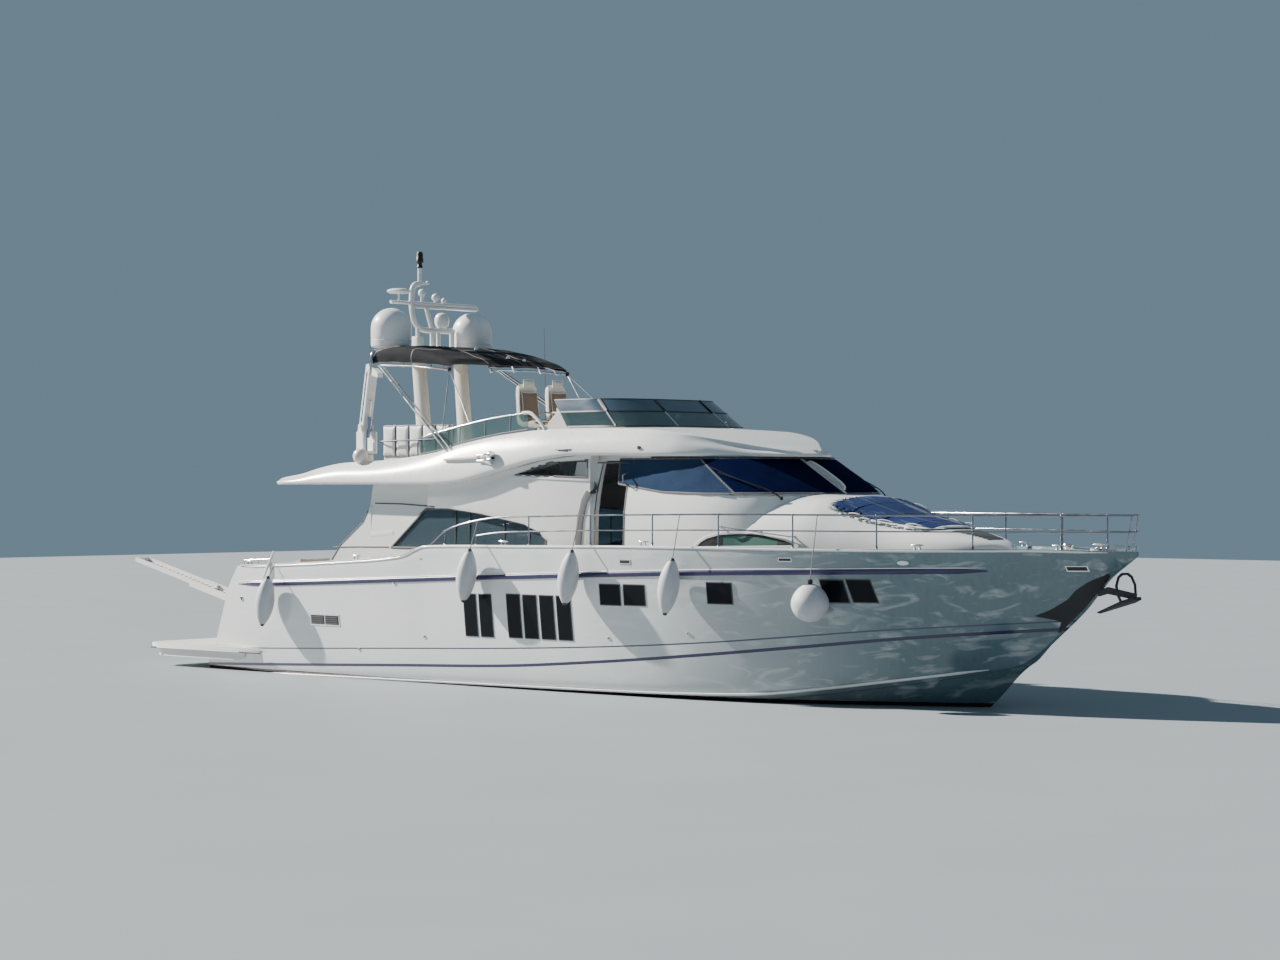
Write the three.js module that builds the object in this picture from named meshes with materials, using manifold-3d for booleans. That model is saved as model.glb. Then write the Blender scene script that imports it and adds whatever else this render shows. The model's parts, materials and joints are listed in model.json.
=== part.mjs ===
// Flybridge motor yacht of 24 m, afloat. Millimetres, X towards the bow, Y to port, Z up.
// The origin is on the waterline, at the middle of the length overall.
import * as THREE from 'three';
import { mergeVertices } from 'three/addons/utils/BufferGeometryUtils.js';
import Module from 'manifold-3d';

const wasm = await Module();
wasm.setup();

// Driving dimensions
const GAP = 0.3;
const MOVING_GAP = 12;
const DECK_EDGE_GAP = 17;
const BULWARK_THICKNESS = 95;
const COCKPIT_SOLE = 1550;
const WHEELHOUSE_SOLE = 2300;
const WELL_FLOOR = 1300;
const PLATFORM_WELL_FLOOR = 460;
const COCKPIT_AFT = -8350;
const SALOON_FRONT = 1300;
const HOUSE_AFT = -5000;
const HOUSE_WALL = 70;
const GLASS_SET_BACK = 18;
const GLASS_THICKNESS = 14;
const FLY_SOLE_AFT = 4140;
const FLY_SOLE_HELM = 4700;
const FLY_HELM_STEP = -2600;
const FLY_WELL_FRONT = 900;
const FLY_COAMING_THICKNESS = 130;
const SIDE_DOOR_TRAVEL = 760;
const SIDE_DOOR_THICKNESS = 38;
const RAIL_RADIUS = 17;
const DOME_RADIUS = 435;
const DOME_HEIGHT = 830;
const SHAFT_ANGLE = THREE.MathUtils.degToRad(9);
const SIDES = { starboard: -1, port: 1 };

// Hull stations: x, sheer half-beam, sheer height, chine half-beam, chine height, keel height, flare exponent
const HULL_STATIONS = [
  [-10000, 2650, 2210, 2370, -60, -780, 0.45],
  [-8000, 2780, 2290, 2440, -40, -880, 0.45],
  [-5550, 2860, 2410, 2490, -10, -960, 0.47],
  [-3460, 2905, 2570, 2510, 10, -1010, 0.5],
  [-2730, 2910, 2790, 2510, 20, -1025, 0.5],
  [0, 2920, 2830, 2490, 45, -1060, 0.5],
  [3000, 2840, 2865, 2390, 75, -1020, 0.55],
  [5000, 2660, 2870, 2180, 130, -900, 0.68],
  [6500, 2400, 2862, 1800, 280, -740, 0.8],
  [7700, 2120, 2860, 1330, 450, -540, 0.92],
  [8450, 1895, 2862, 960, 560, -300, 1.0],
  [8910, 1730, 2866, 720, 630, -60, 1.05],
  [9720, 1405, 2875, 215, 775, 680, 1.12],
  [10440, 1060, 2880, 25, 1310, 1280, 1.15],
  [11050, 755, 2872, 22, 1840, 1810, 1.1],
  [11580, 455, 2862, 18, 2415, 2390, 1.0],
  [11960, 160, 2855, 12, 2690, 2670, 1.0],
  [12090, 22, 2850, 8, 2790, 2765, 1.0],
];
const HULL_X = [
  -10000, -9350, -8700, -8000, -7200, -6400, -5550, -4600, -3460, -2730, -1800, -900, 0, 1000, 2000, 3000,
  4000,
  5000, 5800, 6500, 7100, 7700, 8100, 8450, 8910, 9300, 9720, 10080, 10440, 10750, 11050, 11320, 11580, 11780,
  11960, 12090,
];
const TOPSIDE_STEPS = [0.06, 0.2, 0.38, 0.58, 0.79, 1];
const TRANSOM_RAKE = [[-8560, 3200], [-8700, 2300], [-8820, 2150], [-9040, 1890], [-9720, 500], [-9760, 440]];

// Side decks and foredeck: x, height
const DECK_HEIGHTS = [[-3250, 2300], [0, 2360], [4000, 2460], [8000, 2600], [10000, 2700], [11300, 2755]];
const FOREDECK_FLOOR = [[1300, 2050], [9000, 2100], [11300, 2600]];

// Deckhouse outlines: height, half-width, x where the front begins to curve, x of the front on the centreline
const HOUSE_RINGS = [
  [1550, 2330, 3300, 6080],
  [2900, 2335, 3300, 6060],
  [3500, 2315, 3250, 5880],
  [3840, 2255, 3150, 5700],
  [4200, 2165, 2820, 5100],
  [4530, 2075, 2520, 4560],
  [4700, 2030, 2370, 4280],
];
const HOUSE_FRONT_POWER = 0.72;
const HOUSE_FRONT_STEPS = 9;

// Fly deck moulding: x, lower half-width, lower height, upper half-width, upper height
const FLY_STATIONS = [
  [-8290, 1300, 4045, 1250, 4110],
  [-8090, 2000, 4030, 1940, 4125],
  [-7840, 2400, 4022, 2320, 4145],
  [-7400, 2600, 4020, 2480, 4190],
  [-7000, 2640, 4020, 2490, 4240],
  [-6390, 2660, 4020, 2480, 4370],
  [-5670, 2670, 4020, 2460, 4470],
  [-4600, 2680, 4020, 2450, 4510],
  [-3030, 2680, 4020, 2440, 4660],
  [-2240, 2670, 4050, 2420, 4830],
  [-1030, 2640, 4270, 2380, 5010],
  [160, 2580, 4500, 2330, 5100],
  [1000, 2500, 4580, 2270, 5110],
  [1800, 2430, 4580, 2230, 5100],
  [2600, 2350, 4565, 2150, 5070],
  [3200, 2230, 4560, 1980, 4990],
  [3620, 2020, 4555, 1700, 4910],
  [3950, 1720, 4550, 1400, 4840],
  [4310, 1320, 4550, 1000, 4750],
  [4620, 900, 4550, 650, 4680],
  [4850, 350, 4550, 250, 4610],
];

// Coachroof: x, half-width, top height on the centreline
const COACHROOF_STATIONS = [
  [3500, 2300, 3560],
  [4500, 2240, 3800],
  [5300, 2120, 3860],
  [6050, 1980, 3810],
  [6700, 1800, 3600],
  [7620, 1500, 3310],
  [8500, 1160, 3170],
  [9000, 850, 3060],
  [9300, 520, 2960],
  [9480, 150, 2860],
];

// Sampling and shape helpers
const column = (table, index) => table.map((row) => row[index]);

function smoothly(xs, ys) {
  // Monotone cubic through the points (xs, ys)
  const last = xs.length - 1;
  const slope = xs.slice(0, last).map((x, i) => (ys[i + 1] - ys[i]) / (xs[i + 1] - x));
  const tangent = xs.map((x, i) => {
    if (i === 0) return slope[0];
    if (i === last) return slope[last - 1];
    if (slope[i - 1] * slope[i] <= 0) return 0;
    const before = xs[i] - xs[i - 1];
    const after = xs[i + 1] - xs[i];
    const weightBefore = 2 * after + before;
    const weightAfter = after + 2 * before;
    return (weightBefore + weightAfter) / (weightBefore / slope[i - 1] + weightAfter / slope[i]);
  });
  return (x) => {
    let i = 0;
    while (i < last - 1 && x > xs[i + 1]) i += 1;
    const span = xs[i + 1] - xs[i];
    const t = THREE.MathUtils.clamp((x - xs[i]) / span, 0, 1);
    const a = (1 + 2 * t) * (1 - t) ** 2;
    const b = t * (1 - t) ** 2;
    const c = t * t * (3 - 2 * t);
    const d = t * t * (t - 1);
    return a * ys[i] + b * span * tangent[i] + c * ys[i + 1] + d * span * tangent[i + 1];
  };
}

function linearly(table, x, index = 1) {
  let i = 0;
  while (i < table.length - 2 && x > table[i + 1][0]) i += 1;
  const t = THREE.MathUtils.clamp((x - table[i][0]) / (table[i + 1][0] - table[i][0]), 0, 1);
  return THREE.MathUtils.lerp(table[i][index], table[i + 1][index], t);
}

function solidOf(geometry) {
  const bare = geometry.clone();
  bare.deleteAttribute('normal');
  bare.deleteAttribute('uv');
  const merged = mergeVertices(bare, 1e-3);
  return new wasm.Manifold(new wasm.Mesh({
    numProp: 3,
    vertProperties: Float32Array.from(merged.attributes.position.array),
    triVerts: Uint32Array.from(merged.index.array),
  }));
}

function geometryOf(solid) {
  const mesh = solid.getMesh();
  const geometry = new THREE.BufferGeometry();
  geometry.setAttribute('position', new THREE.BufferAttribute(new Float32Array(mesh.vertProperties), 3));
  geometry.setIndex(new THREE.BufferAttribute(new Uint32Array(mesh.triVerts), 1));
  geometry.computeVertexNormals();
  return geometry;
}

const join = (first, ...others) => others.reduce((sum, next) => sum.add(next), first);
const cut = (first, ...others) => others.reduce((rest, next) => rest.subtract(next), first);

function capTriangles(ring) {
  const points = ring.map((p) => new THREE.Vector3(...p));
  const normal = new THREE.Vector3();
  points.forEach((p, i) => normal.add(new THREE.Vector3().crossVectors(p, points[(i + 1) % points.length])));
  const size = ['x', 'y', 'z'].map((axis) => Math.abs(normal[axis]));
  const drop = size.indexOf(Math.max(...size));
  const keep = [0, 1, 2].filter((axis) => axis !== drop);
  const flat = ring.map((p) => new THREE.Vector2(p[keep[0]], p[keep[1]]));
  const reversed = THREE.ShapeUtils.isClockWise(flat);
  if (reversed) flat.reverse();
  const faces = THREE.ShapeUtils.triangulateShape(flat, []);
  const last = ring.length - 1;
  return reversed ? faces.map((face) => face.map((i) => last - i)) : faces;
}

function skin(rings) {
  // One closed body through rings that have the same number of points, with flat ends
  const count = rings[0].length;
  const faces = [];
  const points = rings.flat();
  rings.slice(1).forEach((ring, k) => {
    for (let i = 0; i < count; i += 1) {
      const a = k * count + i;
      const b = k * count + ((i + 1) % count);
      faces.push([a, b, b + count], [a, b + count, a + count]);
    }
  });
  const ends = [[rings[0], 0, true], [rings[rings.length - 1], (rings.length - 1) * count, false]];
  ends.forEach(([ring, start, atStart]) => {
    const normal = directionOf(ring);
    const cap = capTriangles(ring);
    if (cap.length === count - 2) {
      cap.forEach((face) => {
        const ordered = windsWithRing(face, ring, normal) === atStart ? [face[0], face[2], face[1]] : face;
        faces.push(ordered.map((i) => start + i));
      });
      return;
    }
    points.push([0, 1, 2].map((axis) => ring.reduce((sum, p) => sum + p[axis], 0) / count));
    for (let i = 0; i < count; i += 1) {
      const edge = [start + i, start + ((i + 1) % count)];
      faces.push([...(atStart ? edge.reverse() : edge), points.length - 1]);
    }
  });
  const geometry = new THREE.BufferGeometry();
  geometry.setAttribute('position', new THREE.Float32BufferAttribute(points.flat(), 3));
  geometry.setIndex(faces.flat());
  return outwards(geometry);
}

function directionOf(ring) {
  const points = ring.map((p) => new THREE.Vector3(...p));
  const normal = new THREE.Vector3();
  points.forEach((p, i) => {
    const next = points[(i + 1) % points.length];
    normal.add(new THREE.Vector3().crossVectors(p.clone().sub(points[0]), next.clone().sub(points[0])));
  });
  return normal;
}

function windsWithRing(face, ring, normal) {
  const [a, b, c] = face.map((i) => new THREE.Vector3(...ring[i]));
  return b.sub(a).cross(c.sub(a)).dot(normal) > 0;
}

function outwards(geometry) {
  const position = geometry.attributes.position;
  const index = geometry.index.array;
  let volume = 0;
  const corner = [0, 1, 2].map(() => new THREE.Vector3());
  for (let f = 0; f < index.length; f += 3) {
    corner.forEach((p, i) => p.fromBufferAttribute(position, index[f + i]));
    volume += corner[0].dot(corner[1].clone().cross(corner[2]));
  }
  if (volume < 0) {
    for (let f = 0; f < index.length; f += 3) [index[f + 1], index[f + 2]] = [index[f + 2], index[f + 1]];
  }
  return geometry;
}

const loft = (rings) => solidOf(skin(rings));

function prism(outline, plane, low, high) {
  // A flat outline in the plane xy, xz or yz, carried from low to high along the third axis
  const place = {
    xy: (p, s) => [p[0], p[1], s],
    xz: (p, s) => [p[0], s, p[1]],
    yz: (p, s) => [s, p[0], p[1]],
  }[plane];
  return loft([outline.map((p) => place(p, low)), outline.map((p) => place(p, high))]);
}

function box(lowX, highX, lowY, highY, lowZ, highZ) {
  const geometry = new THREE.BoxGeometry(highX - lowX, highY - lowY, highZ - lowZ);
  geometry.translate((lowX + highX) / 2, (lowY + highY) / 2, (lowZ + highZ) / 2);
  return solidOf(geometry);
}

function roundedBox(lowX, highX, lowY, highY, lowZ, highZ, radius, steps = 3) {
  // Corners that are round in plan
  const corners = [[highX, highY, 0], [lowX, highY, 1], [lowX, lowY, 2], [highX, lowY, 3]];
  const outline = corners.flatMap(([x, y, quarter]) => {
    const centre = [
      x - Math.sign(x - (lowX + highX) / 2) * radius,
      y - Math.sign(y - (lowY + highY) / 2) * radius,
    ];
    return Array.from({ length: steps + 1 }, (_, i) => {
      const angle = (quarter + i / steps) * (Math.PI / 2);
      return [centre[0] + radius * Math.cos(angle), centre[1] + radius * Math.sin(angle)];
    });
  });
  return prism(outline, 'xy', lowZ, highZ);
}

function rod(from, to, radius, sides = 8, endRadius = radius) {
  const a = new THREE.Vector3(...from);
  const b = new THREE.Vector3(...to);
  const geometry = new THREE.CylinderGeometry(endRadius, radius, a.distanceTo(b), sides);
  const along = b.clone().sub(a).normalize();
  const turn = new THREE.Quaternion().setFromUnitVectors(new THREE.Vector3(0, 1, 0), along);
  geometry.applyQuaternion(turn);
  const middle = a.add(b).multiplyScalar(0.5);
  geometry.translate(middle.x, middle.y, middle.z);
  return solidOf(geometry);
}

function ball(centre, radius, across = 10, down = 6) {
  const geometry = new THREE.SphereGeometry(radius, across, down);
  geometry.rotateX(Math.PI / 2);
  geometry.translate(...centre);
  return solidOf(geometry);
}

function pipe(points, radius, sides = 6) {
  // Round bar with a mitred bend at each point of the path
  const path = points.map((p) => new THREE.Vector3(...p));
  const legs = path.slice(1).map((p, i) => p.clone().sub(path[i]).normalize());
  const across = new THREE.Vector3(0, 0, 1);
  if (Math.abs(legs[0].z) > 0.9) across.set(0, 1, 0);
  const rings = path.map((point, i) => {
    const before = legs[Math.max(i - 1, 0)];
    const after = legs[Math.min(i, legs.length - 1)];
    const heading = before.clone().add(after).normalize();
    across.addScaledVector(before, -across.dot(before)).normalize();
    const over = before.clone().cross(across);
    return Array.from({ length: sides }, (_, k) => {
      const angle = (k / sides) * 2 * Math.PI;
      const spoke = across.clone().multiplyScalar(radius * Math.cos(angle));
      spoke.addScaledVector(over, radius * Math.sin(angle));
      const slide = -spoke.dot(heading) / before.dot(heading);
      return point.clone().add(spoke).addScaledVector(before, slide).toArray();
    });
  });
  return loft(rings);
}

function lathe(profile, centre, segments = 20) {
  // Profile rows: radius, height; turned about the vertical through the centre
  const points = profile.map(([r, z]) => new THREE.Vector2(r, z));
  const geometry = new THREE.LatheGeometry(points, segments);
  geometry.rotateX(Math.PI / 2);
  geometry.translate(...centre);
  geometry.deleteAttribute('normal');
  geometry.deleteAttribute('uv');
  const merged = mergeVertices(geometry, 1e-3);
  return solidOf(outwards(dropThinFaces(merged)));
}

function dropThinFaces(geometry) {
  // Faces that close up to a line at a pole are left out
  const index = Array.from(geometry.index.array);
  const kept = [];
  for (let f = 0; f < index.length; f += 3) {
    const [a, b, c] = index.slice(f, f + 3);
    if (a !== b && b !== c && c !== a) kept.push(a, b, c);
  }
  geometry.setIndex(kept);
  return geometry;
}

const mirrored = (solid) => solid.mirror([0, 1, 0]);
const onSide = (solid, side) => (side < 0 ? solid : mirrored(solid));

// Hull form
const stationX = column(HULL_STATIONS, 0);
const hullValue = ['sheerHalf', 'sheerHeight', 'chineHalf', 'chineHeight', 'keelHeight', 'flare'].reduce(
  (values, name, i) => ({ ...values, [name]: smoothly(stationX, column(HULL_STATIONS, i + 1)) }),
  {},
);

function topsideHalf(x, z) {
  const low = hullValue.chineHeight(x);
  const t = THREE.MathUtils.clamp((z - low) / (hullValue.sheerHeight(x) - low), 0, 1);
  return THREE.MathUtils.lerp(hullValue.chineHalf(x) + 20, hullValue.sheerHalf(x), t ** hullValue.flare(x));
}

function hullRing(x) {
  const chineHalf = hullValue.chineHalf(x);
  const chineHeight = hullValue.chineHeight(x);
  const keelHeight = hullValue.keelHeight(x);
  const sheerHeight = hullValue.sheerHeight(x);
  const half = [
    [chineHalf * 0.5, THREE.MathUtils.lerp(keelHeight, chineHeight, 0.5) - 0.02 * chineHalf],
    [chineHalf, chineHeight],
    [chineHalf + 20, chineHeight + 4],
    ...TOPSIDE_STEPS.map((t) => {
      const z = THREE.MathUtils.lerp(chineHeight, sheerHeight, t);
      return [topsideHalf(x, z), z];
    }),
  ];
  const port = half.map(([y, z]) => [x, y, z]);
  const starboard = half.map(([y, z]) => [x, -y, z]).reverse();
  return [[x, 0, keelHeight], ...port, ...starboard];
}

const hullBody = () => loft(HULL_X.map(hullRing));

function wellRing(x, floor, shrink, top) {
  // Inside of the bulwarks at one station, from the floor up to a height above the sheer
  const sheer = hullValue.sheerHeight(x);
  const low = topsideHalf(x, floor) - BULWARK_THICKNESS;
  const high = hullValue.sheerHalf(x) - BULWARK_THICKNESS;
  const halfAt = (z) => THREE.MathUtils.lerp(low, high, Math.min((z - floor) / (sheer - floor), 1)) - shrink;
  const bend = top > sheer ? sheer : THREE.MathUtils.lerp(floor, top, 0.6);
  const half = [floor + shrink, bend, top].map((z) => [halfAt(z), z]);
  return [...half.map(([y, z]) => [x, y, z]), ...half.map(([y, z]) => [x, -y, z]).reverse()];
}

const stationsBetween = (low, high) => [low, ...HULL_X.filter((x) => x > low + 1 && x < high - 1), high];

function well(low, high, floorAt, shrink, topAt) {
  return loft(stationsBetween(low, high).map((x) => wellRing(x, floorAt(x), shrink, topAt(x))));
}

const OPEN_TOP = 3300;
const openTop = () => OPEN_TOP;
const level = (z) => () => z;
const foredeckFloor = (x) => linearly(FOREDECK_FLOOR, x);
const deckHeight = (x) => linearly(DECK_HEIGHTS, x);
const BOW_WELL_END = 11300;

function makeHull() {
  const aftCut = [...TRANSOM_RAKE, [-10500, 440], [-10500, 3200]];
  const sternTubes = Object.values(SIDES).map((side) => rod(shaftAt(SHAFT.length + MOVING_GAP, side),
    shaftAt(SHAFT.tubeEnd, side), SHAFT.radius * 1.7, 12));
  return cut(
    join(hullBody(), ...sternTubes),
    prism(aftCut, 'xz', -3500, 3500),
    well(-10400, COCKPIT_AFT, level(PLATFORM_WELL_FLOOR), 0, openTop),
    well(COCKPIT_AFT - 1, SALOON_FRONT, level(WELL_FLOOR), 0, openTop),
    well(SALOON_FRONT - 1, BOW_WELL_END, foredeckFloor, 0, openTop),
  );
}

// Deckhouse form
function houseRing([z, half, curveStart, front], inset, aft) {
  const w = half - inset;
  const f = front - inset * 1.15;
  const curve = [];
  for (let i = 1; i < 2 * HOUSE_FRONT_STEPS; i += 1) {
    const angle = (i / HOUSE_FRONT_STEPS - 1) * (Math.PI / 2);
    const x = curveStart + (f - curveStart) * Math.cos(angle) ** HOUSE_FRONT_POWER;
    const y = w * Math.sign(angle) * Math.abs(Math.sin(angle)) ** HOUSE_FRONT_POWER;
    curve.push([x, y, z]);
  }
  return [[aft + inset, -w, z], [curveStart, -w, z], ...curve, [curveStart, w, z], [aft + inset, w, z]];
}

function houseBody(inset, low = COCKPIT_SOLE + GAP, aft = HOUSE_AFT) {
  const rings = HOUSE_RINGS.map((ring, i) => (i ? ring : [low, ...ring.slice(1)]));
  return loft(rings.map((ring) => houseRing(ring, inset, aft)));
}

// The step in the deckhouse's floor: below the wheelhouse its walls start higher
const underWheelhouse = () => box(SALOON_FRONT - 2, 7000, -3000, 3000, 0, WHEELHOUSE_SOLE + GAP);

function flyRing([x, lowHalf, low, highHalf, high], grow) {
  const crown = 0.02 * highHalf;
  const half = [
    [lowHalf - 30, low],
    [lowHalf, low + 45],
    [THREE.MathUtils.lerp(lowHalf, highHalf, 0.35) + 18, THREE.MathUtils.lerp(low, high, 0.5)],
    [highHalf + 18, high - Math.min(55, (high - low) * 0.3)],
    [highHalf - 45, high],
    [highHalf * 0.5, high + crown * 0.7],
  ].map(([y, z]) => [y + grow, z === low ? z - grow : z]);
  const port = half.map(([y, z]) => [x, y, z]);
  return [...port, [x, 0, high + crown], ...half.map(([y, z]) => [x, -y, z]).reverse()];
}

const flyUnderside = smoothly(column(FLY_STATIONS, 0), column(FLY_STATIONS, 2));
const flyRow = (x) => [x, ...[1, 2, 3, 4].map((i) => linearly(FLY_STATIONS, x, i))];

function aboveFlyUnderside(gap) {
  // Everything above the underside of the fly deck moulding
  const rings = FLY_STATIONS.map(([x, , low]) => [
    [x, 3200, low - gap], [x, -3200, low - gap], [x, -3200, 6500], [x, 3200, 6500],
  ]);
  return loft([...rings, rings[rings.length - 1].map(([, y, z]) => [7000, y, z])]);
}

// Openings in the deckhouse's side, as outlines in the xz plane
const SALOON_WINDOW = [
  [-4330, 2720], [-3320, 3520], [-2800, 3535], [-2260, 3500], [-1700, 3430], [-1320, 3370], [-400, 3215],
  [10, 3100],
  [90, 2960], [90, 2720],
];
const UPPER_WINDOW = [[-640, 4215], [-150, 4350], [310, 4455], [1230, 4500], [1230, 4150]];
const WHEELHOUSE_WINDOW = [[2170, 4490], [2090, 4020], [3200, 3890], [3900, 3865], [3640, 4490]];
const SIDE_DOOR = [
  [1400, WHEELHOUSE_SOLE + 60], [1400, 3950], [1430, 4480],
  [2090, 4480], [2120, 3950], [2120, WHEELHOUSE_SOLE + 60],
];
const SHOULDER = [
  // x, lower height, bulge
  [-3250, 3560, 5],
  [-2600, 3560, 90],
  [-1700, 3470, 130],
  [-400, 3260, 130],
  [300, 2900, 110],
  [900, 2450, 70],
  [1290, 2450, 30],
];
const WING = [
  [-4950, COCKPIT_SOLE + GAP], [-4950, 3590], [-5160, 3280], [-5900, 2730], [-6230, 2400], [-6230, 2200],
  [-5700, COCKPIT_SOLE + GAP],
];
const FRONT_PILLAR_HALF = 45;

function shoulder() {
  const rings = SHOULDER.map(([x, low, bulge]) => {
    const outer = 2330 + bulge;
    const high = flyUnderside(x) - GAP;
    return [[x, 2270, low - 30], [x, outer - 25, low - 20], [x, outer, low + 40], [x, outer, high - 160],
      [x, outer - 30, high], [x, 2100, high]].map(([a, y, z]) => [a, -y, z]);
  });
  return loft(rings);
}

const wing = () => prism(WING, 'xz', -2330, -2265);

const sideOpening = (outline) => prism(outline, 'xz', -2700, -1700);

function windscreenOpening(side, inset = 0) {
  // One half of the front, between the centre pillar and the corner pillar, seen from ahead
  const inner = FRONT_PILLAR_HALF + inset;
  const low = 3900 + inset;
  const high = 4490 - inset;
  const outline = [[inner, low], [inner, high], [1560 - inset, high], [1700 - inset, low]];
  return prism(outline.map(([y, z]) => [y * side, z]), 'yz', 3700, 6500);
}

function makeHouse() {
  const outside = join(
    cut(houseBody(0), underWheelhouse()),
    ...Object.values(SIDES).flatMap((side) => [onSide(shoulder(), side), onSide(wing(), side)]),
  );
  const inside = houseBody(HOUSE_WALL, COCKPIT_SOLE - 50);
  const openings = Object.values(SIDES).flatMap((side) => [
    onSide(sideOpening(SALOON_WINDOW), side),
    onSide(sideOpening(UPPER_WINDOW), side),
    onSide(sideOpening(WHEELHOUSE_WINDOW), side),
    onSide(sideOpening(SIDE_DOOR), side),
    windscreenOpening(side),
  ]);
  const aftDoorway = box(HOUSE_AFT - 50, HOUSE_AFT + 200, -1900, 1900, COCKPIT_SOLE - 10, 3700);
  return cut(outside, inside, aftDoorway, ...openings, aboveFlyUnderside(GAP));
}

const PANE_GAP = 4;
function paneIn(opening) {
  // Glass that fills an opening, set back in the wall
  const inside = houseBody(GLASS_SET_BACK + GLASS_THICKNESS, COCKPIT_SOLE - 50);
  const layer = cut(houseBody(GLASS_SET_BACK), inside);
  return layer.intersect(opening);
}

function shrunk(outline, by) {
  // Each edge of the outline moves inwards
  const points = outline.map((p) => new THREE.Vector2(...p));
  const turn = THREE.ShapeUtils.isClockWise(points) ? 1 : -1;
  return points.map((p, i) => {
    const before = p.clone().sub(points[(i + points.length - 1) % points.length]).normalize();
    const after = points[(i + 1) % points.length].clone().sub(p).normalize();
    const inwards = new THREE.Vector2(before.y + after.y, -before.x - after.x).multiplyScalar(turn);
    const reach = by / Math.max(inwards.length() / 2, 0.35);
    const moved = p.clone().addScaledVector(inwards.normalize(), reach);
    return [moved.x, moved.y];
  });
}

// Coachroof
const COACHROOF_STEPS = 14;
function coachroofRing([x, half, top], grow, floor) {
  const points = [];
  for (let i = 0; i <= COACHROOF_STEPS; i += 1) {
    const angle = (i / COACHROOF_STEPS) * Math.PI;
    const y = Math.sign(Math.cos(angle)) * (half + grow) * Math.abs(Math.cos(angle)) ** 0.55;
    points.push([x, y, floor + (top + grow - floor) * Math.sin(angle) ** 0.6]);
  }
  return points;
}

function coachroofBody(grow, floor) {
  const rows = COACHROOF_STATIONS;
  const last = rows[rows.length - 1];
  const grown = grow ? [...rows, [last[0] + grow, last[1], last[2]]] : rows;
  return loft(grown.map((row) => coachroofRing(row, grow, floor)));
}

const makeCoachroof = () => cut(
  coachroofBody(0, WHEELHOUSE_SOLE + GAP),
  houseBody(-GAP),
);

// Deck moulding: cockpit, side decks, foredeck and the transom with its two flights of steps
const STEP_ROWS = [[-4250, 1800], [-3920, 2050], [-3580, 2300]];
const TRANSOM_STEPS = [[-9720, 700], [-9440, 910], [-9160, 1120], [-8880, 1330], [-8600, 1550]];
const TRANSOM_RECESS = -35;
const STAIR_INNER = 1600;
const STAIR_OUTER = 2400;

function makeDeck() {
  const aft = well(-10400, COCKPIT_AFT - GAP, level(PLATFORM_WELL_FLOOR), DECK_EDGE_GAP, level(2240));
  const low = well(COCKPIT_AFT - 2 * GAP, SALOON_FRONT - 1, level(WELL_FLOOR), DECK_EDGE_GAP, deckHeight);
  const front = well(SALOON_FRONT - 1.5, BOW_WELL_END - 20, foredeckFloor, DECK_EDGE_GAP, deckHeight);
  const cockpit = box(COCKPIT_AFT - 100, STEP_ROWS[0][0], -3000, 3000, COCKPIT_SOLE, OPEN_TOP);
  const steps = STEP_ROWS.slice(0, -1).map(([x, z], i) => (
    box(x - 1, STEP_ROWS[i + 1][0], -3000, 3000, z, OPEN_TOP)));
  const rake = [...TRANSOM_RAKE.map(([x, z]) => [x - TRANSOM_RECESS, z]), [-10500, 440], [-10500, 3200]];
  const flights = Object.values(SIDES).flatMap((side) => TRANSOM_STEPS.map(([x, z], i) => {
    const start = i === 0 ? x - 600 : x;
    const end = i === TRANSOM_STEPS.length - 1 ? COCKPIT_AFT + 50 : TRANSOM_STEPS[i + 1][0] + 1;
    return onSide(box(start, end, -STAIR_OUTER, -STAIR_INNER, z, OPEN_TOP), side);
  }));
  return cut(
    join(aft, low, front),
    cockpit,
    ...steps,
    prism(rake, 'xz', -3500, 3500),
    ...flights,
    cut(houseBody(-GAP, COCKPIT_SOLE), box(SALOON_FRONT - 1, 7000, -3000, 3000, 0, WHEELHOUSE_SOLE)),
    coachroofBody(GAP, WHEELHOUSE_SOLE),
  );
}

// Bathing platform
const PLATFORM_TIERS = [
  // aft x, half-width, low, high, forward x
  [-12000, 2740, 400, 510, -8050],
  [-11850, 2660, 230, 400.5, -8300],
];
function makePlatform() {
  const tiers = PLATFORM_TIERS.map(([aft, half, low, high, front]) => {
    const outline = [[front, half - 120], [front - 700, half]];
    for (let i = 0; i <= 5; i += 1) {
      const angle = (i / 5) * (Math.PI / 2);
      outline.push([aft + 550 - 550 * Math.sin(angle), half - 550 + 550 * Math.cos(angle)]);
    }
    outline.push([aft - 60, 0]);
    const whole = [...outline, ...outline.slice(0, -1).map(([x, y]) => [x, -y]).reverse()];
    return prism(whole, 'xy', low, high);
  });
  const outline = [[-9000, 0], [-8900, 225], [-8050, 470], [-7500, 470], [-7500, 0]];
  const chamfer = prism(outline, 'xz', -3200, 3200);
  const hullGap = loft(HULL_X.map((x) => hullRing(x).map(([a, y, z]) => [a - 1, y + Math.sign(y) * 2, z])));
  return cut(join(...tiers), chamfer, hullGap, box(-9770, -7000, -2600, 2600, 0, 600));
}

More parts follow.
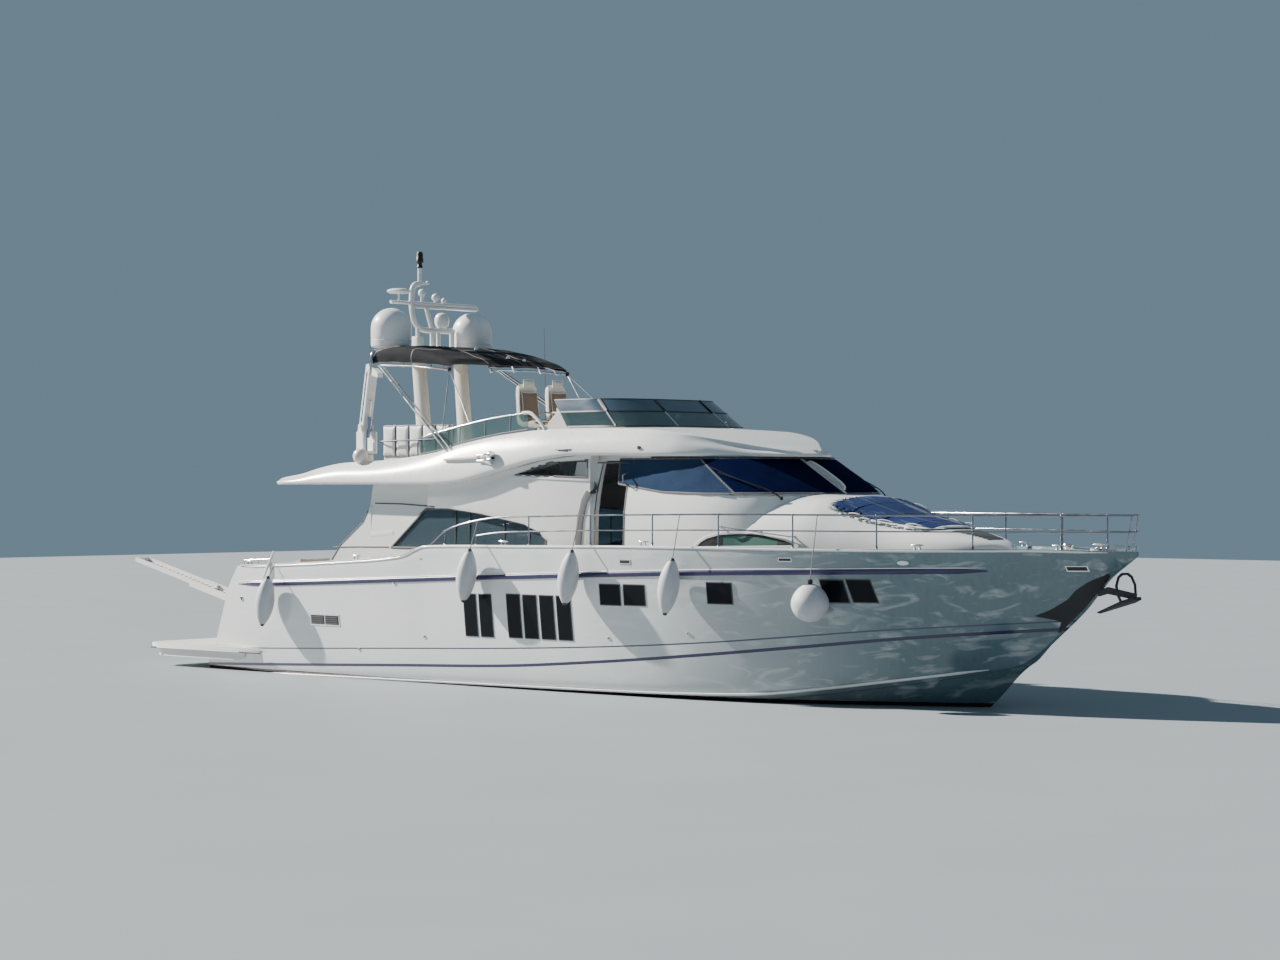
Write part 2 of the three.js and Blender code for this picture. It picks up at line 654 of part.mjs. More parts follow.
// Fly deck moulding
const STAIR_OPENING = [-7050, -5350, 1330, 2130];
function makeFlyDeck() {
  const body = loft(FLY_STATIONS.map((row) => flyRing(row, 0)));
  const pocket = (low, high, floor) => {
    const xs = [low, ...column(FLY_STATIONS, 0).filter((x) => x > low + 5 && x < high - 5), high];
    return loft(xs.map((x) => {
      const half = flyRow(x)[3] - FLY_COAMING_THICKNESS;
      return [[x, half, floor], [x, half, 6000], [x, -half, 6000], [x, -half, floor]];
    }));
  };
  return cut(
    body,
    pocket(-7720, FLY_HELM_STEP, FLY_SOLE_AFT),
    pocket(FLY_HELM_STEP - 1, FLY_WELL_FRONT, FLY_SOLE_HELM),
    box(...STAIR_OPENING, 3900, 5000),
  );
}

// Sliding doors follow the wall's slope on its inner side
function sideDoor(side, shift) {
  const outerFace = HOUSE_WALL + MOVING_GAP;
  const inside = houseBody(outerFace + SIDE_DOOR_THICKNESS, COCKPIT_SOLE - 50);
  const layer = cut(houseBody(outerFace), inside);
  const leaf = layer.intersect(box(1380, 2140, -2700, -1700, WHEELHOUSE_SOLE + MOVING_GAP, 4460));
  return onSide(leaf.translate([shift, 0, 0]), side);
}

const materials = {
  gelcoat: { color: 0xf2f1ec, roughness: 0.25, metalness: 0 },
  deck: { color: 0xd9cfc0, roughness: 0.6, metalness: 0 },
  glass: { color: 0x22364a, roughness: 0.08, metalness: 0 },
  steel: { color: 0xc9ccce, roughness: 0.2, metalness: 1 },
  bronze: { color: 0xa07a45, roughness: 0.35, metalness: 1 },
  canopy: { color: 0x77726c, roughness: 0.85, metalness: 0 },
  cushion: { color: 0xd8cdb9, roughness: 0.8, metalness: 0 },
  fender: { color: 0xb9bcc2, roughness: 0.6, metalness: 0 },
  dark: { color: 0x1b1c1f, roughness: 0.5, metalness: 0 },
  wood: { color: 0x8a5a33, roughness: 0.5, metalness: 0 },
};

const group = new THREE.Group();
function add(name, solid, material) {
  const mesh = new THREE.Mesh(geometryOf(solid), new THREE.MeshStandardMaterial(materials[material]));
  mesh.name = name;
  group.add(mesh);
}

// Glass panes: name, outline in the side's xz plane
const SIDE_PANES = { saloon_glass: SALOON_WINDOW, wheelhouse_glass: WHEELHOUSE_WINDOW };

// Saloon's aft doors: a fixed frame with two outer lights, and one leaf that slides to starboard
const AFT_DOOR_LOW = COCKPIT_SOLE + 2;
const AFT_DOOR_HIGH = 3690;
const AFT_DOOR_HALF = 1890;
const AFT_LEAF = { low: -880, high: 20 };

function saloonAftFrame() {
  const x = HOUSE_AFT + 40;
  const frame = cut(
    box(x, x + 40, -AFT_DOOR_HALF, AFT_DOOR_HALF, AFT_DOOR_LOW, AFT_DOOR_HIGH),
    box(x - 5, x + 45, -AFT_DOOR_HALF + 60, -950, AFT_DOOR_LOW + 60, AFT_DOOR_HIGH - 60),
    box(x - 5, x + 45, -890, 890, AFT_DOOR_LOW + 30, AFT_DOOR_HIGH - 60),
    box(x - 5, x + 45, 950, AFT_DOOR_HALF - 60, AFT_DOOR_LOW + 60, AFT_DOOR_HIGH - 60),
  );
  return frame;
}

function aftPane(low, high) {
  const x = HOUSE_AFT + 54;
  return box(x, x + 12, low + 2, high - 2, AFT_DOOR_LOW + 62, AFT_DOOR_HIGH - 62);
}

function aftLeaf(low, high) {
  const x = HOUSE_AFT + 92;
  return box(x, x + 34, low, high, AFT_DOOR_LOW + 20, AFT_DOOR_HIGH - 20);
}

// Bow rail: x of the stanchions, and the top rail as x, height
const STANCHION_X = [-1300, 150, 1750, 3280, 4780, 6330, 7940, 9600, 11000];
const RAIL_HEIGHTS = [
  [-2850, 2850], [-2100, 3080], [-1210, 3290], [-590, 3380], [2040, 3440], [4410, 3470], [11800, 3480],
];
const RAIL_INSET = 45;
const MID_RAIL_DROP = 290;
const railPoint = (x, side, drop = 0) => [
  x, side * (hullValue.sheerHalf(x) - RAIL_INSET), linearly(RAIL_HEIGHTS, x) - drop,
];

const RAIL_X = [
  -2850, -2450, -2100, -1650, -1300, -590, 150, 1750, 3280, 4780, 6330, 7940, 9600, 10400, 11000, 11500,
];
const PULPIT_NOSE = [[11850, 290, 3482], [11970, 205, 3485], [12045, 95, 3487], [12062, 6, 3488]];

function bowRail(side) {
  const nose = (drop) => PULPIT_NOSE.map(([x, y, z]) => [x, y * side, z - drop]);
  const top = pipe([...RAIL_X.map((x) => railPoint(x, side)), ...nose(0)], RAIL_RADIUS);
  const middleX = RAIL_X.filter((x) => x >= STANCHION_X[0]);
  const middle = pipe(
    [...middleX.map((x) => railPoint(x, side, MID_RAIL_DROP)), ...nose(MID_RAIL_DROP)], RAIL_RADIUS * 0.8, 5);
  const posts = [RAIL_X[0], ...STANCHION_X].map((x) => {
    const [, y, z] = railPoint(x, side);
    const foot = hullValue.sheerHeight(x) + (x < STANCHION_X[0] ? 12 : 2);
    return rod([x, y, foot], [x, y, z], RAIL_RADIUS * 0.9, 5);
  });
  const [tipX, tipY, tipZ] = PULPIT_NOSE[2];
  const nosePost = rod([11920, 105 * side, 2868], [tipX, tipY * side, tipZ], RAIL_RADIUS, 6);
  const otherSide = box(11000, 12200, Math.min(0, -100 * side), Math.max(0, -100 * side), 3000, 3600);
  return cut(join(top, middle, ...posts, nosePost), otherSide);
}

// Fly deck rails, glass and furniture
// Aft rail of the fly deck: the photo shows none to starboard and across the stern, so it stands to port only
const AFT_RAIL_TOP = 4980;
const AFT_RAIL = [[-4300, 2385], [-5100, 2390], [-5900, 2400], [-6600, 2410], [-7250, 2400]];
function flyAftRail() {
  const path = AFT_RAIL.map(([x, y]) => [x, y, AFT_RAIL_TOP]);
  const lower = path.map(([x, y, z]) => [x, y, z - 330]);
  const posts = path.map(([x, y]) => rod(
    [x, y, linearly(FLY_STATIONS, x, 4) + 6], [x, y, AFT_RAIL_TOP], RAIL_RADIUS * 0.8, 5,
  ));
  return join(pipe(path, RAIL_RADIUS), pipe(lower, RAIL_RADIUS * 0.8, 5), ...posts);
}

const SIDE_GLASS_Y = 2290;
const SIDE_GLASS_TOP = [[-3560, 4950], [-2600, 5150], [-1500, 5330], [-490, 5430]];
function flySideRail(side) {
  const y = SIDE_GLASS_Y * side;
  const points = [[-3560, 4700], ...SIDE_GLASS_TOP, [20, 5130]].map(([x, z]) => [x, y, z]);
  return pipe(points, 20);
}

function flySideGlass(side) {
  const low = [-380, -1030, -2240, -3030, -3500].map((x) => [x, linearly(FLY_STATIONS, x, 4) + 40]);
  const high = [-3500, -2600, -1500, -560].map((x) => [x, linearly(SIDE_GLASS_TOP, x) - 5]);
  const solid = prism([...low, ...high], 'xz', SIDE_GLASS_Y - 5, SIDE_GLASS_Y + 5);
  return join(side < 0 ? mirrored(solid) : solid, flySideRail(side));
}

// Fly windscreen: height, half-width, x where it curves, x of the front
const FLY_SCREEN_RINGS = [[5142, 1900, 1000, 2200], [5705, 1700, 400, 1450]];
const FLY_SCREEN_AFT = [250, -300];
function flyScreenRing([z, half, curveStart, front], i, inset) {
  const outline = [];
  for (let k = -8; k <= 8; k += 1) {
    const angle = (k / 8) * (Math.PI / 2);
    const x = curveStart + (front - inset - curveStart) * Math.cos(angle) ** 0.7;
    outline.push([x, (half - inset) * Math.sign(k) * Math.abs(Math.sin(angle)) ** 0.7, z]);
  }
  return [[FLY_SCREEN_AFT[i], -(half - inset), z], ...outline, [FLY_SCREEN_AFT[i], half - inset, z]];
}

function flyScreen() {
  const wall = (inset, spread) => loft(FLY_SCREEN_RINGS.map((ring, i) => flyScreenRing(
    [ring[0] + (i ? spread : -spread), ...ring.slice(1)], i, inset)));
  return cut(wall(0, 0), wall(14, 1).translate([-2, 0, 0]));
}

const HELM_SOLE = FLY_SOLE_HELM + GAP;
const CONSOLE_SIDE = [
  [-580, HELM_SOLE], [40, HELM_SOLE], [40, 5290], [-120, 5480], [-280, 5500], [-580, 5230],
];
const CONSOLE_HOOD = [[-440, 5300], [-520, 5560], [-550, 5550], [-470, 5290]];
const flyConsole = () => join(prism(CONSOLE_SIDE, 'xz', -1600, 50), prism(CONSOLE_HOOD, 'xz', -1380, -1020));

const HELM_SEAT = { x: -1240, starboardY: -1200, portY: -350 };
const HELM_SEAT_HALF = 260;
const HELM_SEAT_SIDE = [
  [-230, 5180], [260, 5200], [250, 5330], [-130, 5320], [-190, 6150], [-330, 6160], [-290, 5180],
];
function helmSeat(x, y) {
  const outline = HELM_SEAT_SIDE.map(([ahead, z]) => [x + ahead, z]);
  const seat = prism(outline, 'xz', y - HELM_SEAT_HALF, y + HELM_SEAT_HALF);
  const column = rod([x, y, HELM_SOLE], [x, y, 5200], 70, 10);
  return join(seat, column, rod([x, y, HELM_SOLE], [x, y, HELM_SOLE + 40], 210, 12));
}

// Seats: low x, high x, low y, high y, seat height, back height, where the back stands
function sofa(lowX, highX, lowY, highY, floor, seat, back, backSide) {
  const thickness = 180;
  const base = roundedBox(lowX, highX, lowY, highY, floor + GAP, seat, 60);
  const backs = {
    aft: [lowX, lowX + thickness, lowY, highY],
    front: [highX - thickness, highX, lowY, highY],
    port: [lowX, highX, highY - thickness, highY],
    starboard: [lowX, highX, lowY, lowY + thickness],
  };
  return join(base, roundedBox(...backs[backSide], floor + 200, back, 60));
}

// Bimini: a short arched canopy between the arch and the upper helm
const BIMINI = [
  // x, lower edge, top
  [-5580, 6560, 6760],
  [-5480, 6575, 6880],
  [-5200, 6570, 6930],
  [-4800, 6550, 6945],
  [-4400, 6530, 6900],
  [-3970, 6500, 6800],
  [-3600, 6470, 6690],
  [-3330, 6440, 6590],
  [-3190, 6410, 6500],
];
const BIMINI_HALF = 1720;
const BIMINI_WALL = 45;
const BIMINI_SECTION = [
  // share of the half-width, share of the height, inset of the hollow, drop of the hollow
  [1, 0.15, 45, 0],
  [0.99, 0.55, 55, 20],
  [0.93, 0.85, 60, 45],
  [0.75, 0.96, 30, BIMINI_WALL],
  [0.4, 1, 0, BIMINI_WALL],
];
function biminiCanopy() {
  const bothSides = (half) => [...half, ...half.map(([x, y, z]) => [x, -y, z]).reverse()];
  const rings = BIMINI.map(([x, low, high]) => bothSides([
    [x, BIMINI_HALF - 60, low],
    ...BIMINI_SECTION.map(([across, up]) => [x, BIMINI_HALF * across, low + (high - low) * up]),
  ]));
  const hollow = BIMINI.slice(1, -1).map(([x, low, high]) => bothSides([
    [x, BIMINI_HALF - BIMINI_WALL, low - 400],
    ...BIMINI_SECTION.map(([across, up, inset, drop]) => (
      [x, BIMINI_HALF * across - inset, low + (high - low) * up - drop])),
  ]));
  return cut(loft(rings), loft(hollow), archLeg(-1, 30), archLeg(1, 30), archBeam(25),
    box(-5900, -5290, -1700, 1700, 6700, 7200), box(-5950, -5250, -500, 500, 6600, 7200));
}

const BIMINI_TUBE_Y = 1755;
const BIMINI_TUBE_RADIUS = 19;
const BIMINI_STRUTS = [
  // radius, top, foot, on the port side
  [19, [-5330, BIMINI_TUBE_Y, 6520], [-2560, 2485, 4690]],
  [19, [-5213, BIMINI_TUBE_Y, 6515], [-2443, 2485, 4725]],
  [15, [-3210, BIMINI_TUBE_Y, 6375], [-2850, 2290, 5130]],
  [13, [-3210, BIMINI_TUBE_Y, 6375], [-2100, 2290, 5264]],
];
const BIMINI_EDGE = [[-5330, 6520], [-4300, 6475], [-3210, 6375]];
const BIMINI_BOWS = [[-4700, 6850], [-3900, 6690], [-3420, 6540]];
function biminiFrame() {
  const sides = [-1, 1].flatMap((side) => [
    ...BIMINI_STRUTS.map(([radius, top, foot]) => (
      rod([foot[0], foot[1] * side, foot[2] + 12], [top[0], top[1] * side, top[2]], radius, 6))),
    pipe(BIMINI_EDGE.map(([x, z]) => [x, BIMINI_TUBE_Y * side, z]), BIMINI_TUBE_RADIUS),
  ]);
  const bows = BIMINI_BOWS.map(([x, z]) => {
    const edge = linearly(BIMINI_EDGE, x);
    const at = (share) => edge + (z - edge) * share;
    const half = [[BIMINI_TUBE_Y, edge], [1640, edge - 30], [1560, at(0.45)], [1250, at(0.85)], [700, z]];
    const path = [...half.map(([y, h]) => [x, -y, h]), ...half.map(([y, h]) => [x, y, h]).reverse()];
    return pipe(path, 15, 5);
  });
  return join(...sides, ...bows);
}

// Antenna arch
const ARCH_LEG = { long: 200, wide: 125, facets: 14 };
const ARCH_LEG_LEVELS = [
  // x, y, height, size
  [-5080, 600, FLY_SOLE_AFT + GAP, 1.15],
  [-5080, 600, 4300, 1],
  [-5330, 620, 6800, 0.9],
];
function archLeg(side, grow = 0) {
  return loft(ARCH_LEG_LEVELS.map(([x, y, z, size]) => Array.from({ length: ARCH_LEG.facets }, (_, i) => {
    const angle = (i / ARCH_LEG.facets) * 2 * Math.PI;
    const long = ARCH_LEG.long * size + grow;
    const wide = ARCH_LEG.wide * size + grow;
    return [x + long * Math.cos(angle), y * side + wide * Math.sin(angle), z];
  })));
}

const DOME_X = -5540;
const DOME_Y = 1200;
const ARCH_TOP = 6925;
const ARCH_BEAM = { aft: -5820, front: -5160, half: 1330, low: 6790, corner: 200 };
function archBeam(grow = 0) {
  const half = ARCH_BEAM.half + grow;
  return roundedBox(
    ARCH_BEAM.aft - grow, ARCH_BEAM.front + grow, -half, half, ARCH_BEAM.low - grow, ARCH_TOP + grow,
    ARCH_BEAM.corner, 4);
}
const makeArch = () => join(archBeam(), archLeg(-1), archLeg(1));

function dome(side) {
  const profile = [[0, 0], [DOME_RADIUS - 60, 0], [DOME_RADIUS - 25, 60], [DOME_RADIUS, 110]];
  for (let i = 0; i <= 5; i += 1) {
    const angle = (i / 5) * (Math.PI / 2);
    profile.push([i === 5 ? 0 : DOME_RADIUS * Math.cos(angle), 395 + (DOME_HEIGHT - 395) * Math.sin(angle)]);
  }
  return lathe(profile, [DOME_X, DOME_Y * side, ARCH_TOP + GAP], 18);
}

const MAST_X = -5650;
const MAST_BARS = [
  // radius, then the path as y, height
  [115, [-330, 6947], [-330, 7190]],
  [45, [-330, 7150], [-330, 7400]],
  [52, [100, 6947], [100, 7340]],
  [48, [280, 6947], [280, 7340]],
  [58, [690, 6947], [690, 7340]],
  [
    60, [-300, 8320], [-430, 8270], [-500, 8150], [-505, 7920], [-490, 7700], [-420, 7500], [-300, 7380],
    [-120, 7335], [735, 7335],
  ],
  [40, [-1120, 7900], [1440, 7900]],
  [40, [-560, 7828], [1440, 7828]],
  [50, [-70, 7800], [100, 7340]],
  [46, [-270, 8290], [-270, 8790]],
  [78, [-270, 8770], [-270, 9010]],
  [30, [-300, 8320], [-20, 8330]],
  [25, [-880, 7900], [-880, 8100]],
  [38, [-200, 7900], [-200, 8080]],
  [38, [200, 7900], [200, 8000]],
  [28, [450, 7900], [450, 7970]],
];
const MAST_BALLS = [[-200, 8130, 88], [200, 8050, 88], [450, 7990, 64], [1440, 7864, 74]];
function makeMast() {
  const bars = MAST_BARS.map(([radius, ...path]) => pipe(path.map(([y, z]) => [MAST_X, y, z]), radius));
  const balls = MAST_BALLS.map(([y, z, radius]) => ball([MAST_X, y, z], radius, 8, 5));
  const disc = lathe([[0, 0], [230, 10], [262, 50], [220, 95], [0, 115]], [MAST_X, -880, 8080], 14);
  const podProfile = [[0, 0], [120, 20], [160, 120], [150, 240], [90, 330], [0, 350]];
  const pod = lathe(podProfile, [MAST_X, 390, 7380], 12);
  return join(...bars, ...balls, disc, pod);
}

// Crane on the fly deck: pedestal, slewing head, boom, and a lifting cylinder that is open at its rod's eye
const CRANE = {
  x: -5350, y: -2080, headLow: 4660, headHigh: 5120, pivotX: -60, pivotZ: 5200,
  heading: -20, tilt: 73, reach: 1340,
};
const CRANE_TILT = THREE.MathUtils.degToRad(CRANE.tilt);
const CHEEK_INNER = 112;
// Nose that hangs under the boom's tip: distance back from the tip, across
const CRANE_NOSE = [[170, -55], [0, -55], [30, -420], [130, -430]];
const turnCrane = (solid) => solid.rotate([0, 0, CRANE.heading]).translate([CRANE.x, CRANE.y, 0]);
const craneAt = (along, across, side = 0) => [
  CRANE.pivotX + along * Math.cos(CRANE_TILT) - across * Math.sin(CRANE_TILT),
  side,
  CRANE.pivotZ + along * Math.sin(CRANE_TILT) + across * Math.cos(CRANE_TILT),
];
const craneProfile = (corners, half) => loft(
  [-half, half].map((side) => corners.map(([along, across]) => craneAt(along, across, side))));
const craneBase = () => join(
  rod([CRANE.x, CRANE.y, FLY_SOLE_AFT + GAP], [CRANE.x, CRANE.y, CRANE.headLow - MOVING_GAP], 140, 16),
  rod([CRANE.x, CRANE.y, FLY_SOLE_AFT + GAP], [CRANE.x, CRANE.y, FLY_SOLE_AFT + 40], 220, 16),
);
function craneHead() {
  const ears = [-1, 1].map((side) => {
    const outline = [[-180, 5000], [90, 5000], [20, 5250], [-50, 5290], [-120, 5270]];
    const inner = side * CHEEK_INNER;
    return prism(outline, 'xz', Math.min(inner, inner + side * 30), Math.max(inner, inner + side * 30));
  });
  return turnCrane(cut(
    join(roundedBox(-230, 230, -170, 170, CRANE.headLow, CRANE.headHigh, 90, 4), ...ears),
    box(-400, 400, -CHEEK_INNER, CHEEK_INNER, CRANE.headLow + 60, 5400),
  ));
}
const craneBoom = () => turnCrane(join(
  craneProfile([[-70, -70], [CRANE.reach, -60], [CRANE.reach + 50, 0], [CRANE.reach, 135], [-70, 125]], 100),
  craneProfile(CRANE_NOSE.map(([back, across]) => [CRANE.reach - back, across]), 60),
));
// The cylinder stands between the head's cheeks, and its rod reaches an eye under the boom
const CRANE_CYLINDER = {
  footX: 60, footZ: 5000, radius: 40, bore: 26, floor: 30, length: 440,
  rodRadius: 18, rodStart: 282, along: 620, across: -120,
};
const cylinderFoot = [CRANE_CYLINDER.footX, 0, CRANE_CYLINDER.footZ];
const cylinderEye = craneAt(CRANE_CYLINDER.along, CRANE_CYLINDER.across);
const cylinderSpan = Math.hypot(...cylinderEye.map((value, i) => value - cylinderFoot[i]));
const cylinderPoint = (distance) => cylinderFoot.map(
  (value, i) => THREE.MathUtils.lerp(value, cylinderEye[i], distance / cylinderSpan));
const craneCylinder = () => {
  const { floor, length, radius, bore } = CRANE_CYLINDER;
  const hole = rod(cylinderPoint(floor), cylinderPoint(length + 20), bore, 12);
  return turnCrane(cut(rod(cylinderPoint(0), cylinderPoint(length), radius, 12), hole));
};
const craneRod = () => turnCrane(join(
  rod(cylinderPoint(CRANE_CYLINDER.rodStart), cylinderPoint(cylinderSpan - 5), CRANE_CYLINDER.rodRadius, 8),
  ball(cylinderEye, 30, 8, 6),
));

// Boarding bridge: bracket, outer part, inner part that slides in it
const BRIDGE = { x: -9500, y: -1250, z: 1240, tilt: THREE.MathUtils.degToRad(13.2), half: 250, wall: 45 };
const BRIDGE_OUTER = 2450;
const BRIDGE_INNER = [1950, 4530];
const bridgeAt = (along, up, y) => [
  BRIDGE.x - along * Math.cos(BRIDGE.tilt) + up * Math.sin(BRIDGE.tilt),
  y,
  BRIDGE.z + along * Math.sin(BRIDGE.tilt) + up * Math.cos(BRIDGE.tilt),
];
function bridgeBox(low, high, half, bottom, top) {
  const corners = [[low, bottom], [high, bottom], [high, top], [low, top]];
  return loft([-half, half].map((y) => corners.map(([along, up]) => bridgeAt(along, up, BRIDGE.y + y))));
}
const bridgeOuter = () => cut(
  bridgeBox(30, BRIDGE_OUTER, BRIDGE.half, -75, 75),
  bridgeBox(60, BRIDGE_OUTER + 50, BRIDGE.half - BRIDGE.wall, -45, 200),
);
const bridgeInner = () => cut(
  bridgeBox(...BRIDGE_INNER, BRIDGE.half - BRIDGE.wall - MOVING_GAP, -45 + MOVING_GAP, 70),
  bridgeBox(BRIDGE_INNER[0] - 50, BRIDGE_INNER[1] - 60, BRIDGE.half - 2 * BRIDGE.wall - MOVING_GAP, 0, 200),
);
const BRACKET_CHEEK = { out: 30, half: 18 };
function bridgeBracket() {
  const deckFace = TRANSOM_RAKE.map(([x, z]) => [x - TRANSOM_RECESS - 0.5, z]);
  const behind = prism([...deckFace, [-8000, 440], [-8000, 3200]], 'xz', -3500, 3500);
  const cheeks = [-1, 1].map((s) => {
    const y = BRIDGE.y + s * (BRIDGE.half + BRACKET_CHEEK.out);
    return box(-9560, -9200, y - BRACKET_CHEEK.half, y + BRACKET_CHEEK.half, 1120, 1330);
  });
  const reach = BRIDGE.half + BRACKET_CHEEK.out + BRACKET_CHEEK.half;
  return cut(join(...cheeks, box(-9430, -9200, BRIDGE.y - reach, BRIDGE.y + reach, 1060, 1140)), behind);
}

// Running gear: propeller with its shaft, bracket and rudder on each side
const SHAFT = { x: -8850, y: 1150, z: -1220, radius: 38, length: 3600, tubeEnd: 4500 };
const shaftAt = (along, side) => [
  SHAFT.x + along * Math.cos(SHAFT_ANGLE), SHAFT.y * side, SHAFT.z + along * Math.sin(SHAFT_ANGLE),
];
const BLADE_ROWS = [
  // radius, chord, pitch angle in degrees, thickness
  [50, 150, 68, 24],
  [85, 178, 60, 22],
  [125, 205, 52, 20],
  [170, 232, 45, 17],
  [220, 255, 39.5, 14],
  [270, 252, 35, 12],
  [320, 226, 31, 10],
  [362, 170, 28.5, 9],
  [388, 110, 27, 7],
  [400, 56, 26, 6],
];
const BLADE_SECTION = [[-0.5, 0], [-0.15, -0.5], [0.25, -0.45], [0.5, 0], [0.25, 0.45], [-0.15, 0.5]];
function propeller() {
  // The starboard one; the port one is its mirror image
  const blades = Array.from({ length: 4 }, (_, k) => {
    const rings = BLADE_ROWS.map(([radius, chord, pitch, thickness]) => {
      const angle = THREE.MathUtils.degToRad(-pitch);
      return BLADE_SECTION.map(([c, t]) => [
        t * thickness * Math.cos(angle) + c * chord * Math.sin(angle),
        c * chord * Math.cos(angle) - t * thickness * Math.sin(angle),
        radius,
      ]);
    });
    return loft(rings).rotate([k * 90, 0, 0]);
  });
  const hub = rod([-130, 0, 0], [120, 0, 0], 55, 12, 75);
  const turned = join(hub, ...blades).rotate([0, -THREE.MathUtils.radToDeg(SHAFT_ANGLE), 0]);
  const shaft = rod(shaftAt(60, -1), shaftAt(SHAFT.length, -1), SHAFT.radius, 10);
  return join(turned.translate(shaftAt(0, -1)), shaft);
}

function shaftBracket(side) {
  const bore = rod(shaftAt(200, side), shaftAt(600, side), 50, 12);
  const sleeve = rod(shaftAt(260, side), shaftAt(520, side), 78, 12);
  const [x, y, z] = shaftAt(390, side);
  const strut = (lean) => loft([[z + 60, 0], [z + 1000, 1]].map(([height, up]) => [
    [-90, 0], [0, -16], [90, 0], [0, 16],
  ].map(([dx, dy]) => [x + dx + up * 60, y + dy + up * lean, height])));
  return cut(join(sleeve, strut(-260), strut(260)), hullClearance(), bore);
}

const hullClearance = () => loft(HULL_X.map((x) => (
  hullRing(x).map(([a, y, z]) => [a, y, z < 0 ? z - 1 : z]))));

const RUDDER = { x: -9620, stockTop: -515, top: -640, low: -1560, ahead: 150, astern: 330, thickness: 46 };
function rudder(side) {
  const y = SHAFT.y * side;
  const ring = (z, scale) => [
    [RUDDER.ahead, 0], [RUDDER.ahead * 0.5, 0.8], [0, 1], [-RUDDER.astern, 0.12],
    [-RUDDER.astern, -0.12], [0, -1], [RUDDER.ahead * 0.5, -0.8],
  ].map(([a, t]) => [RUDDER.x + a * scale, y + t * RUDDER.thickness * 0.5 * scale, z]);
  const stock = rod([RUDDER.x, y, RUDDER.top - 50], [RUDDER.x, y, RUDDER.stockTop], 32, 10);
  return join(loft([ring(RUDDER.low, 0.72), ring(RUDDER.top, 1)]), stock);
}

// Fenders: x, height of the upper end, on the starboard side; the lower end leans aft, in degrees
const FENDERS = [[-7430, 2080], [-1230, 2760], [1510, 2780], [3940, 2660]];
const FENDER_RADIUS = 200;
const FENDER_LENGTH = 1080;
const FENDER_LEAN = 10.5;
function fender([x, top]) {
  const y = -(topsideHalf(x, top) + FENDER_RADIUS + 6);
  const end = [[0, 0], [40, 5], [55, 60], [150, 150], [FENDER_RADIUS, 300]];
  const profile = [...end, ...end.map(([radius, z]) => [radius, FENDER_LENGTH - z]).reverse()];
  const railed = x > -2850;
  const hook = railed ? railPoint(x, -1) : [x, -(hullValue.sheerHalf(x) - 20), hullValue.sheerHeight(x) + 40];
  const line = rod([x, y, top - 20], [x, hook[1] - (railed ? 32 : 0), hook[2]], 8, 5);
  const hung = lathe(profile, [0, 0, -FENDER_LENGTH], 12).rotate([0, FENDER_LEAN, 0]).translate([x, y, top]);
  return join(hung, line);
}

const BALL_FENDER = { x: 6840, z: 1900, radius: 345 };
function ballFender() {
  const { x, z, radius } = BALL_FENDER;
  const y = -(topsideHalf(x, z + 230) + radius + 6);
  const hook = railPoint(x, -1);
  const neck = rod([x, y, z + radius - 30], [x, y, z + radius + 70], 60, 8, 40);
  const line = rod([x, y, z + radius + 50], [x, hook[1] - 34, hook[2]], 8, 5);
  return join(ball([x, y, z], radius, 16, 10), neck, line);
}

// Ground tackle
const ANCHOR_SHANK = [
  [11300, 2150], [11480, 2230], [12060, 2125], [12050, 2020], [11480, 2110], [11300, 2060],
];
const ANCHOR_FLUKE = [[11220, 0], [11900, 230], [12100, 120], [12100, -120], [11900, -230]];
const ROLL_BAR = [
  [11880, -205, 1985], [11862, -290, 2120], [11845, -300, 2270], [11832, -210, 2410], [11828, -90, 2465],
  [11828, 90, 2465], [11832, 210, 2410], [11845, 300, 2270], [11862, 290, 2120], [11880, 205, 1985],
];
const ROLL_BAR_RADIUS = 26;
function anchor() {
  const shank = prism(ANCHOR_SHANK, 'xz', -30, 30);
  const plate = prism([[11250, 1780], [11320, 1760], [12090, 2020], [12070, 2070]], 'xz', -230, 230);
  const shape = prism(ANCHOR_FLUKE, 'xy', 1500, 2500);
  const fluke = plate.intersect(shape);
  return cut(join(shank, fluke, pipe(ROLL_BAR, ROLL_BAR_RADIUS)), hullGrown(4));
}
const hullGrown = (grow) => loft(HULL_X.map((x) => (
  hullRing(x).map(([a, y, z]) => [a + grow, y + Math.sign(y) * grow, z]))));

const windlass = () => {
  const z = deckHeight(10780) + 3;
  const drum = [[0, 0], [90, 5], [60, 60], [60, 110], [95, 160], [80, 190], [0, 195]];
  return join(roundedBox(10520, 10780, -150, 150, z, z + 60, 50), lathe(drum, [10650, 0, z + 50], 14));
};

// Foredeck
const SUNPAD_ROWS = [
  // x, half-width, top at the edge, top at the middle
  [6140, 1400, 3700, 3870],
  [6400, 1430, 3590, 3790],
  [6900, 1330, 3440, 3630],
  [7500, 1120, 3300, 3440],
  [8100, 880, 3230, 3320],
  [8320, 720, 3200, 3270],
];
function sunpad() {
  const pad = loft(SUNPAD_ROWS.map(([x, half, edge, middle]) => {
    const side = [[half, 2900], [half, edge - 40], [half - 50, edge], [half * 0.5, (edge + 2 * middle) / 3]];
    const port = side.map(([y, z]) => [x, y, z]);
    return [...port, [x, 0, middle], ...port.map(([, y, z]) => [x, -y, z]).reverse()];
  }));
  return cut(pad, coachroofBody(GAP, WHEELHOUSE_SOLE));
}

const HATCH = { aft: 9980, front: 10400, half: 240 };
const hatchLid = () => {
  const z = deckHeight(HATCH.front) + 3;
  return roundedBox(HATCH.aft, HATCH.front, -HATCH.half, HATCH.half, z, z + 40, 60);
};

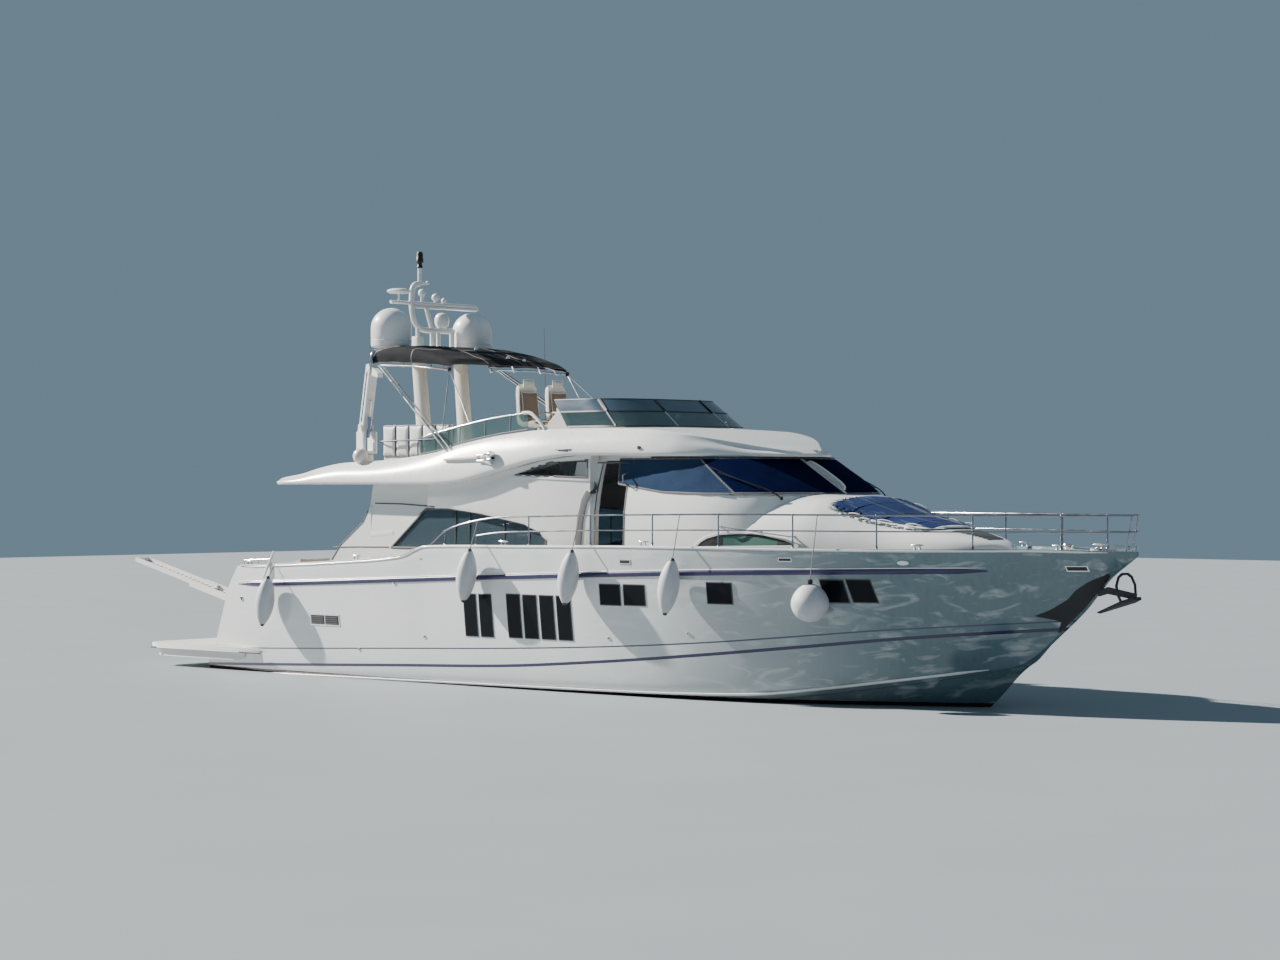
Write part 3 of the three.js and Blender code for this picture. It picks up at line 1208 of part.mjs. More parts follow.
// Cockpit
const cockpitSeat = () => sofa(-8300, -7560, -1480, 1180, COCKPIT_SOLE, 1990, 2420, 'aft');

const STAIR = { lowX: -7500, highX: -5480, y: [1440, 2020], treads: 9 };
function flyStair() {
  const rise = FLY_SOLE_AFT - COCKPIT_SOLE;
  const run = STAIR.highX - STAIR.lowX;
  const stringer = (y) => prism([
    [STAIR.lowX, COCKPIT_SOLE + GAP], [STAIR.lowX + 260, COCKPIT_SOLE + GAP], [STAIR.highX + 60, 4000],
    [STAIR.highX + 60, 4015], [STAIR.highX - 140, 4015], [STAIR.lowX, COCKPIT_SOLE + 200],
  ], 'xz', y, y + 30);
  const treads = Array.from({ length: STAIR.treads }, (_, i) => {
    const share = (i + 1) / (STAIR.treads + 1);
    const x = STAIR.lowX + run * share;
    const z = COCKPIT_SOLE + rise * share;
    return box(x - 110, x + 130, STAIR.y[0] + 10, STAIR.y[1] - 10, z - 25, z);
  });
  return join(stringer(STAIR.y[0]), stringer(STAIR.y[1] - 30), ...treads);
}

// Fly deck lounge
const flySofa = () => join(
  sofa(-4950, -2800, 1450, 2200, FLY_SOLE_AFT, 4560, 4930, 'port'),
  sofa(-3450, -2800, 250, 1500, FLY_SOLE_AFT, 4560, 4930, 'front'),
);
// Bar cabinet with the high seat backs that run on forward of it along the coaming
const flyBar = () => join(
  roundedBox(-4700, -3350, -2200, -1500, FLY_SOLE_AFT + GAP, 4980, 80),
  roundedBox(-4700, -2720, -2210, -2110, FLY_SOLE_AFT + GAP, 5240, 40),
);

// Interior that shows through the glass
const saloonInterior = () => join(
  box(-4780, 1200, -2180, 2180, COCKPIT_SOLE + 8, COCKPIT_SOLE + 30),
  sofa(-4300, -1200, -2120, -1250, COCKPIT_SOLE + 20, 2010, 2480, 'starboard'),
  roundedBox(-4300, -2600, 1500, 2120, COCKPIT_SOLE + 20, 2420, 60),
  sofa(-2200, -400, 1250, 2120, COCKPIT_SOLE + 20, 2010, 2480, 'port'),
  box(900, 1200, -900, 900, COCKPIT_SOLE + 20, 2290),
);
const WHEELHOUSE_FLOOR = WHEELHOUSE_SOLE + 0.4;
const DASH_SIDE = [
  [4300, WHEELHOUSE_FLOOR], [5200, WHEELHOUSE_FLOOR], [5200, 3560], [4620, 3620], [4300, 3360],
];
const PILOT_SEAT_SIDE = [
  [3100, WHEELHOUSE_FLOOR], [3700, WHEELHOUSE_FLOOR], [3700, 2760], [3250, 2800], [3180, 3380], [3080, 3380],
];
const wheelhouseConsole = () => join(
  prism(DASH_SIDE, 'xz', -1450, 1450),
  prism(PILOT_SEAT_SIDE, 'xz', -1250, -550),
  box(3600, 4400, -1000, -900, WHEELHOUSE_FLOOR, WHEELHOUSE_SOLE + 30),
);

const aftScreen = () => join(
  saloonAftFrame(),
  aftPane(-AFT_DOOR_HALF + 50, -940),
  aftPane(940, AFT_DOOR_HALF - 50),
  box(HOUSE_AFT + 54, HOUSE_AFT + 66, 0, 900, AFT_DOOR_LOW + 20, AFT_DOOR_HIGH - 50),
  box(HOUSE_AFT + 45, HOUSE_AFT + 75, -10, 30, AFT_DOOR_LOW + 20, AFT_DOOR_HIGH - 50),
);

const FIXED_PIECES = [
  ['hull', makeHull, 'gelcoat'],
  ['deck_moulding', makeDeck, 'deck'],
  ['deckhouse', makeHouse, 'gelcoat'],
  ['coachroof', makeCoachroof, 'gelcoat'],
  ['bathing_platform', makePlatform, 'deck'],
  ['fly_deck', makeFlyDeck, 'gelcoat'],
  ['saloon_aft_screen', aftScreen, 'glass'],
  ['saloon_door_leaf', () => aftLeaf(AFT_LEAF.low, AFT_LEAF.high), 'glass'],
  ['fly_aft_rail', flyAftRail, 'steel'],
  ['fly_windscreen', flyScreen, 'glass'],
  ['fly_console', flyConsole, 'gelcoat'],
  ['helm_seat_starboard', () => helmSeat(HELM_SEAT.x, HELM_SEAT.starboardY), 'cushion'],
  ['helm_seat_port', () => helmSeat(HELM_SEAT.x, HELM_SEAT.portY), 'cushion'],
  ['fly_sofa', flySofa, 'cushion'],
  ['fly_bar', flyBar, 'gelcoat'],
  ['fly_stair', flyStair, 'gelcoat'],
  ['bimini_canopy', biminiCanopy, 'canopy'],
  ['bimini_frame', biminiFrame, 'steel'],
  ['antenna_arch', makeArch, 'gelcoat'],
  ['mast', makeMast, 'gelcoat'],
  ['crane_base', craneBase, 'gelcoat'],
  ['crane_head', craneHead, 'gelcoat'],
  ['crane_boom', craneBoom, 'gelcoat'],
  ['crane_cylinder', craneCylinder, 'steel'],
  ['crane_rod', craneRod, 'steel'],
  ['bridge_bracket', bridgeBracket, 'steel'],
  ['bridge_outer', bridgeOuter, 'gelcoat'],
  ['bridge_inner', bridgeInner, 'gelcoat'],
  ['ball_fender', ballFender, 'fender'],
  ['anchor', anchor, 'steel'],
  ['windlass', windlass, 'steel'],
  ['foredeck_sunpad', sunpad, 'cushion'],
  ['foredeck_hatch', hatchLid, 'gelcoat'],
  ['cockpit_seat', cockpitSeat, 'cushion'],
  ['saloon_interior', saloonInterior, 'wood'],
  ['wheelhouse_console', wheelhouseConsole, 'dark'],
];

FIXED_PIECES.forEach(([name, make, material]) => add(name, make(), material));
FENDERS.forEach((row, i) => add(`fender_${i + 1}`, fender(row), 'fender'));

for (const [sideName, side] of Object.entries(SIDES)) {
  for (const [name, outline] of Object.entries(SIDE_PANES)) {
    add(`${name}_${sideName}`, onSide(paneIn(sideOpening(shrunk(outline, PANE_GAP))), side), 'glass');
  }
  add(`windscreen_${sideName}`, paneIn(windscreenOpening(side, PANE_GAP)), 'glass');
  add(`side_door_${sideName}`, sideDoor(side, side < 0 ? -SIDE_DOOR_TRAVEL : 0), 'glass');
  add(`bow_rail_${sideName}`, bowRail(side), 'steel');
  add(`fly_side_screen_${sideName}`, flySideGlass(side), 'glass');
  add(`dome_${sideName}`, dome(side), 'gelcoat');
  add(`propeller_${sideName}`, onSide(propeller(), side), 'bronze');
  add(`shaft_bracket_${sideName}`, shaftBracket(side), 'bronze');
  add(`rudder_${sideName}`, rudder(side), 'bronze');
}

export default group;
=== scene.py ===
"""Flybridge motor yacht afloat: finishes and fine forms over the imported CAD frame. Metres, X to the bow, Y to port."""

import json
import math

import bmesh
import bpy
import numpy as np
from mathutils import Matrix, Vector
from mathutils.bvhtree import BVHTree
from mathutils.geometry import tessellate_polygon


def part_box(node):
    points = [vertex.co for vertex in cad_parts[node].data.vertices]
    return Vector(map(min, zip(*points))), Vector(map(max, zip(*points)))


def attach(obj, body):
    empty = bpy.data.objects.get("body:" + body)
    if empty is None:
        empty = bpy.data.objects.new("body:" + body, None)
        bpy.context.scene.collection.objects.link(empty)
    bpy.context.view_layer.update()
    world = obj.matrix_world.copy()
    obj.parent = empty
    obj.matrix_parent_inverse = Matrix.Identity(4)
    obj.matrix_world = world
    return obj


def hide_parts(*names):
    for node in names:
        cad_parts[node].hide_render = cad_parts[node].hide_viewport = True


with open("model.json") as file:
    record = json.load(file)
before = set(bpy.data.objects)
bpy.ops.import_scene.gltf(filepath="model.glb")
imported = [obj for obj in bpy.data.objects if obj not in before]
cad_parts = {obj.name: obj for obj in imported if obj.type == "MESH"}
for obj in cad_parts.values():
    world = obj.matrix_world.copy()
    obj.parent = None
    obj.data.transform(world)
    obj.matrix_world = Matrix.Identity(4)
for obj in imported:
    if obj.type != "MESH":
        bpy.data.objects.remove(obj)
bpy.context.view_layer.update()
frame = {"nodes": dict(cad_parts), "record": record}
record = frame["record"]
BODY_OF = {node: body for body, names in record["behaviour"]["bodies"].items() for node in names}
SIDES = {"starboard": -1, "port": 1}

# Camera at the photograph's viewpoint
scene = bpy.context.scene
camera_data = bpy.data.cameras.new("camera")
camera = bpy.data.objects.new("camera", camera_data)
scene.collection.objects.link(camera)
camera.location = (38.766, -42.539, 4.05)
camera.rotation_euler = (math.radians(90), 0, math.radians(42))
camera_data.sensor_width = 36
camera_data.lens = 80.16
camera_data.shift_y = 3 / 1280
camera_data.clip_end = 400
scene.camera = camera


# Curves and grids
def monotone(xs, ys):
    """Monotone cubic through (xs, ys): Hermite pieces whose tangents are harmonic means of the two slopes."""
    xs = np.asarray(xs, float)
    ys = np.asarray(ys, float)
    step = np.diff(xs)
    slope = np.diff(ys) / step
    tangent = np.zeros(len(xs))
    tangent[0] = slope[0]
    tangent[-1] = slope[-1]
    if len(xs) > 2:
        before, after = slope[:-1], slope[1:]
        heavy = 2 * step[1:] + step[:-1]
        light = step[1:] + 2 * step[:-1]
        same = before * after > 0
        safe_before = np.where(same, before, 1.0)
        safe_after = np.where(same, after, 1.0)
        tangent[1:-1] = np.where(same, (heavy + light) / (heavy / safe_before + light / safe_after), 0.0)

    def value(x):
        x = np.asarray(x, float)
        i = np.clip(np.searchsorted(xs, x) - 1, 0, len(xs) - 2)
        span = step[i]
        t = np.clip((x - xs[i]) / span, 0, 1)
        near = (1 + 2 * t) * (1 - t) ** 2 * ys[i] + t * (1 - t) ** 2 * span * tangent[i]
        far = t * t * (3 - 2 * t) * ys[i + 1] + t * t * (t - 1) * span * tangent[i + 1]
        return near + far

    return value


def columns(table):
    """One monotone curve for each column of a table after the first, over the first."""
    table = np.asarray(table, float)
    return [monotone(table[:, 0], table[:, k]) for k in range(1, table.shape[1])]


def through(points, count):
    """Catmull-Rom curve through the points, sampled evenly by chord length into count points."""
    p = np.asarray(points, float)
    chord = np.r_[0, np.cumsum(np.linalg.norm(np.diff(p, axis=0), axis=1) ** 0.5)]
    ends = np.vstack([2 * p[0] - p[1], p, 2 * p[-1] - p[-2]])
    knots = np.r_[chord[0] - (chord[1] - chord[0]), chord, 2 * chord[-1] - chord[-2]]
    at = np.linspace(chord[0], chord[-1], count)
    i = np.clip(np.searchsorted(chord, at, side="right") - 1, 0, len(p) - 2)
    a, b, c, d = ends[i], ends[i + 1], ends[i + 2], ends[i + 3]
    ka, kb, kc, kd = (knots[i + k][:, None] for k in range(4))
    t = at[:, None]
    ab = (kb - t) / (kb - ka) * a + (t - ka) / (kb - ka) * b
    bc = (kc - t) / (kc - kb) * b + (t - kb) / (kc - kb) * c
    cd = (kd - t) / (kd - kc) * c + (t - kc) / (kd - kc) * d
    abc = (kc - t) / (kc - ka) * ab + (t - ka) / (kc - ka) * bc
    bcd = (kd - t) / (kd - kb) * bc + (t - kb) / (kd - kb) * cd
    return (kc - t) / (kc - kb) * abc + (t - kb) / (kc - kb) * bcd


def quads(rows, cols, wrap=False):
    """Faces of a grid of rows by cols points, row by row; wrap joins the last column to the first."""
    r = np.arange(rows - 1)[:, None]
    c = np.arange(cols if wrap else cols - 1)[None, :]
    after = (c + 1) % cols
    return np.stack([r * cols + c, r * cols + after, (r + 1) * cols + after, (r + 1) * cols + c], -1).reshape(-1, 4)


def place(name, points, faces, body="root", slot="gelcoat", material=None, angle=35, replaces=(), flip=None):
    """A mesh object from points and faces, outwards by the sign of its volume, smooth below the angle."""
    mesh = bpy.data.meshes.new(name)
    mesh.from_pydata(np.asarray(points, float).reshape(-1, 3).tolist(), [], [list(map(int, f)) for f in faces])
    return finish_piece(name, mesh, body, material, angle, replaces, flip)


def finish_piece(name, mesh, body, material, angle, replaces=(), flip=None):
    work = bmesh.new()
    work.from_mesh(mesh)
    bmesh.ops.remove_doubles(work, verts=work.verts, dist=1e-5)
    bmesh.ops.dissolve_degenerate(work, edges=work.edges, dist=1e-6)
    if flip is None:
        flip = work.calc_volume(signed=True) < 0
    if flip:
        bmesh.ops.reverse_faces(work, faces=work.faces)
    for face in work.faces:
        face.smooth = True
    limit = math.radians(angle)
    for edge in work.edges:
        if len(edge.link_faces) == 2:
            edge.smooth = edge.calc_face_angle(0) < limit
    work.to_mesh(mesh)
    work.free()
    piece = bpy.data.objects.new(name, mesh)
    scene.collection.objects.link(piece)
    if material is not None:
        mesh.materials.append(material)
    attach(piece, body)
    if replaces:
        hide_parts(*replaces)
    return piece


def cap(ring, start, reverse):
    """Triangles that close one end ring, laid out on the plane that it covers most."""
    spread = np.abs(np.sum(np.cross(ring, np.roll(ring, -1, axis=0)), axis=0))
    keep = [k for k in range(3) if k != int(np.argmax(spread))]
    flat = [(float(p[keep[0]]), float(p[keep[1]]), 0.0) for p in ring]
    faces = [tuple(start + i for i in face) for face in tessellate_polygon([flat])]
    want = np.sum(np.cross(ring, np.roll(ring, -1, axis=0)), axis=0)
    fixed = []
    for face in faces:
        a, b, c = (ring[i - start] for i in face)
        along = float(np.dot(np.cross(b - a, c - a), want)) > 0
        fixed.append(face if along != reverse else face[::-1])
    return fixed


def loft(name, rings, **how):
    """A closed body through rings of equally many points, its two end rings closed flat."""
    rings = np.asarray(rings, float)
    rows, cols = rings.shape[:2]
    faces = [tuple(face[::-1]) for face in quads(rows, cols, wrap=True)]
    faces += cap(rings[0], 0, False)
    faces += cap(rings[-1], (rows - 1) * cols, True)
    return place(name, rings, faces, **how)


def pipe_rings(path, radius, sides=10):
    """Rings of one radius, or one for each point, across a path, with a frame carried along it unturned."""
    path = np.asarray(path, float)
    heading = np.gradient(path, axis=0)
    heading /= np.linalg.norm(heading, axis=1)[:, None]
    radius = np.broadcast_to(radius, len(path))
    side = np.array([0.0, 0, 1]) if abs(heading[0][2]) < 0.9 else np.array([0.0, 1, 0])
    angle = np.linspace(0, 2 * np.pi, sides, endpoint=False)
    rings = np.zeros((len(path), sides, 3))
    for k, (centre, ahead) in enumerate(zip(path, heading)):
        side = side - ahead * np.dot(side, ahead)
        side = side / np.linalg.norm(side)
        over = np.cross(ahead, side)
        rings[k] = centre + radius[k] * (np.cos(angle)[:, None] * side + np.sin(angle)[:, None] * over)
    return rings


def merged(name, parts, **how):
    """One mesh from several closed lofts, each given as its rings."""
    points = []
    faces = []
    for rings in parts:
        rings = np.asarray(rings, float)
        rows, cols = rings.shape[:2]
        start = len(points)
        points.extend(rings.reshape(-1, 3).tolist())
        own = [tuple(int(start + i) for i in face[::-1]) for face in quads(rows, cols, wrap=True)]
        own += [tuple(start + i for i in face) for face in cap(rings[0], 0, False)]
        own += [tuple(start + (rows - 1) * cols + i for i in face) for face in cap(rings[-1], 0, True)]
        local = np.asarray(points[start:])
        volume = sum(np.dot(local[f[0] - start], np.cross(local[f[1] - start], local[f[2] - start])) for f in own)
        volume += sum(
            np.dot(local[f[0] - start], np.cross(local[f[2] - start], local[f[3] - start])) for f in own if len(f) == 4)
        faces += own if volume > 0 else [f[::-1] for f in own]
    return place(name, points, faces, flip=False, **how)


def bar(a, b, radius, sides=10, steps=2):
    """Rings of a straight round bar from a to b."""
    return pipe_rings(np.linspace(a, b, steps), radius, sides)


def turned(profile, centre, sides=40):
    """Rings of a body turned about the vertical through a centre; profile rows are radius and height."""
    profile = np.asarray(profile, float)
    angle = np.linspace(0, 2 * np.pi, sides, endpoint=False)
    ring = np.stack([np.cos(angle), np.sin(angle), np.zeros(sides)], -1)
    rings = profile[:, 0, None, None] * ring[None] + np.array([0, 0, 1.0]) * profile[:, 1, None, None]
    return rings + np.asarray(centre, float)


def block(low, high, radius=0.02, steps=3):
    """Rings of a box with edges rounded in plan and at the top and foot."""
    low, high = np.asarray(low, float), np.asarray(high, float)
    rings = []
    lift = radius * (1 - np.cos(np.linspace(0, np.pi / 2, steps)))
    draw = radius * (1 - np.sin(np.linspace(0, np.pi / 2, steps)))
    levels = [(low[2] + a, b) for a, b in zip(lift, draw)] + [(high[2] - a, b) for a, b in zip(lift[::-1], draw[::-1])]
    for z, shrink in levels:
        corners = []
        for quarter, (x, y) in enumerate([(high[0], high[1]), (low[0], high[1]), (low[0], low[1]), (high[0], low[1])]):
            turn = (quarter + np.linspace(0, 1, steps + 1)) * (np.pi / 2)
            cx = x - np.sign(x - (low[0] + high[0]) / 2) * radius
            cy = y - np.sign(y - (low[1] + high[1]) / 2) * radius
            reach = radius - shrink
            corners.append(np.stack([cx + reach * np.cos(turn), cy + reach * np.sin(turn), np.full(len(turn), z)], -1))
        rings.append(np.vstack(corners))
    return np.asarray(rings)


def refined(node, material, angle=32, bevel=0.0, segments=2):
    """A welded copy of a CAD node, smooth below the angle, with its edges eased by a bevel."""
    mesh = frame["nodes"][node].data.copy()
    mesh.materials.clear()
    piece = finish_piece(node + "_skin", mesh, BODY_OF[node], material, angle, (node,), flip=False)
    if bevel:
        ease = piece.modifiers.new("eased", "BEVEL")
        ease.width = bevel
        ease.segments = segments
        ease.limit_method = "ANGLE"
        ease.angle_limit = math.radians(max(angle, 35))
        ease.harden_normals = True
    return piece


TREES = {}


def landed(node, points, heading, lift=0.0):
    """Points carried along a heading onto a CAD node and lifted back by lift; one that misses it stays in its place."""
    if node not in TREES:
        mesh = frame["nodes"][node].data
        TREES[node] = BVHTree.FromPolygons([v.co[:] for v in mesh.vertices], [p.vertices[:] for p in mesh.polygons])
    ahead = Vector(heading).normalized()
    hits = [TREES[node].ray_cast(Vector(p) - ahead * 2.5, ahead)[0] or Vector(p) for p in np.asarray(points, float)]
    return np.asarray([h[:] for h in hits]) - lift * np.asarray(ahead)


def polyline(points, step=0.06):
    """Straight runs between the points, with further points no further apart than the step."""
    p = np.asarray(points, float)
    runs = [np.linspace(a, b, max(2, int(np.linalg.norm(b - a) / step) + 1))[:-1] for a, b in zip(p[:-1], p[1:])]
    return np.vstack([*runs, p[-1:]])


def strip_rings(path, out, width, depth, sink=0.004):
    """Rings of a flat strip with eased edges: width across the path, depth along out, sunk a little below it."""
    path = np.asarray(path, float)
    heading = np.gradient(path, axis=0)
    heading /= np.linalg.norm(heading, axis=1)[:, None]
    out = np.broadcast_to(np.asarray(out, float), path.shape)
    out = out - heading * np.sum(out * heading, axis=1)[:, None]
    out = out / np.linalg.norm(out, axis=1)[:, None]
    across = np.cross(heading, out)
    section = np.array([(-0.5, -sink), (-0.5, 0.6 * depth), (-0.38, depth), (0.38, depth), (0.5, 0.6 * depth),
                        (0.5, -sink)])
    wide = np.broadcast_to(width, len(path))[:, None, None]
    return path[:, None] + across[:, None] * section[None, :, :1] * wide + out[:, None] * section[None, :, 1:]


def side_strip(points, side, width, depth, node="deckhouse", step=0.06):
    """Rings of a strip on a node's side, along points given as x and z."""
    path = [(x, 2.33 * side, z) for x, z in points]
    path = landed(node, polyline(path, step), (0, -side, 0))
    return strip_rings(path, (0, side, 0), width, depth)


def outward(grid):
    """Unit normals of a grid of points, from the differences along its rows and columns."""
    normal = np.cross(np.gradient(grid, axis=0), np.gradient(grid, axis=1))
    return normal / np.maximum(np.linalg.norm(normal, axis=2), 1e-9)[..., None]


def shell(name, outer, inner, **how):
    """A closed wall between two grids of equal size, joined round their rim."""
    rows, cols = outer.shape[:2]
    count = rows * cols
    face = quads(rows, cols)
    rim = np.r_[np.arange(cols), cols * np.arange(2, rows + 1) - 1, (rows - 1) * cols + np.arange(cols - 2, -1, -1),
                cols * np.arange(rows - 2, 0, -1)]
    after = np.roll(rim, -1)
    wall = np.stack([after, rim, rim + count, after + count], -1)
    faces = [*face.tolist(), *(face[:, ::-1] + count).tolist(), *wall.tolist()]
    return place(name, np.concatenate([outer.reshape(-1, 3), inner.reshape(-1, 3)]), faces, **how)


def cloth(name, grid, held, rests_on, thickness=0.002, with_pieces=(), **how):
    """One sheet of cloth on a grid of points, built as a thin shell of the given thickness along the grid's normals."""
    normal = outward(grid)
    piece = shell(name, grid + normal * thickness, grid, **how)
    return piece


def swollen(piece, voxel, most, frames=20):
    """Pad filled by a cloth simulation under pressure: remeshed, swelled, and no point moved further than most."""
    looks = list(piece.data.materials)
    remesh = piece.modifiers.new("even", "REMESH")
    remesh.mode = "VOXEL"
    remesh.voxel_size = voxel
    even = bpy.data.meshes.new_from_object(piece.evaluated_get(bpy.context.evaluated_depsgraph_get()))
    piece.modifiers.clear()
    piece.data = even
    count = len(even.vertices)
    before = np.zeros(count * 3)
    even.vertices.foreach_get("co", before)
    swell = piece.modifiers.new("swell", "CLOTH")
    swell.settings.use_pressure = True
    swell.settings.uniform_pressure_force = 4
    swell.settings.effector_weights.gravity = 0
    swell.settings.quality = 4
    swell.collision_settings.use_collision = False
    swell.point_cache.frame_start = 1
    swell.point_cache.frame_end = frames
    for step in range(1, frames + 1):
        scene.frame_set(step)
    full = piece.evaluated_get(bpy.context.evaluated_depsgraph_get()).to_mesh()
    after = np.zeros(count * 3)
    full.vertices.foreach_get("co", after)
    piece.modifiers.clear()
    scene.frame_set(1)
    move = (after - before).reshape(-1, 3)
    far = np.maximum(np.linalg.norm(move, axis=1), 1e-9)
    points = before.reshape(-1, 3) + move * np.minimum(1, most / far)[:, None]
    even.vertices.foreach_set("co", points.ravel())
    even.polygons.foreach_set("use_smooth", np.ones(len(even.polygons), bool))
    even.materials.clear()
    for look in looks:
        even.materials.append(look)
    return piece


def pad_surface(u, v, centre, wide, long, thick, crown):
    """Half of a cushion: sides drawn in between the corners, edges rounded by a power 4, and a crowned middle."""
    pull = 0.035
    a = u * (1 - pull * (1 - v ** 2))
    b = v * (1 - pull * (1 - u ** 2))
    edge = (1 - np.abs(u) ** 4) ** 0.25 * (1 - np.abs(v) ** 4) ** 0.25
    rise = edge * (1 - crown + crown * (1 - u ** 2) * (1 - v ** 2))
    spread = a[..., None] * np.asarray(wide, float) + b[..., None] * np.asarray(long, float)
    return np.asarray(centre, float) + spread + rise[..., None] * np.asarray(thick, float)


def cushion(name, centre, wide, long, thick, material, slot="upholstery", welt=None, most=0.01, crown=0.35,
            replaces=(), simulate=True, body="root"):
    """A padded cushion from its centre and three half edges, swelled by simulation, with a welt along its seam."""
    s = np.sin(np.linspace(-1, 1, 25) * np.pi / 2)
    u, v = np.meshgrid(s, s)
    shrink = 1 - most / np.linalg.norm(thick) * 0.8
    over = pad_surface(u, v, centre, wide, long, np.multiply(thick, shrink), crown)
    under = pad_surface(u, v, centre, wide, long, np.multiply(thick, -shrink), crown * 0.3)
    piece = shell(name, over, under, slot=slot, material=material, angle=60, replaces=replaces, body=body)
    if simulate:
        size = max(np.linalg.norm(wide), np.linalg.norm(long))
        swollen(piece, max(0.010, size / 32), most)
    if welt is not None:
        turn = np.linspace(-1, 1, 40)
        edge = [pad_surface(turn, -np.ones(40), centre, wide, long, thick, crown),
                pad_surface(np.ones(40), turn, centre, wide, long, thick, crown),
                pad_surface(-turn, np.ones(40), centre, wide, long, thick, crown),
                pad_surface(-np.ones(40), -turn, centre, wide, long, thick, crown)]
        loft(name + "_welt", pipe_rings(np.vstack([part[:-1] for part in edge] + [edge[0][:1]]), 0.009, 8),
             slot=slot, material=welt, angle=80, body=body)
    return piece


# Finishes
class Finish:
    """A principled material that is built up node by node, on Object coordinates."""

    def __init__(self, name, colour, roughness, **sockets):
        self.material = bpy.data.materials.new(name)
        self.material.use_nodes = True
        self.tree = self.material.node_tree
        self.shader = self.tree.nodes["Principled BSDF"]
        self.shader.inputs["Base Color"].default_value = (*colour, 1)
        self.shader.inputs["Roughness"].default_value = roughness
        for socket, value in sockets.items():
            self.shader.inputs[socket.replace("_", " ")].default_value = value
        self.material.diffuse_color = (*colour, 1)

    def node(self, kind, inputs=(), **settings):
        made = self.tree.nodes.new(kind)
        for key, value in settings.items():
            setattr(made, key, value)
        for key, value in dict(inputs).items():
            if isinstance(value, bpy.types.NodeSocket):
                self.tree.links.new(value, made.inputs[key])
            else:
                made.inputs[key].default_value = value
        return made

    def where(self, scale=(1, 1, 1), turn=(0, 0, 0), source="Object"):
        place_node = self.node("ShaderNodeTexCoord")
        mapping = self.node("ShaderNodeMapping", {"Vector": place_node.outputs[source], "Scale": scale})
        mapping.inputs["Rotation"].default_value = [math.radians(a) for a in turn]
        return mapping.outputs[0]

    def noise(self, scale, detail=3.0, stretch=(1, 1, 1), distortion=0.0):
        made = self.node("ShaderNodeTexNoise", {
            "Vector": self.where(stretch), "Scale": scale, "Detail": detail, "Distortion": distortion})
        return made.outputs[0]

    def wave(self, scale, turn=(0, 0, 0), distortion=0.0, source="Object", profile="SIN"):
        made = self.node("ShaderNodeTexWave", {
            "Vector": self.where((1, 1, 1), turn, source), "Scale": scale, "Distortion": distortion})
        made.wave_profile = profile
        return made.outputs["Fac"]

    def maths(self, operation, a, b=0.0, clamp=False):
        return self.node("ShaderNodeMath", {0: a, 1: b}, operation=operation, use_clamp=clamp).outputs[0]

    def ramp(self, value, stops):
        made = self.node("ShaderNodeValToRGB", {"Fac": value})
        ends = made.color_ramp.elements
        while len(ends) < len(stops):
            ends.new(0.5)
        for element, (position, colour) in zip(ends, stops):
            element.position = position
            element.color = (*colour, 1) if len(colour) == 3 else colour
        return made.outputs[0]

    def blend(self, factor, a, b):
        made = self.node("ShaderNodeMix", data_type="RGBA")
        for socket, value in ((made.inputs[0], factor), (made.inputs[6], a), (made.inputs[7], b)):
            if isinstance(value, bpy.types.NodeSocket):
                self.tree.links.new(value, socket)
            elif socket is made.inputs[0]:
                socket.default_value = value
            else:
                socket.default_value = (*value, 1)
        return made.outputs[2]

    def colour(self, source):
        self.tree.links.new(source, self.shader.inputs["Base Color"])
        return self

    def rough(self, value, low, high):
        made = self.node("ShaderNodeMapRange", {"Value": value, "To Min": low, "To Max": high})
        self.tree.links.new(made.outputs[0], self.shader.inputs["Roughness"])
        return self

    def bump(self, height, distance, strength=1.0):
        made = self.node("ShaderNodeBump", {"Height": height, "Distance": distance, "Strength": strength})
        self.tree.links.new(made.outputs[0], self.shader.inputs["Normal"])
        return self

    def attribute(self, name):
        return self.node("ShaderNodeAttribute", attribute_name=name).outputs["Fac"]


def gelcoat_finish(name, light, dark, roughness=0.22):
    """Glossy moulded shell: slow changes of tone, a faint orange peel, and greyer soft streaks running down."""
    made = Finish(name, light, roughness, Coat_Weight=0.35, Coat_Roughness=0.08)
    tone = made.noise(0.9, 4, (1, 1, 1.6))
    streak = made.noise(5.0, 3, (1.6, 1.6, 0.12))
    mixed = made.blend(tone, dark, light)
    made.colour(made.blend(made.maths("MULTIPLY", streak, 0.16), mixed, dark))
    made.rough(made.noise(14, 2), roughness * 0.8, roughness * 1.3)
    return made.bump(made.noise(60, 2), 0.0006, 0.35)


WHITE = (0.86, 0.86, 0.84)
SHADE_WHITE = (0.74, 0.75, 0.75)
gelcoat = gelcoat_finish("white gelcoat", WHITE, SHADE_WHITE).material
warm_gelcoat = gelcoat_finish("cream gelcoat", (0.84, 0.81, 0.74), (0.74, 0.71, 0.64)).material
NAVY = (0.022, 0.022, 0.075)


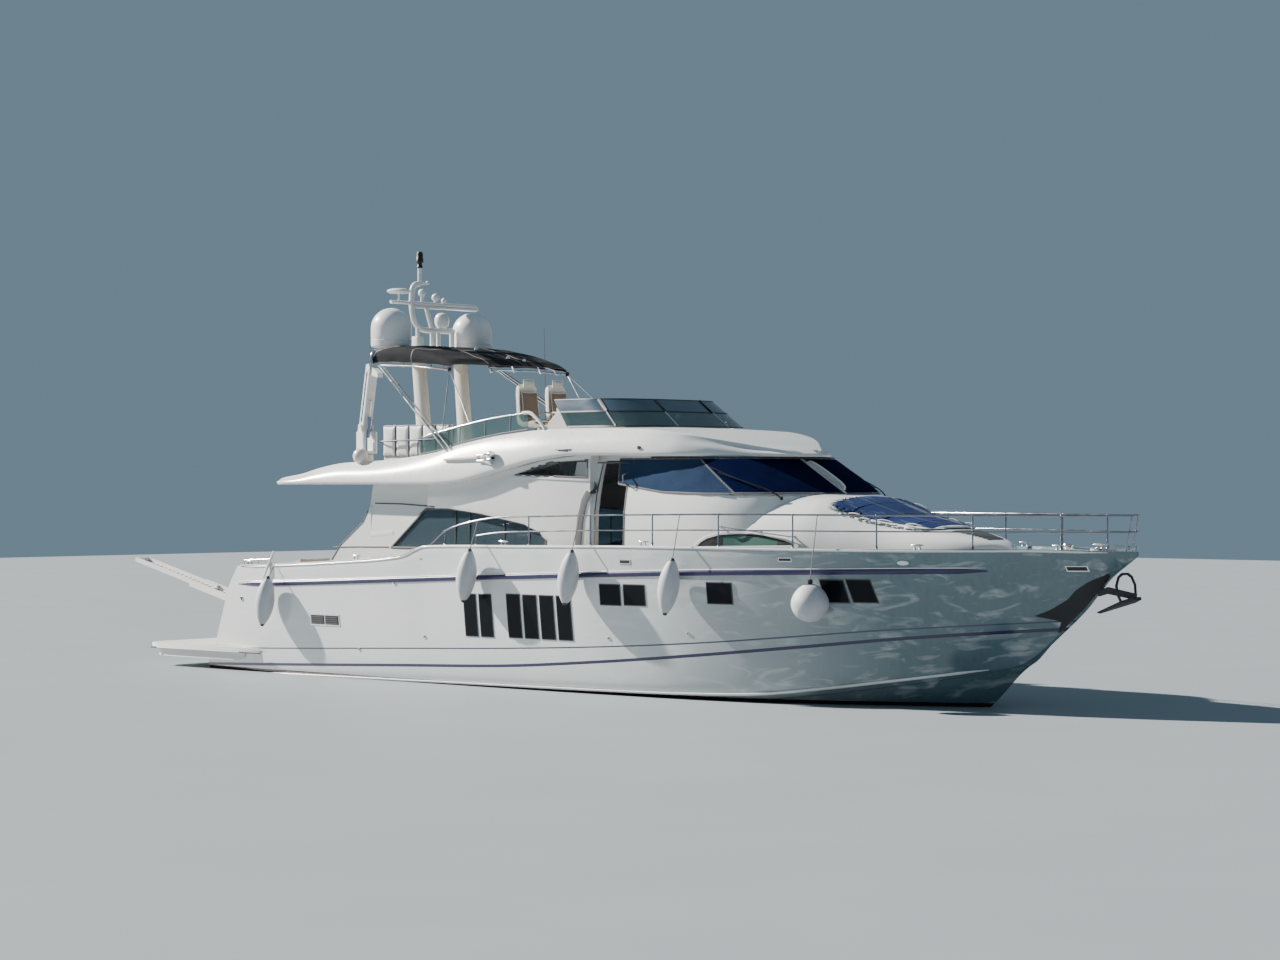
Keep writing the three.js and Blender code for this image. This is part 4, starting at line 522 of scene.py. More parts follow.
def hull_finish():
    """Gelcoat with painted lines: the boot line, a fine line over it, and dark antifouling at the waterline; its tone
    turns dark teal towards the bow as painted shade and painted reflection of the water, with pale ripples as painted
    highlights.
    """
    made = Finish("hull gelcoat", WHITE, 0.2, Coat_Weight=0.4, Coat_Roughness=0.06)
    tone = made.noise(0.55, 5, (0.8, 1, 2.2), 0.5)
    caustic_ripple = made.noise(2.2, 5, (0.40, 1, 1.7), 1.4)
    # Painted shade with painted teal reflection of the water: from x 1.5 to x 8 the hull's tone turns dark teal towards
    # the bow.
    bow_shade_share = made.node("ShaderNodeMapRange", {
        "Value": made.node("ShaderNodeSeparateXYZ", {0: made.where()}).outputs[0], "From Min": 1.5, "From Max": 8.0})
    low_tone_bow_shaded = made.blend(bow_shade_share.outputs[0], (0.70, 0.73, 0.74), (0.045, 0.098, 0.122))
    high_tone_bow_shaded = made.blend(bow_shade_share.outputs[0], WHITE, (0.110, 0.190, 0.225))
    body = made.blend(tone, low_tone_bow_shaded, high_tone_bow_shaded)
    # Painted highlight: pale ripples of light reflected from the water.
    painted_caustic_highlight = made.ramp(caustic_ripple, [(0.54, (0, 0, 0)), (0.72, (1, 1, 1))])
    body = made.blend(made.maths("MULTIPLY", painted_caustic_highlight, 0.34), body, (0.90, 0.92, 0.90))
    down = made.noise(7, 3, (1.8, 1.8, 0.10))
    body = made.blend(made.maths("MULTIPLY", down, 0.10), body, (0.60, 0.61, 0.60))
    boot = made.attribute("above_boot_line")
    fine = made.attribute("above_fine_line")
    height = made.attribute("height")
    inside = made.maths("LESS_THAN", made.maths("ABSOLUTE", boot), 0.030)
    body = made.blend(inside, body, NAVY)
    inside = made.maths("LESS_THAN", made.maths("ABSOLUTE", fine), 0.014)
    body = made.blend(inside, body, (0.05, 0.06, 0.12))
    foul = made.noise(3, 4, (0.6, 1, 2))
    edge = made.maths("ADD", height, made.maths("MULTIPLY", foul, 0.02))
    below = made.maths("LESS_THAN", edge, 0.085)
    paint = made.blend(made.noise(9, 4), (0.045, 0.012, 0.012), (0.02, 0.008, 0.010))
    made.colour(made.blend(below, body, paint))
    made.rough(made.noise(12, 2), 0.14, 0.26)
    return made.bump(made.noise(3.5, 2, (0.5, 1, 1)), 0.004, 0.12).material


def teak_finish():
    """Laid planks fore and aft: grain stretched along X and a dark seam every 55 mm across."""
    made = Finish("laid teak", (0.42, 0.31, 0.20), 0.6)
    grain = made.noise(18, 5, (0.12, 1.5, 1))
    plank = made.noise(3, 1, (0.05, 6, 1))
    body = made.blend(grain, (0.34, 0.24, 0.15), (0.52, 0.41, 0.29))
    body = made.blend(made.maths("MULTIPLY", plank, 0.5), body, (0.55, 0.47, 0.36))
    parts = made.node("ShaderNodeSeparateXYZ", {0: made.where()})
    across = made.maths("FRACT", made.maths("DIVIDE", parts.outputs[1], 0.055))
    seam = made.maths("LESS_THAN", across, 0.10)
    body = made.blend(seam, body, (0.03, 0.028, 0.026))
    made.colour(body)
    made.rough(grain, 0.5, 0.75)
    return made.bump(made.maths("SUBTRACT", grain, seam), 0.0012, 0.5).material


def pale_teak_finish():
    """Bleached planks of the gangway: silver-brown grain along X."""
    made = Finish("bleached teak", (0.50, 0.44, 0.36), 0.65)
    grain = made.noise(22, 5, (0.15, 1.6, 1))
    made.colour(made.blend(grain, (0.36, 0.30, 0.24), (0.60, 0.54, 0.46)))
    made.rough(grain, 0.55, 0.8)
    return made.bump(grain, 0.0008, 0.4).material


def sunpad_finish():
    """Pad cover: blue woven middle with creases, and white vinyl borders by its own distance from the edge."""
    made = Finish("sun pad cover", (0.3, 0.37, 0.5), 0.8, Sheen_Weight=0.0, Specular_IOR_Level=0.15)
    threads = made.maths("MULTIPLY", made.wave(110, (0, 0, 0)), made.wave(110, (0, 0, 90)))
    drift = made.noise(1.8, 4)
    blue = made.blend(drift, (0.006, 0.016, 0.070), (0.020, 0.048, 0.150))
    streak = made.ramp(made.noise(2.6, 5, (0.35, 1.3, 1), 0.9), [(0.57, (0, 0, 0)), (0.70, (1, 1, 1))])
    blue = made.blend(made.maths("MULTIPLY", streak, 0.22), blue, (0.42, 0.48, 0.58))
    blue = made.blend(made.maths("MULTIPLY", threads, 0.25), blue, (0.02, 0.04, 0.11))
    white = made.blend(made.noise(3, 4), (0.68, 0.69, 0.70), (0.84, 0.84, 0.82))
    edge = made.maths("ADD", made.attribute("from_edge"), made.maths("MULTIPLY", made.noise(4, 2), 0.01))
    border = made.maths("LESS_THAN", edge, 0.165)
    made.colour(made.blend(border, blue, white))
    made.rough(drift, 0.6, 0.85)
    return made.bump(made.maths("ADD", made.maths("MULTIPLY", threads, 0.1), made.noise(6, 3, (1, 1.5, 1), 0.8)),
                     0.012, 0.5).material


def platform_finish():
    """Bathing platform: pale planks with fine grey seams on top, and cream moulding on its edges."""
    made = Finish("bathing platform", (0.8, 0.78, 0.72), 0.45)
    grain = made.noise(20, 5, (1.5, 0.12, 1))
    body = made.blend(grain, (0.70, 0.67, 0.61), (0.86, 0.84, 0.79))
    parts = made.node("ShaderNodeSeparateXYZ", {0: made.where()})
    across = made.maths("FRACT", made.maths("DIVIDE", parts.outputs[1], 0.07))
    seam = made.maths("LESS_THAN", across, 0.09)
    planks = made.blend(seam, body, (0.22, 0.20, 0.18))
    facing = made.node("ShaderNodeSeparateXYZ", {0: made.node("ShaderNodeNewGeometry").outputs["Normal"]})
    up = made.maths("GREATER_THAN", facing.outputs[2], 0.9)
    cream = made.blend(made.noise(2, 3), (0.84, 0.83, 0.79), (0.93, 0.92, 0.89))
    made.colour(made.blend(up, cream, planks))
    made.rough(grain, 0.35, 0.6)
    return made.bump(grain, 0.0008, 0.4).material


def deck_finish():
    """Moulded deck: teak on flat faces that look up, and white gelcoat on upright faces."""
    made = Finish("deck moulding", (0.8, 0.79, 0.76), 0.45)
    grain = made.noise(18, 5, (0.12, 1.5, 1))
    body = made.blend(grain, (0.34, 0.25, 0.16), (0.54, 0.43, 0.31))
    parts = made.node("ShaderNodeSeparateXYZ", {0: made.where()})
    across = made.maths("FRACT", made.maths("DIVIDE", parts.outputs[1], 0.055))
    seam = made.maths("LESS_THAN", across, 0.10)
    teak = made.blend(seam, body, (0.04, 0.036, 0.032))
    facing = made.node("ShaderNodeSeparateXYZ", {0: made.node("ShaderNodeNewGeometry").outputs["Normal"]})
    up = made.maths("GREATER_THAN", facing.outputs[2], 0.9)
    white = made.blend(made.noise(2, 3), SHADE_WHITE, WHITE)
    made.colour(made.blend(up, white, teak))
    made.rough(grain, 0.4, 0.65)
    return made.bump(grain, 0.0008, 0.4).material


def steel_finish(name="polished stainless", dark=(0.62, 0.63, 0.66), light=(0.82, 0.82, 0.83)):
    """Polished tube with fine drawn lines and a few duller patches."""
    made = Finish(name, light, 0.14, Metallic=1.0)
    dull = made.noise(4, 3)
    made.colour(made.blend(dull, dark, light))
    made.rough(dull, 0.08, 0.26)
    return made.bump(made.noise(90, 2, (0.3, 0.3, 1)), 0.0003, 0.2).material


def glass_finish(name, tint, transmission, roughness=0.03):
    """Tinted pane with a slow change of tone and a faint film of salt."""
    made = Finish(name, tint, roughness, IOR=1.5, Transmission_Weight=transmission, Coat_Weight=0.3)
    film = made.noise(3.5, 4, (0.6, 0.6, 1.2))
    made.colour(made.blend(made.maths("MULTIPLY", film, 0.35), tint, tuple(min(1, c * 1.7 + 0.02) for c in tint)))
    made.rough(film, roughness, roughness * 3 + 0.03)
    return made.material


def weave_finish(name, dark, light, threads=900, roughness=0.85, sheen=0.25, crease=0.0, shine=0.5):
    """Woven cloth: crossed threads on Object coordinates, tone that drifts, and soft creases."""
    made = Finish(name, light, roughness, Sheen_Weight=sheen, Specular_IOR_Level=shine)
    warp = made.wave(threads / 6.28, (0, 0, 0))
    weft = made.wave(threads / 6.28, (0, 0, 90))
    thread = made.maths("MULTIPLY", warp, weft)
    drift = made.noise(1.6, 4)
    body = made.blend(drift, dark, light)
    made.colour(made.blend(made.maths("MULTIPLY", thread, 0.25), body, dark))
    made.rough(drift, roughness - 0.1, roughness + 0.08)
    height = made.maths("ADD", made.maths("MULTIPLY", thread, 0.15), made.maths(
        "MULTIPLY", made.noise(4.5, 3, (1, 1.4, 1), 0.8), crease))
    return made.bump(height, 0.02 if crease else 0.001, 0.6).material


def vinyl_finish(name, dark, light):
    """Marine vinyl: pebble grain, and a tone that drifts at random."""
    made = Finish(name, light, 0.55, Sheen_Weight=0.15)
    pebble = made.node("ShaderNodeTexVoronoi", {"Vector": made.where(), "Scale": 260.0}).outputs[0]
    made.colour(made.blend(made.noise(2.2, 4), dark, light))
    made.rough(pebble, 0.45, 0.62)
    return made.bump(pebble, 0.0012, 0.4).material


def plain_finish(name, dark, light, roughness, scale=8.0, metallic=0.0, shine=0.5):
    """Moulded or cast surface: fine mottling and a slight unevenness."""
    made = Finish(name, light, roughness, Metallic=metallic, Specular_IOR_Level=shine)
    mottle = made.noise(scale, 4)
    made.colour(made.blend(mottle, dark, light))
    made.rough(mottle, roughness * 0.8, min(1.0, roughness * 1.25))
    return made.bump(made.noise(scale * 9, 2), 0.0006, 0.4).material


def wood_finish():
    """Varnished veneer: stretched rings along X."""
    made = Finish("varnished wood", (0.30, 0.17, 0.09), 0.3, Coat_Weight=0.5)
    ring = made.noise(6, 6, (0.2, 2.4, 2.4), 0.6)
    made.colour(made.blend(ring, (0.20, 0.11, 0.06), (0.44, 0.28, 0.16)))
    made.rough(ring, 0.25, 0.42)
    return made.bump(ring, 0.0005, 0.3).material


def fender_finish():
    """Inflated vinyl: grey-white, scuffed, darker towards the bottom, with dark moulded ends by its own along
    attribute.
    """
    made = Finish("fender vinyl", (0.55, 0.56, 0.60), 0.5)
    along = made.attribute("along")
    scuff = made.noise(7, 5, (1, 1, 0.35))
    body = made.blend(scuff, (0.42, 0.43, 0.46), (0.66, 0.67, 0.70))
    low = made.ramp(along, [(0.0, (1, 1, 1)), (0.45, (0, 0, 0))])
    body = made.blend(made.maths("MULTIPLY", low, 0.35), body, (0.34, 0.33, 0.33))
    ends = made.ramp(along, [(0.05, (1, 1, 1)), (0.07, (0, 0, 0)), (0.94, (0, 0, 0)), (0.96, (1, 1, 1))])
    made.colour(made.blend(ends, body, (0.03, 0.03, 0.04)))
    made.rough(scuff, 0.42, 0.68)
    return made.bump(scuff, 0.003, 0.35).material


hull_paint = hull_finish()
teak = teak_finish()
deck_paint = deck_finish()
steel = steel_finish()
# Rail steel darkened in colour as painted reflection of the dark surroundings that it mirrors.
dark_reflection_steel = steel_finish("dark reflection rail", (0.16, 0.16, 0.20), (0.42, 0.42, 0.46))
glass = glass_finish("tinted glass", (0.12, 0.18, 0.22), 0.7)
green_glass = glass_finish("green tinted glass", (0.07, 0.12, 0.13), 0.68)
clear_glass = glass_finish("pale green glass", (0.30, 0.42, 0.42), 0.88)
arch_glass = glass_finish("sea green glass", (0.10, 0.20, 0.17), 0.30)
dark_glass = plain_finish("hull glass", (0.003, 0.004, 0.006), (0.008, 0.010, 0.013), 0.16, 3, 0.0, 0.12)
visor_glass = glass_finish("visor acrylic", (0.045, 0.075, 0.11), 0.12, 0.08)
canopy_cloth = weave_finish("taupe canvas", (0.016, 0.017, 0.020), (0.034, 0.035, 0.038), 700, 0.9, 0.0, 0.3, 0.1)
# One cover cloth in two copies: the side copy is the lit one, and the darker front copy is painted shade for the front
# that faces away from the sun.
sunlit_side_cloth = weave_finish("cover mesh lit side", (0.012, 0.028, 0.066), (0.032, 0.062, 0.125), 1200, 0.92, 0.0, 0.5, 0.08)
shaded_front_cloth = weave_finish("cover mesh painted shade front", (0.0005, 0.002, 0.024), (0.001, 0.006, 0.048), 1200, 0.92, 0.0, 0.35, 0.03)
hem_tape = weave_finish("hem tape", (0.05, 0.05, 0.06), (0.10, 0.10, 0.11), 1100, 0.75)
white_tape = weave_finish("white tape", (0.52, 0.52, 0.50), (0.72, 0.72, 0.70), 1100, 0.75)
vinyl = vinyl_finish("cream vinyl", (0.62, 0.57, 0.48), (0.80, 0.76, 0.68))
tan_vinyl = vinyl_finish("tan vinyl", (0.16, 0.105, 0.065), (0.27, 0.185, 0.12))
navy_piping = vinyl_finish("navy piping", (0.02, 0.022, 0.04), (0.045, 0.05, 0.08))
white_vinyl = vinyl_finish("white vinyl", (0.74, 0.73, 0.70), (0.86, 0.85, 0.83))
bronze = plain_finish("cast bronze", (0.26, 0.16, 0.06), (0.48, 0.32, 0.14), 0.38, 12, 1.0)
# The galvanised steel of the anchor and chain is darkened to near black as painted shade.
galvanised = plain_finish("galvanised steel", (0.022, 0.022, 0.025), (0.075, 0.075, 0.08), 0.5, 14, 0.6)
black_plastic = plain_finish("black moulded plastic", (0.008, 0.008, 0.009), (0.022, 0.022, 0.024), 0.45)
navy_paint = plain_finish("navy strake", (0.016, 0.014, 0.055), (0.045, 0.038, 0.13), 0.3, 5)
# Blue-grey on the crane's real cylinder and hose stands for the shaded stripe down the white boom: painted shade.
boom_shade_blue = plain_finish("blue-grey for boom shade", (0.13, 0.17, 0.30), (0.22, 0.28, 0.42), 0.4, 6)
grey_rubber = plain_finish("grey seal", (0.06, 0.06, 0.07), (0.12, 0.12, 0.13), 0.6)
dome_white = gelcoat_finish("dome shell", (0.84, 0.84, 0.84), (0.72, 0.73, 0.75), 0.35).material
pink_gelcoat = gelcoat_finish("blush shell", (0.80, 0.72, 0.68), (0.66, 0.58, 0.55), 0.35).material
wood = wood_finish()
pale_teak = pale_teak_finish()
sunpad_cover = sunpad_finish()
platform_paint = platform_finish()
fender_vinyl = fender_finish()
rope = weave_finish("fender line", (0.10, 0.09, 0.10), (0.30, 0.28, 0.28), 1500)

# Hull form: x, sheer half-beam, sheer height, chine half-beam, chine height, keel height, flare exponent
HULL_STATIONS = [
    (-10.0, 2.65, 2.21, 2.37, -0.06, -0.78, 0.45),
    (-8.0, 2.78, 2.29, 2.44, -0.04, -0.88, 0.45),
    (-5.55, 2.86, 2.41, 2.49, -0.01, -0.96, 0.47),
    (-3.46, 2.905, 2.57, 2.51, 0.01, -1.01, 0.5),
    (-2.73, 2.91, 2.79, 2.51, 0.02, -1.025, 0.5),
    (0.0, 2.92, 2.83, 2.49, 0.045, -1.06, 0.5),
    (3.0, 2.84, 2.865, 2.39, 0.075, -1.02, 0.55),
    (5.0, 2.66, 2.87, 2.18, 0.13, -0.90, 0.68),
    (6.5, 2.40, 2.862, 1.80, 0.28, -0.74, 0.8),
    (7.7, 2.12, 2.86, 1.33, 0.45, -0.54, 0.92),
    (8.45, 1.895, 2.862, 0.96, 0.56, -0.30, 1.0),
    (8.91, 1.73, 2.866, 0.72, 0.63, -0.06, 1.05),
    (9.72, 1.405, 2.875, 0.215, 0.775, 0.68, 1.12),
    (10.44, 1.06, 2.88, 0.025, 1.31, 1.28, 1.15),
    (11.05, 0.755, 2.872, 0.022, 1.84, 1.81, 1.1),
    (11.58, 0.455, 2.862, 0.018, 2.415, 2.39, 1.0),
    (11.96, 0.16, 2.855, 0.012, 2.69, 2.67, 1.0),
    (12.09, 0.022, 2.85, 0.008, 2.79, 2.765, 1.0),
]
sheer_half, sheer_height, chine_half, chine_height, keel_height, flare = columns(HULL_STATIONS)
RAKE = [(-0.9, -10.0), (0.40, -10.0), (0.44, -9.76), (0.5, -9.72), (1.89, -9.04), (2.15, -8.82), (2.30, -8.70)]
BULWARK = 0.095
BULWARK_FLOOR = [(-10.0, 0.46), (-8.351, 0.46), (-8.349, 1.3), (1.299, 1.3), (1.301, 2.05), (9.0, 2.1), (11.3, 2.6)]
BOW_DECK = 11.3


def topside(x, z):
    """Half-beam of the topsides: from the chine to the sheer by the share of height to the power of the flare."""
    low = chine_height(x)
    share = np.clip((z - low) / (sheer_height(x) - low), 0, 1)
    base = chine_half(x) + 0.02
    return base + (sheer_half(x) - base) * share ** flare(x)


def on_topside(x, z, out, side):
    """Points on the topsides, moved outwards by out."""
    return np.stack(np.broadcast_arrays(x, side * (topside(x, z) + out), z), -1).astype(float)


def make_hull():
    """Closed skin: V bottom with a slight belly, chine flat, flared topsides, cap, inner bulwark and floor."""
    aft = np.linspace(0, 1, 12)
    along = np.r_[
        np.linspace(-8.349, 1.299, 62), np.linspace(1.301, 9.0, 60), np.linspace(9.08, 11.299, 34),
        np.linspace(11.301, 12.09, 20),
    ]
    spread = np.linspace(0, 1, 20)[1:] ** 1.15
    belly = np.linspace(0, 1, 7)
    floor_at = np.asarray(BULWARK_FLOOR)

    def section(x):
        """Half section as y and z, for an array of x of one value for each of its own points."""
        x = np.broadcast_to(x, (7 + 1 + 19 + 8,)).astype(float)
        low, half, keel, top = chine_height(x), chine_half(x), keel_height(x), sheer_height(x)
        y = np.zeros(len(x))
        z = np.zeros(len(x))
        y[:7] = half[:7] * belly
        z[:7] = keel[:7] + (low - keel)[:7] * belly - 0.08 * half[:7] * belly * (1 - belly)
        y[7] = half[7] + 0.02
        z[7] = low[7] + 0.004
        z[8:27] = low[8:27] + (top - low)[8:27] * spread
        y[8:27] = topside(x[8:27], z[8:27])
        rim = slice(27, 35)
        inner = topside(x[rim], top[rim]) - BULWARK
        floor = np.interp(x[rim], floor_at[:, 0], floor_at[:, 1])
        solid = x[rim] > BOW_DECK
        drop = np.array([0.004, 0.0, 0.0, -0.004, -0.05, -0.5, -1.0, -1.0])
        share = np.array([-0.02, -0.3, -0.7, -0.98, -1.0, -1.0, -1.0, 0])
        top_half = topside(x[rim], top[rim])
        y[rim] = np.maximum(top_half + BULWARK * share, 0)
        y[34] = 0
        z[rim] = top[rim] + np.array([0.006, 0.012, 0.012, 0.006, -0.006, 0, 0, 0])
        wall = np.array([0, 0, 0, 0, 0, 0.5, 1.0, 1.0])
        z[rim] = np.where(wall > 0, top[rim] + (floor - top[rim]) * wall, z[rim])
        low_half = np.maximum(topside(x[rim], z[rim]) - BULWARK, 0)
        y[rim] = np.where((wall > 0) & (np.arange(8) < 7), np.minimum(low_half, inner), y[rim])
        y[34] = 0
        level = np.array([1, 0.8, 0.6, 0.45, 0.3, 0.15, 0.08, 0])
        y[rim] = np.where(solid, top_half * level, y[rim])
        z[rim] = np.where(solid, top[rim] + 0.006, z[rim])
        return y, z

    rake = np.asarray(RAKE)
    rows = []
    for share in aft:
        x = np.full(35, -9.0)
        for _ in range(12):
            y, z = section(x)
            x = (1 - share) * np.interp(z, rake[:, 0], rake[:, 1]) + share * -8.351
        y, z = section(x)
        rows.append(np.stack([x, y, z], -1))
    for x in along:
        y, z = section(np.full(35, x))
        rows.append(np.stack([np.full(35, x), y, z], -1))
    half = np.asarray(rows)
    other = half[:, 1:-1][:, ::-1] * np.array([1, -1, 1])
    rings = np.concatenate([half, other], axis=1)
    piece = loft("hull_skin", rings, slot="gelcoat", material=hull_paint, angle=28, replaces=("hull",))
    co = np.zeros(len(piece.data.vertices) * 3)
    piece.data.vertices.foreach_get("co", co)
    co = co.reshape(-1, 3)
    boot = monotone([-10, -7.8, -3.7, -0.83, 1.83, 4.24, 6.38, 8.29, 10.02, 12.1],
                    [0.10, 0.18, 0.34, 0.45, 0.64, 0.86, 1.08, 1.28, 1.42, 1.56])
    fine = monotone([-10, -7.7, -3.6, -0.74, 1.9, 4.3, 6.43, 7.6, 12.1],
                    [0.45, 0.53, 0.69, 0.80, 0.93, 1.09, 1.28, 1.39, 1.70])
    outer = np.abs(co[:, 1]) > topside(co[:, 0], co[:, 2]) - 0.05
    for name, values in (
        ("above_boot_line", np.where(outer, co[:, 2] - boot(co[:, 0]), 1.0)),
        ("above_fine_line", np.where(outer, co[:, 2] - fine(co[:, 0]), 1.0)),
        ("height", co[:, 2]),
    ):
        layer = piece.data.attributes.new(name, "FLOAT", "POINT")
        layer.data.foreach_set("value", values.astype(np.float32))
    return piece


make_hull()


def strip_on_hull(name, xs, height, half_width, out, material, side, slot="gelcoat"):
    """Moulded strip along the topsides: a flat oval section carried along x at a height that is a function of x."""
    angle = np.linspace(0, 2 * np.pi, 12, endpoint=False)
    rings = []
    for k, x in enumerate(xs):
        ease = min(1.0, 0.25 + 0.75 * min(k, len(xs) - 1 - k) / 3)
        z = float(height(x)) + half_width * ease * np.sin(angle)
        reach = out * ease * np.cos(angle)
        rings.append(on_topside(np.full(12, x), z, reach, side))
    return loft(name, rings, slot=slot, material=material, angle=50)


strake_height = monotone(
    [-8.7, -7.2, -3.46, -0.59, 2.04, 4.41, 6.51, 8.39, 9.75], [1.88, 1.93, 2.09, 2.21, 2.31, 2.39, 2.44, 2.48, 2.50])
for side_name, side in SIDES.items():
    strip_on_hull(f"rub_strake_{side_name}", np.linspace(-8.72, 9.75, 110), strake_height, 0.050, 0.028,
                  navy_paint, side, "dark_trim")
    strip_on_hull(f"rub_strake_lip_{side_name}", np.linspace(-8.70, 9.72, 110),
                  lambda x: strake_height(x) + 0.056, 0.012, 0.016, gelcoat, side)


def panel_on_hull(corners, out, inset=0.0, rows=6, cols=6, depth=0.03, side=-1):
    """Rings of a plate that follows the topsides inside four corners given as x and z, with a wall of its depth."""
    p = np.asarray(corners, float)
    centre = p.mean(0)
    p = centre + (p - centre) * (1 - inset / np.abs(p - centre).max(0))
    u = np.linspace(0, 1, cols)
    v = np.linspace(0, 1, rows)
    grid = (
        p[0] * (1 - u)[None, :, None] * (1 - v)[:, None, None] + p[1] * u[None, :, None] * (1 - v)[:, None, None]
        + p[2] * u[None, :, None] * v[:, None, None] + p[3] * (1 - u)[None, :, None] * v[:, None, None])
    face = on_topside(grid[..., 0], grid[..., 1], out, side)
    back = on_topside(grid[..., 0], grid[..., 1], out - depth, side)
    return [np.concatenate([face[k], back[k][::-1]]) for k in range(rows)]


def rectangle(x0, x1, z0, z1, slant=0.0):
    """Four corners, low aft, low ahead, high ahead, high aft; slant moves the low edge ahead."""
    return [(x0 + slant, z0), (x1 + slant, z0), (x1, z1), (x0, z1)]


HULL_WINDOWS = [
    rectangle(-1.69, -1.36, 1.02, 1.85), rectangle(-1.26, -0.93, 1.02, 1.85),
    *[rectangle(-0.49 + 0.445 * k, -0.145 + 0.445 * k, 1.03, 1.87) for k in range(4)],
    rectangle(1.97, 2.46, 1.74, 2.12), rectangle(2.56, 3.06, 1.75, 2.13), rectangle(4.50, 5.03, 1.83, 2.21),
    rectangle(6.82, 7.25, 1.90, 2.30, 0.06), rectangle(7.31, 7.74, 1.91, 2.31, 0.08),
]
for side_name, side in SIDES.items():
    merged(f"hull_window_frames_{side_name}", [panel_on_hull(w, 0.010, -0.016, side=side) for w in HULL_WINDOWS],
           slot="dark_trim", material=grey_rubber, angle=40)
    merged(f"hull_windows_{side_name}", [panel_on_hull(w, 0.014, 0.002, side=side) for w in HULL_WINDOWS],
           slot="tinted_glass", material=dark_glass, angle=40)
    louvres = [panel_on_hull(rectangle(x0, x1, 1.115 + 0.042 * k, 1.135 + 0.042 * k), 0.022, side=side)
               for k in range(4) for x0, x1 in ((-6.31, -5.92), (-5.87, -5.48))]
    merged(f"engine_vent_{side_name}", louvres, slot="dark_trim", material=grey_rubber, angle=40)
    merged(f"engine_vent_frame_{side_name}", [panel_on_hull(rectangle(-6.36, -5.43, 1.07, 1.32), 0.008, side=side)],
           slot="stainless", material=steel, angle=40)
    merged(f"engine_vent_recess_{side_name}", [
        panel_on_hull(rectangle(x0, x1, 1.10, 1.29), 0.012, side=side) for x0, x1 in ((-6.33, -5.91), (-5.88, -5.46))],
        slot="dark_trim", material=black_plastic, angle=40)

# Deckhouse, decks and other shells that keep the CAD's own form
refined("deckhouse", gelcoat, 24)
refined("deck_moulding", deck_paint, 20)
refined("bathing_platform", platform_paint, 20, 0.012)

# Coachroof: x, half-width, top height
COACHROOF = [
    (4.5, 2.24, 3.80), (5.3, 2.12, 3.86), (6.05, 1.98, 3.81), (6.7, 1.80, 3.60), (7.62, 1.50, 3.31), (8.5, 1.16, 3.17),
    (9.0, 0.85, 3.06), (9.3, 0.52, 2.96), (9.48, 0.15, 2.86),
]
coachroof_half, coachroof_top = columns(COACHROOF)


def coachroof_ring(x, count=41):
    """Section of the coachroof: y is the half-width times cos to the power 0.55, height a sine to the power 0.6."""
    angle = np.linspace(0, np.pi, count)
    c = np.cos(angle)
    y = np.sign(c) * coachroof_half(x) * np.abs(c) ** 0.55
    z = 2.31 + (coachroof_top(x) - 2.31) * np.clip(np.sin(angle), 0, 1) ** 0.6
    return np.stack([np.full(count, x), y, z], -1)


loft("coachroof_skin", [coachroof_ring(x) for x in np.linspace(4.5, 9.48, 60)], slot="gelcoat", material=gelcoat,
     angle=40, replaces=("coachroof",))

# Fly deck moulding: x, lower half-width, lower height, upper half-width, upper height
FLY_STATIONS = [
    (-8.29, 1.30, 4.045, 1.25, 4.11), (-8.09, 2.00, 4.03, 1.94, 4.125), (-7.84, 2.40, 4.022, 2.32, 4.145),
    (-7.4, 2.60, 4.02, 2.48, 4.19), (-7.0, 2.64, 4.02, 2.49, 4.24), (-6.39, 2.66, 4.02, 2.48, 4.37),
    (-5.67, 2.67, 4.02, 2.46, 4.47), (-4.6, 2.68, 4.02, 2.45, 4.51), (-3.03, 2.68, 4.02, 2.44, 4.66),
    (-2.24, 2.67, 4.05, 2.42, 4.83), (-1.03, 2.64, 4.27, 2.38, 5.01), (0.16, 2.58, 4.50, 2.33, 5.10),
    (1.0, 2.50, 4.58, 2.27, 5.11), (1.8, 2.43, 4.58, 2.23, 5.10), (2.6, 2.35, 4.565, 2.15, 5.07),
    (3.2, 2.23, 4.56, 1.98, 4.99), (3.62, 2.02, 4.555, 1.70, 4.91), (3.95, 1.72, 4.55, 1.40, 4.84),
    (4.31, 1.32, 4.55, 1.00, 4.75), (4.62, 0.90, 4.55, 0.65, 4.68), (4.85, 0.35, 4.55, 0.25, 4.61),
]
fly_low_half, fly_low, fly_high_half, fly_high = columns(FLY_STATIONS)
FLY_WELLS = [(-7.72, -2.6, 4.14), (-2.6, 0.9, 4.70)]
FLY_COAMING = 0.13


def fly_section(x, floor):
    """Half section of the fly moulding: underside, rounded side, coaming top, then the well or the crowned top."""
    lh, lo, hh, hi = (float(f(x)) for f in (fly_low_half, fly_low, fly_high_half, fly_high))
    crown = 0.02 * hh
    side = through([
        (lh - 0.03, lo), (lh, lo + 0.045), (lh + (hh - lh) * 0.35 + 0.018, (lo + hi) / 2),
        (hh + 0.018, hi - min(0.055, (hi - lo) * 0.3)), (hh - 0.045, hi)], 15)
    if floor is None:
        inner = [(hh - 0.13, hi + crown * 0.15), (hh * 0.75, hi + crown * 0.45), (hh * 0.5, hi + crown * 0.7),
                 (hh * 0.25, hi + crown * 0.92), (0, hi + crown)]
    else:
        inner = [(hh - FLY_COAMING + 0.01, hi), (hh - FLY_COAMING, hi - 0.01), (hh - FLY_COAMING, (hi + floor) / 2),
                 (hh - FLY_COAMING, floor), (0, floor)]
    half = np.vstack([[(0, lo)], side, inner])
    return np.column_stack([np.full(len(half), x), half])


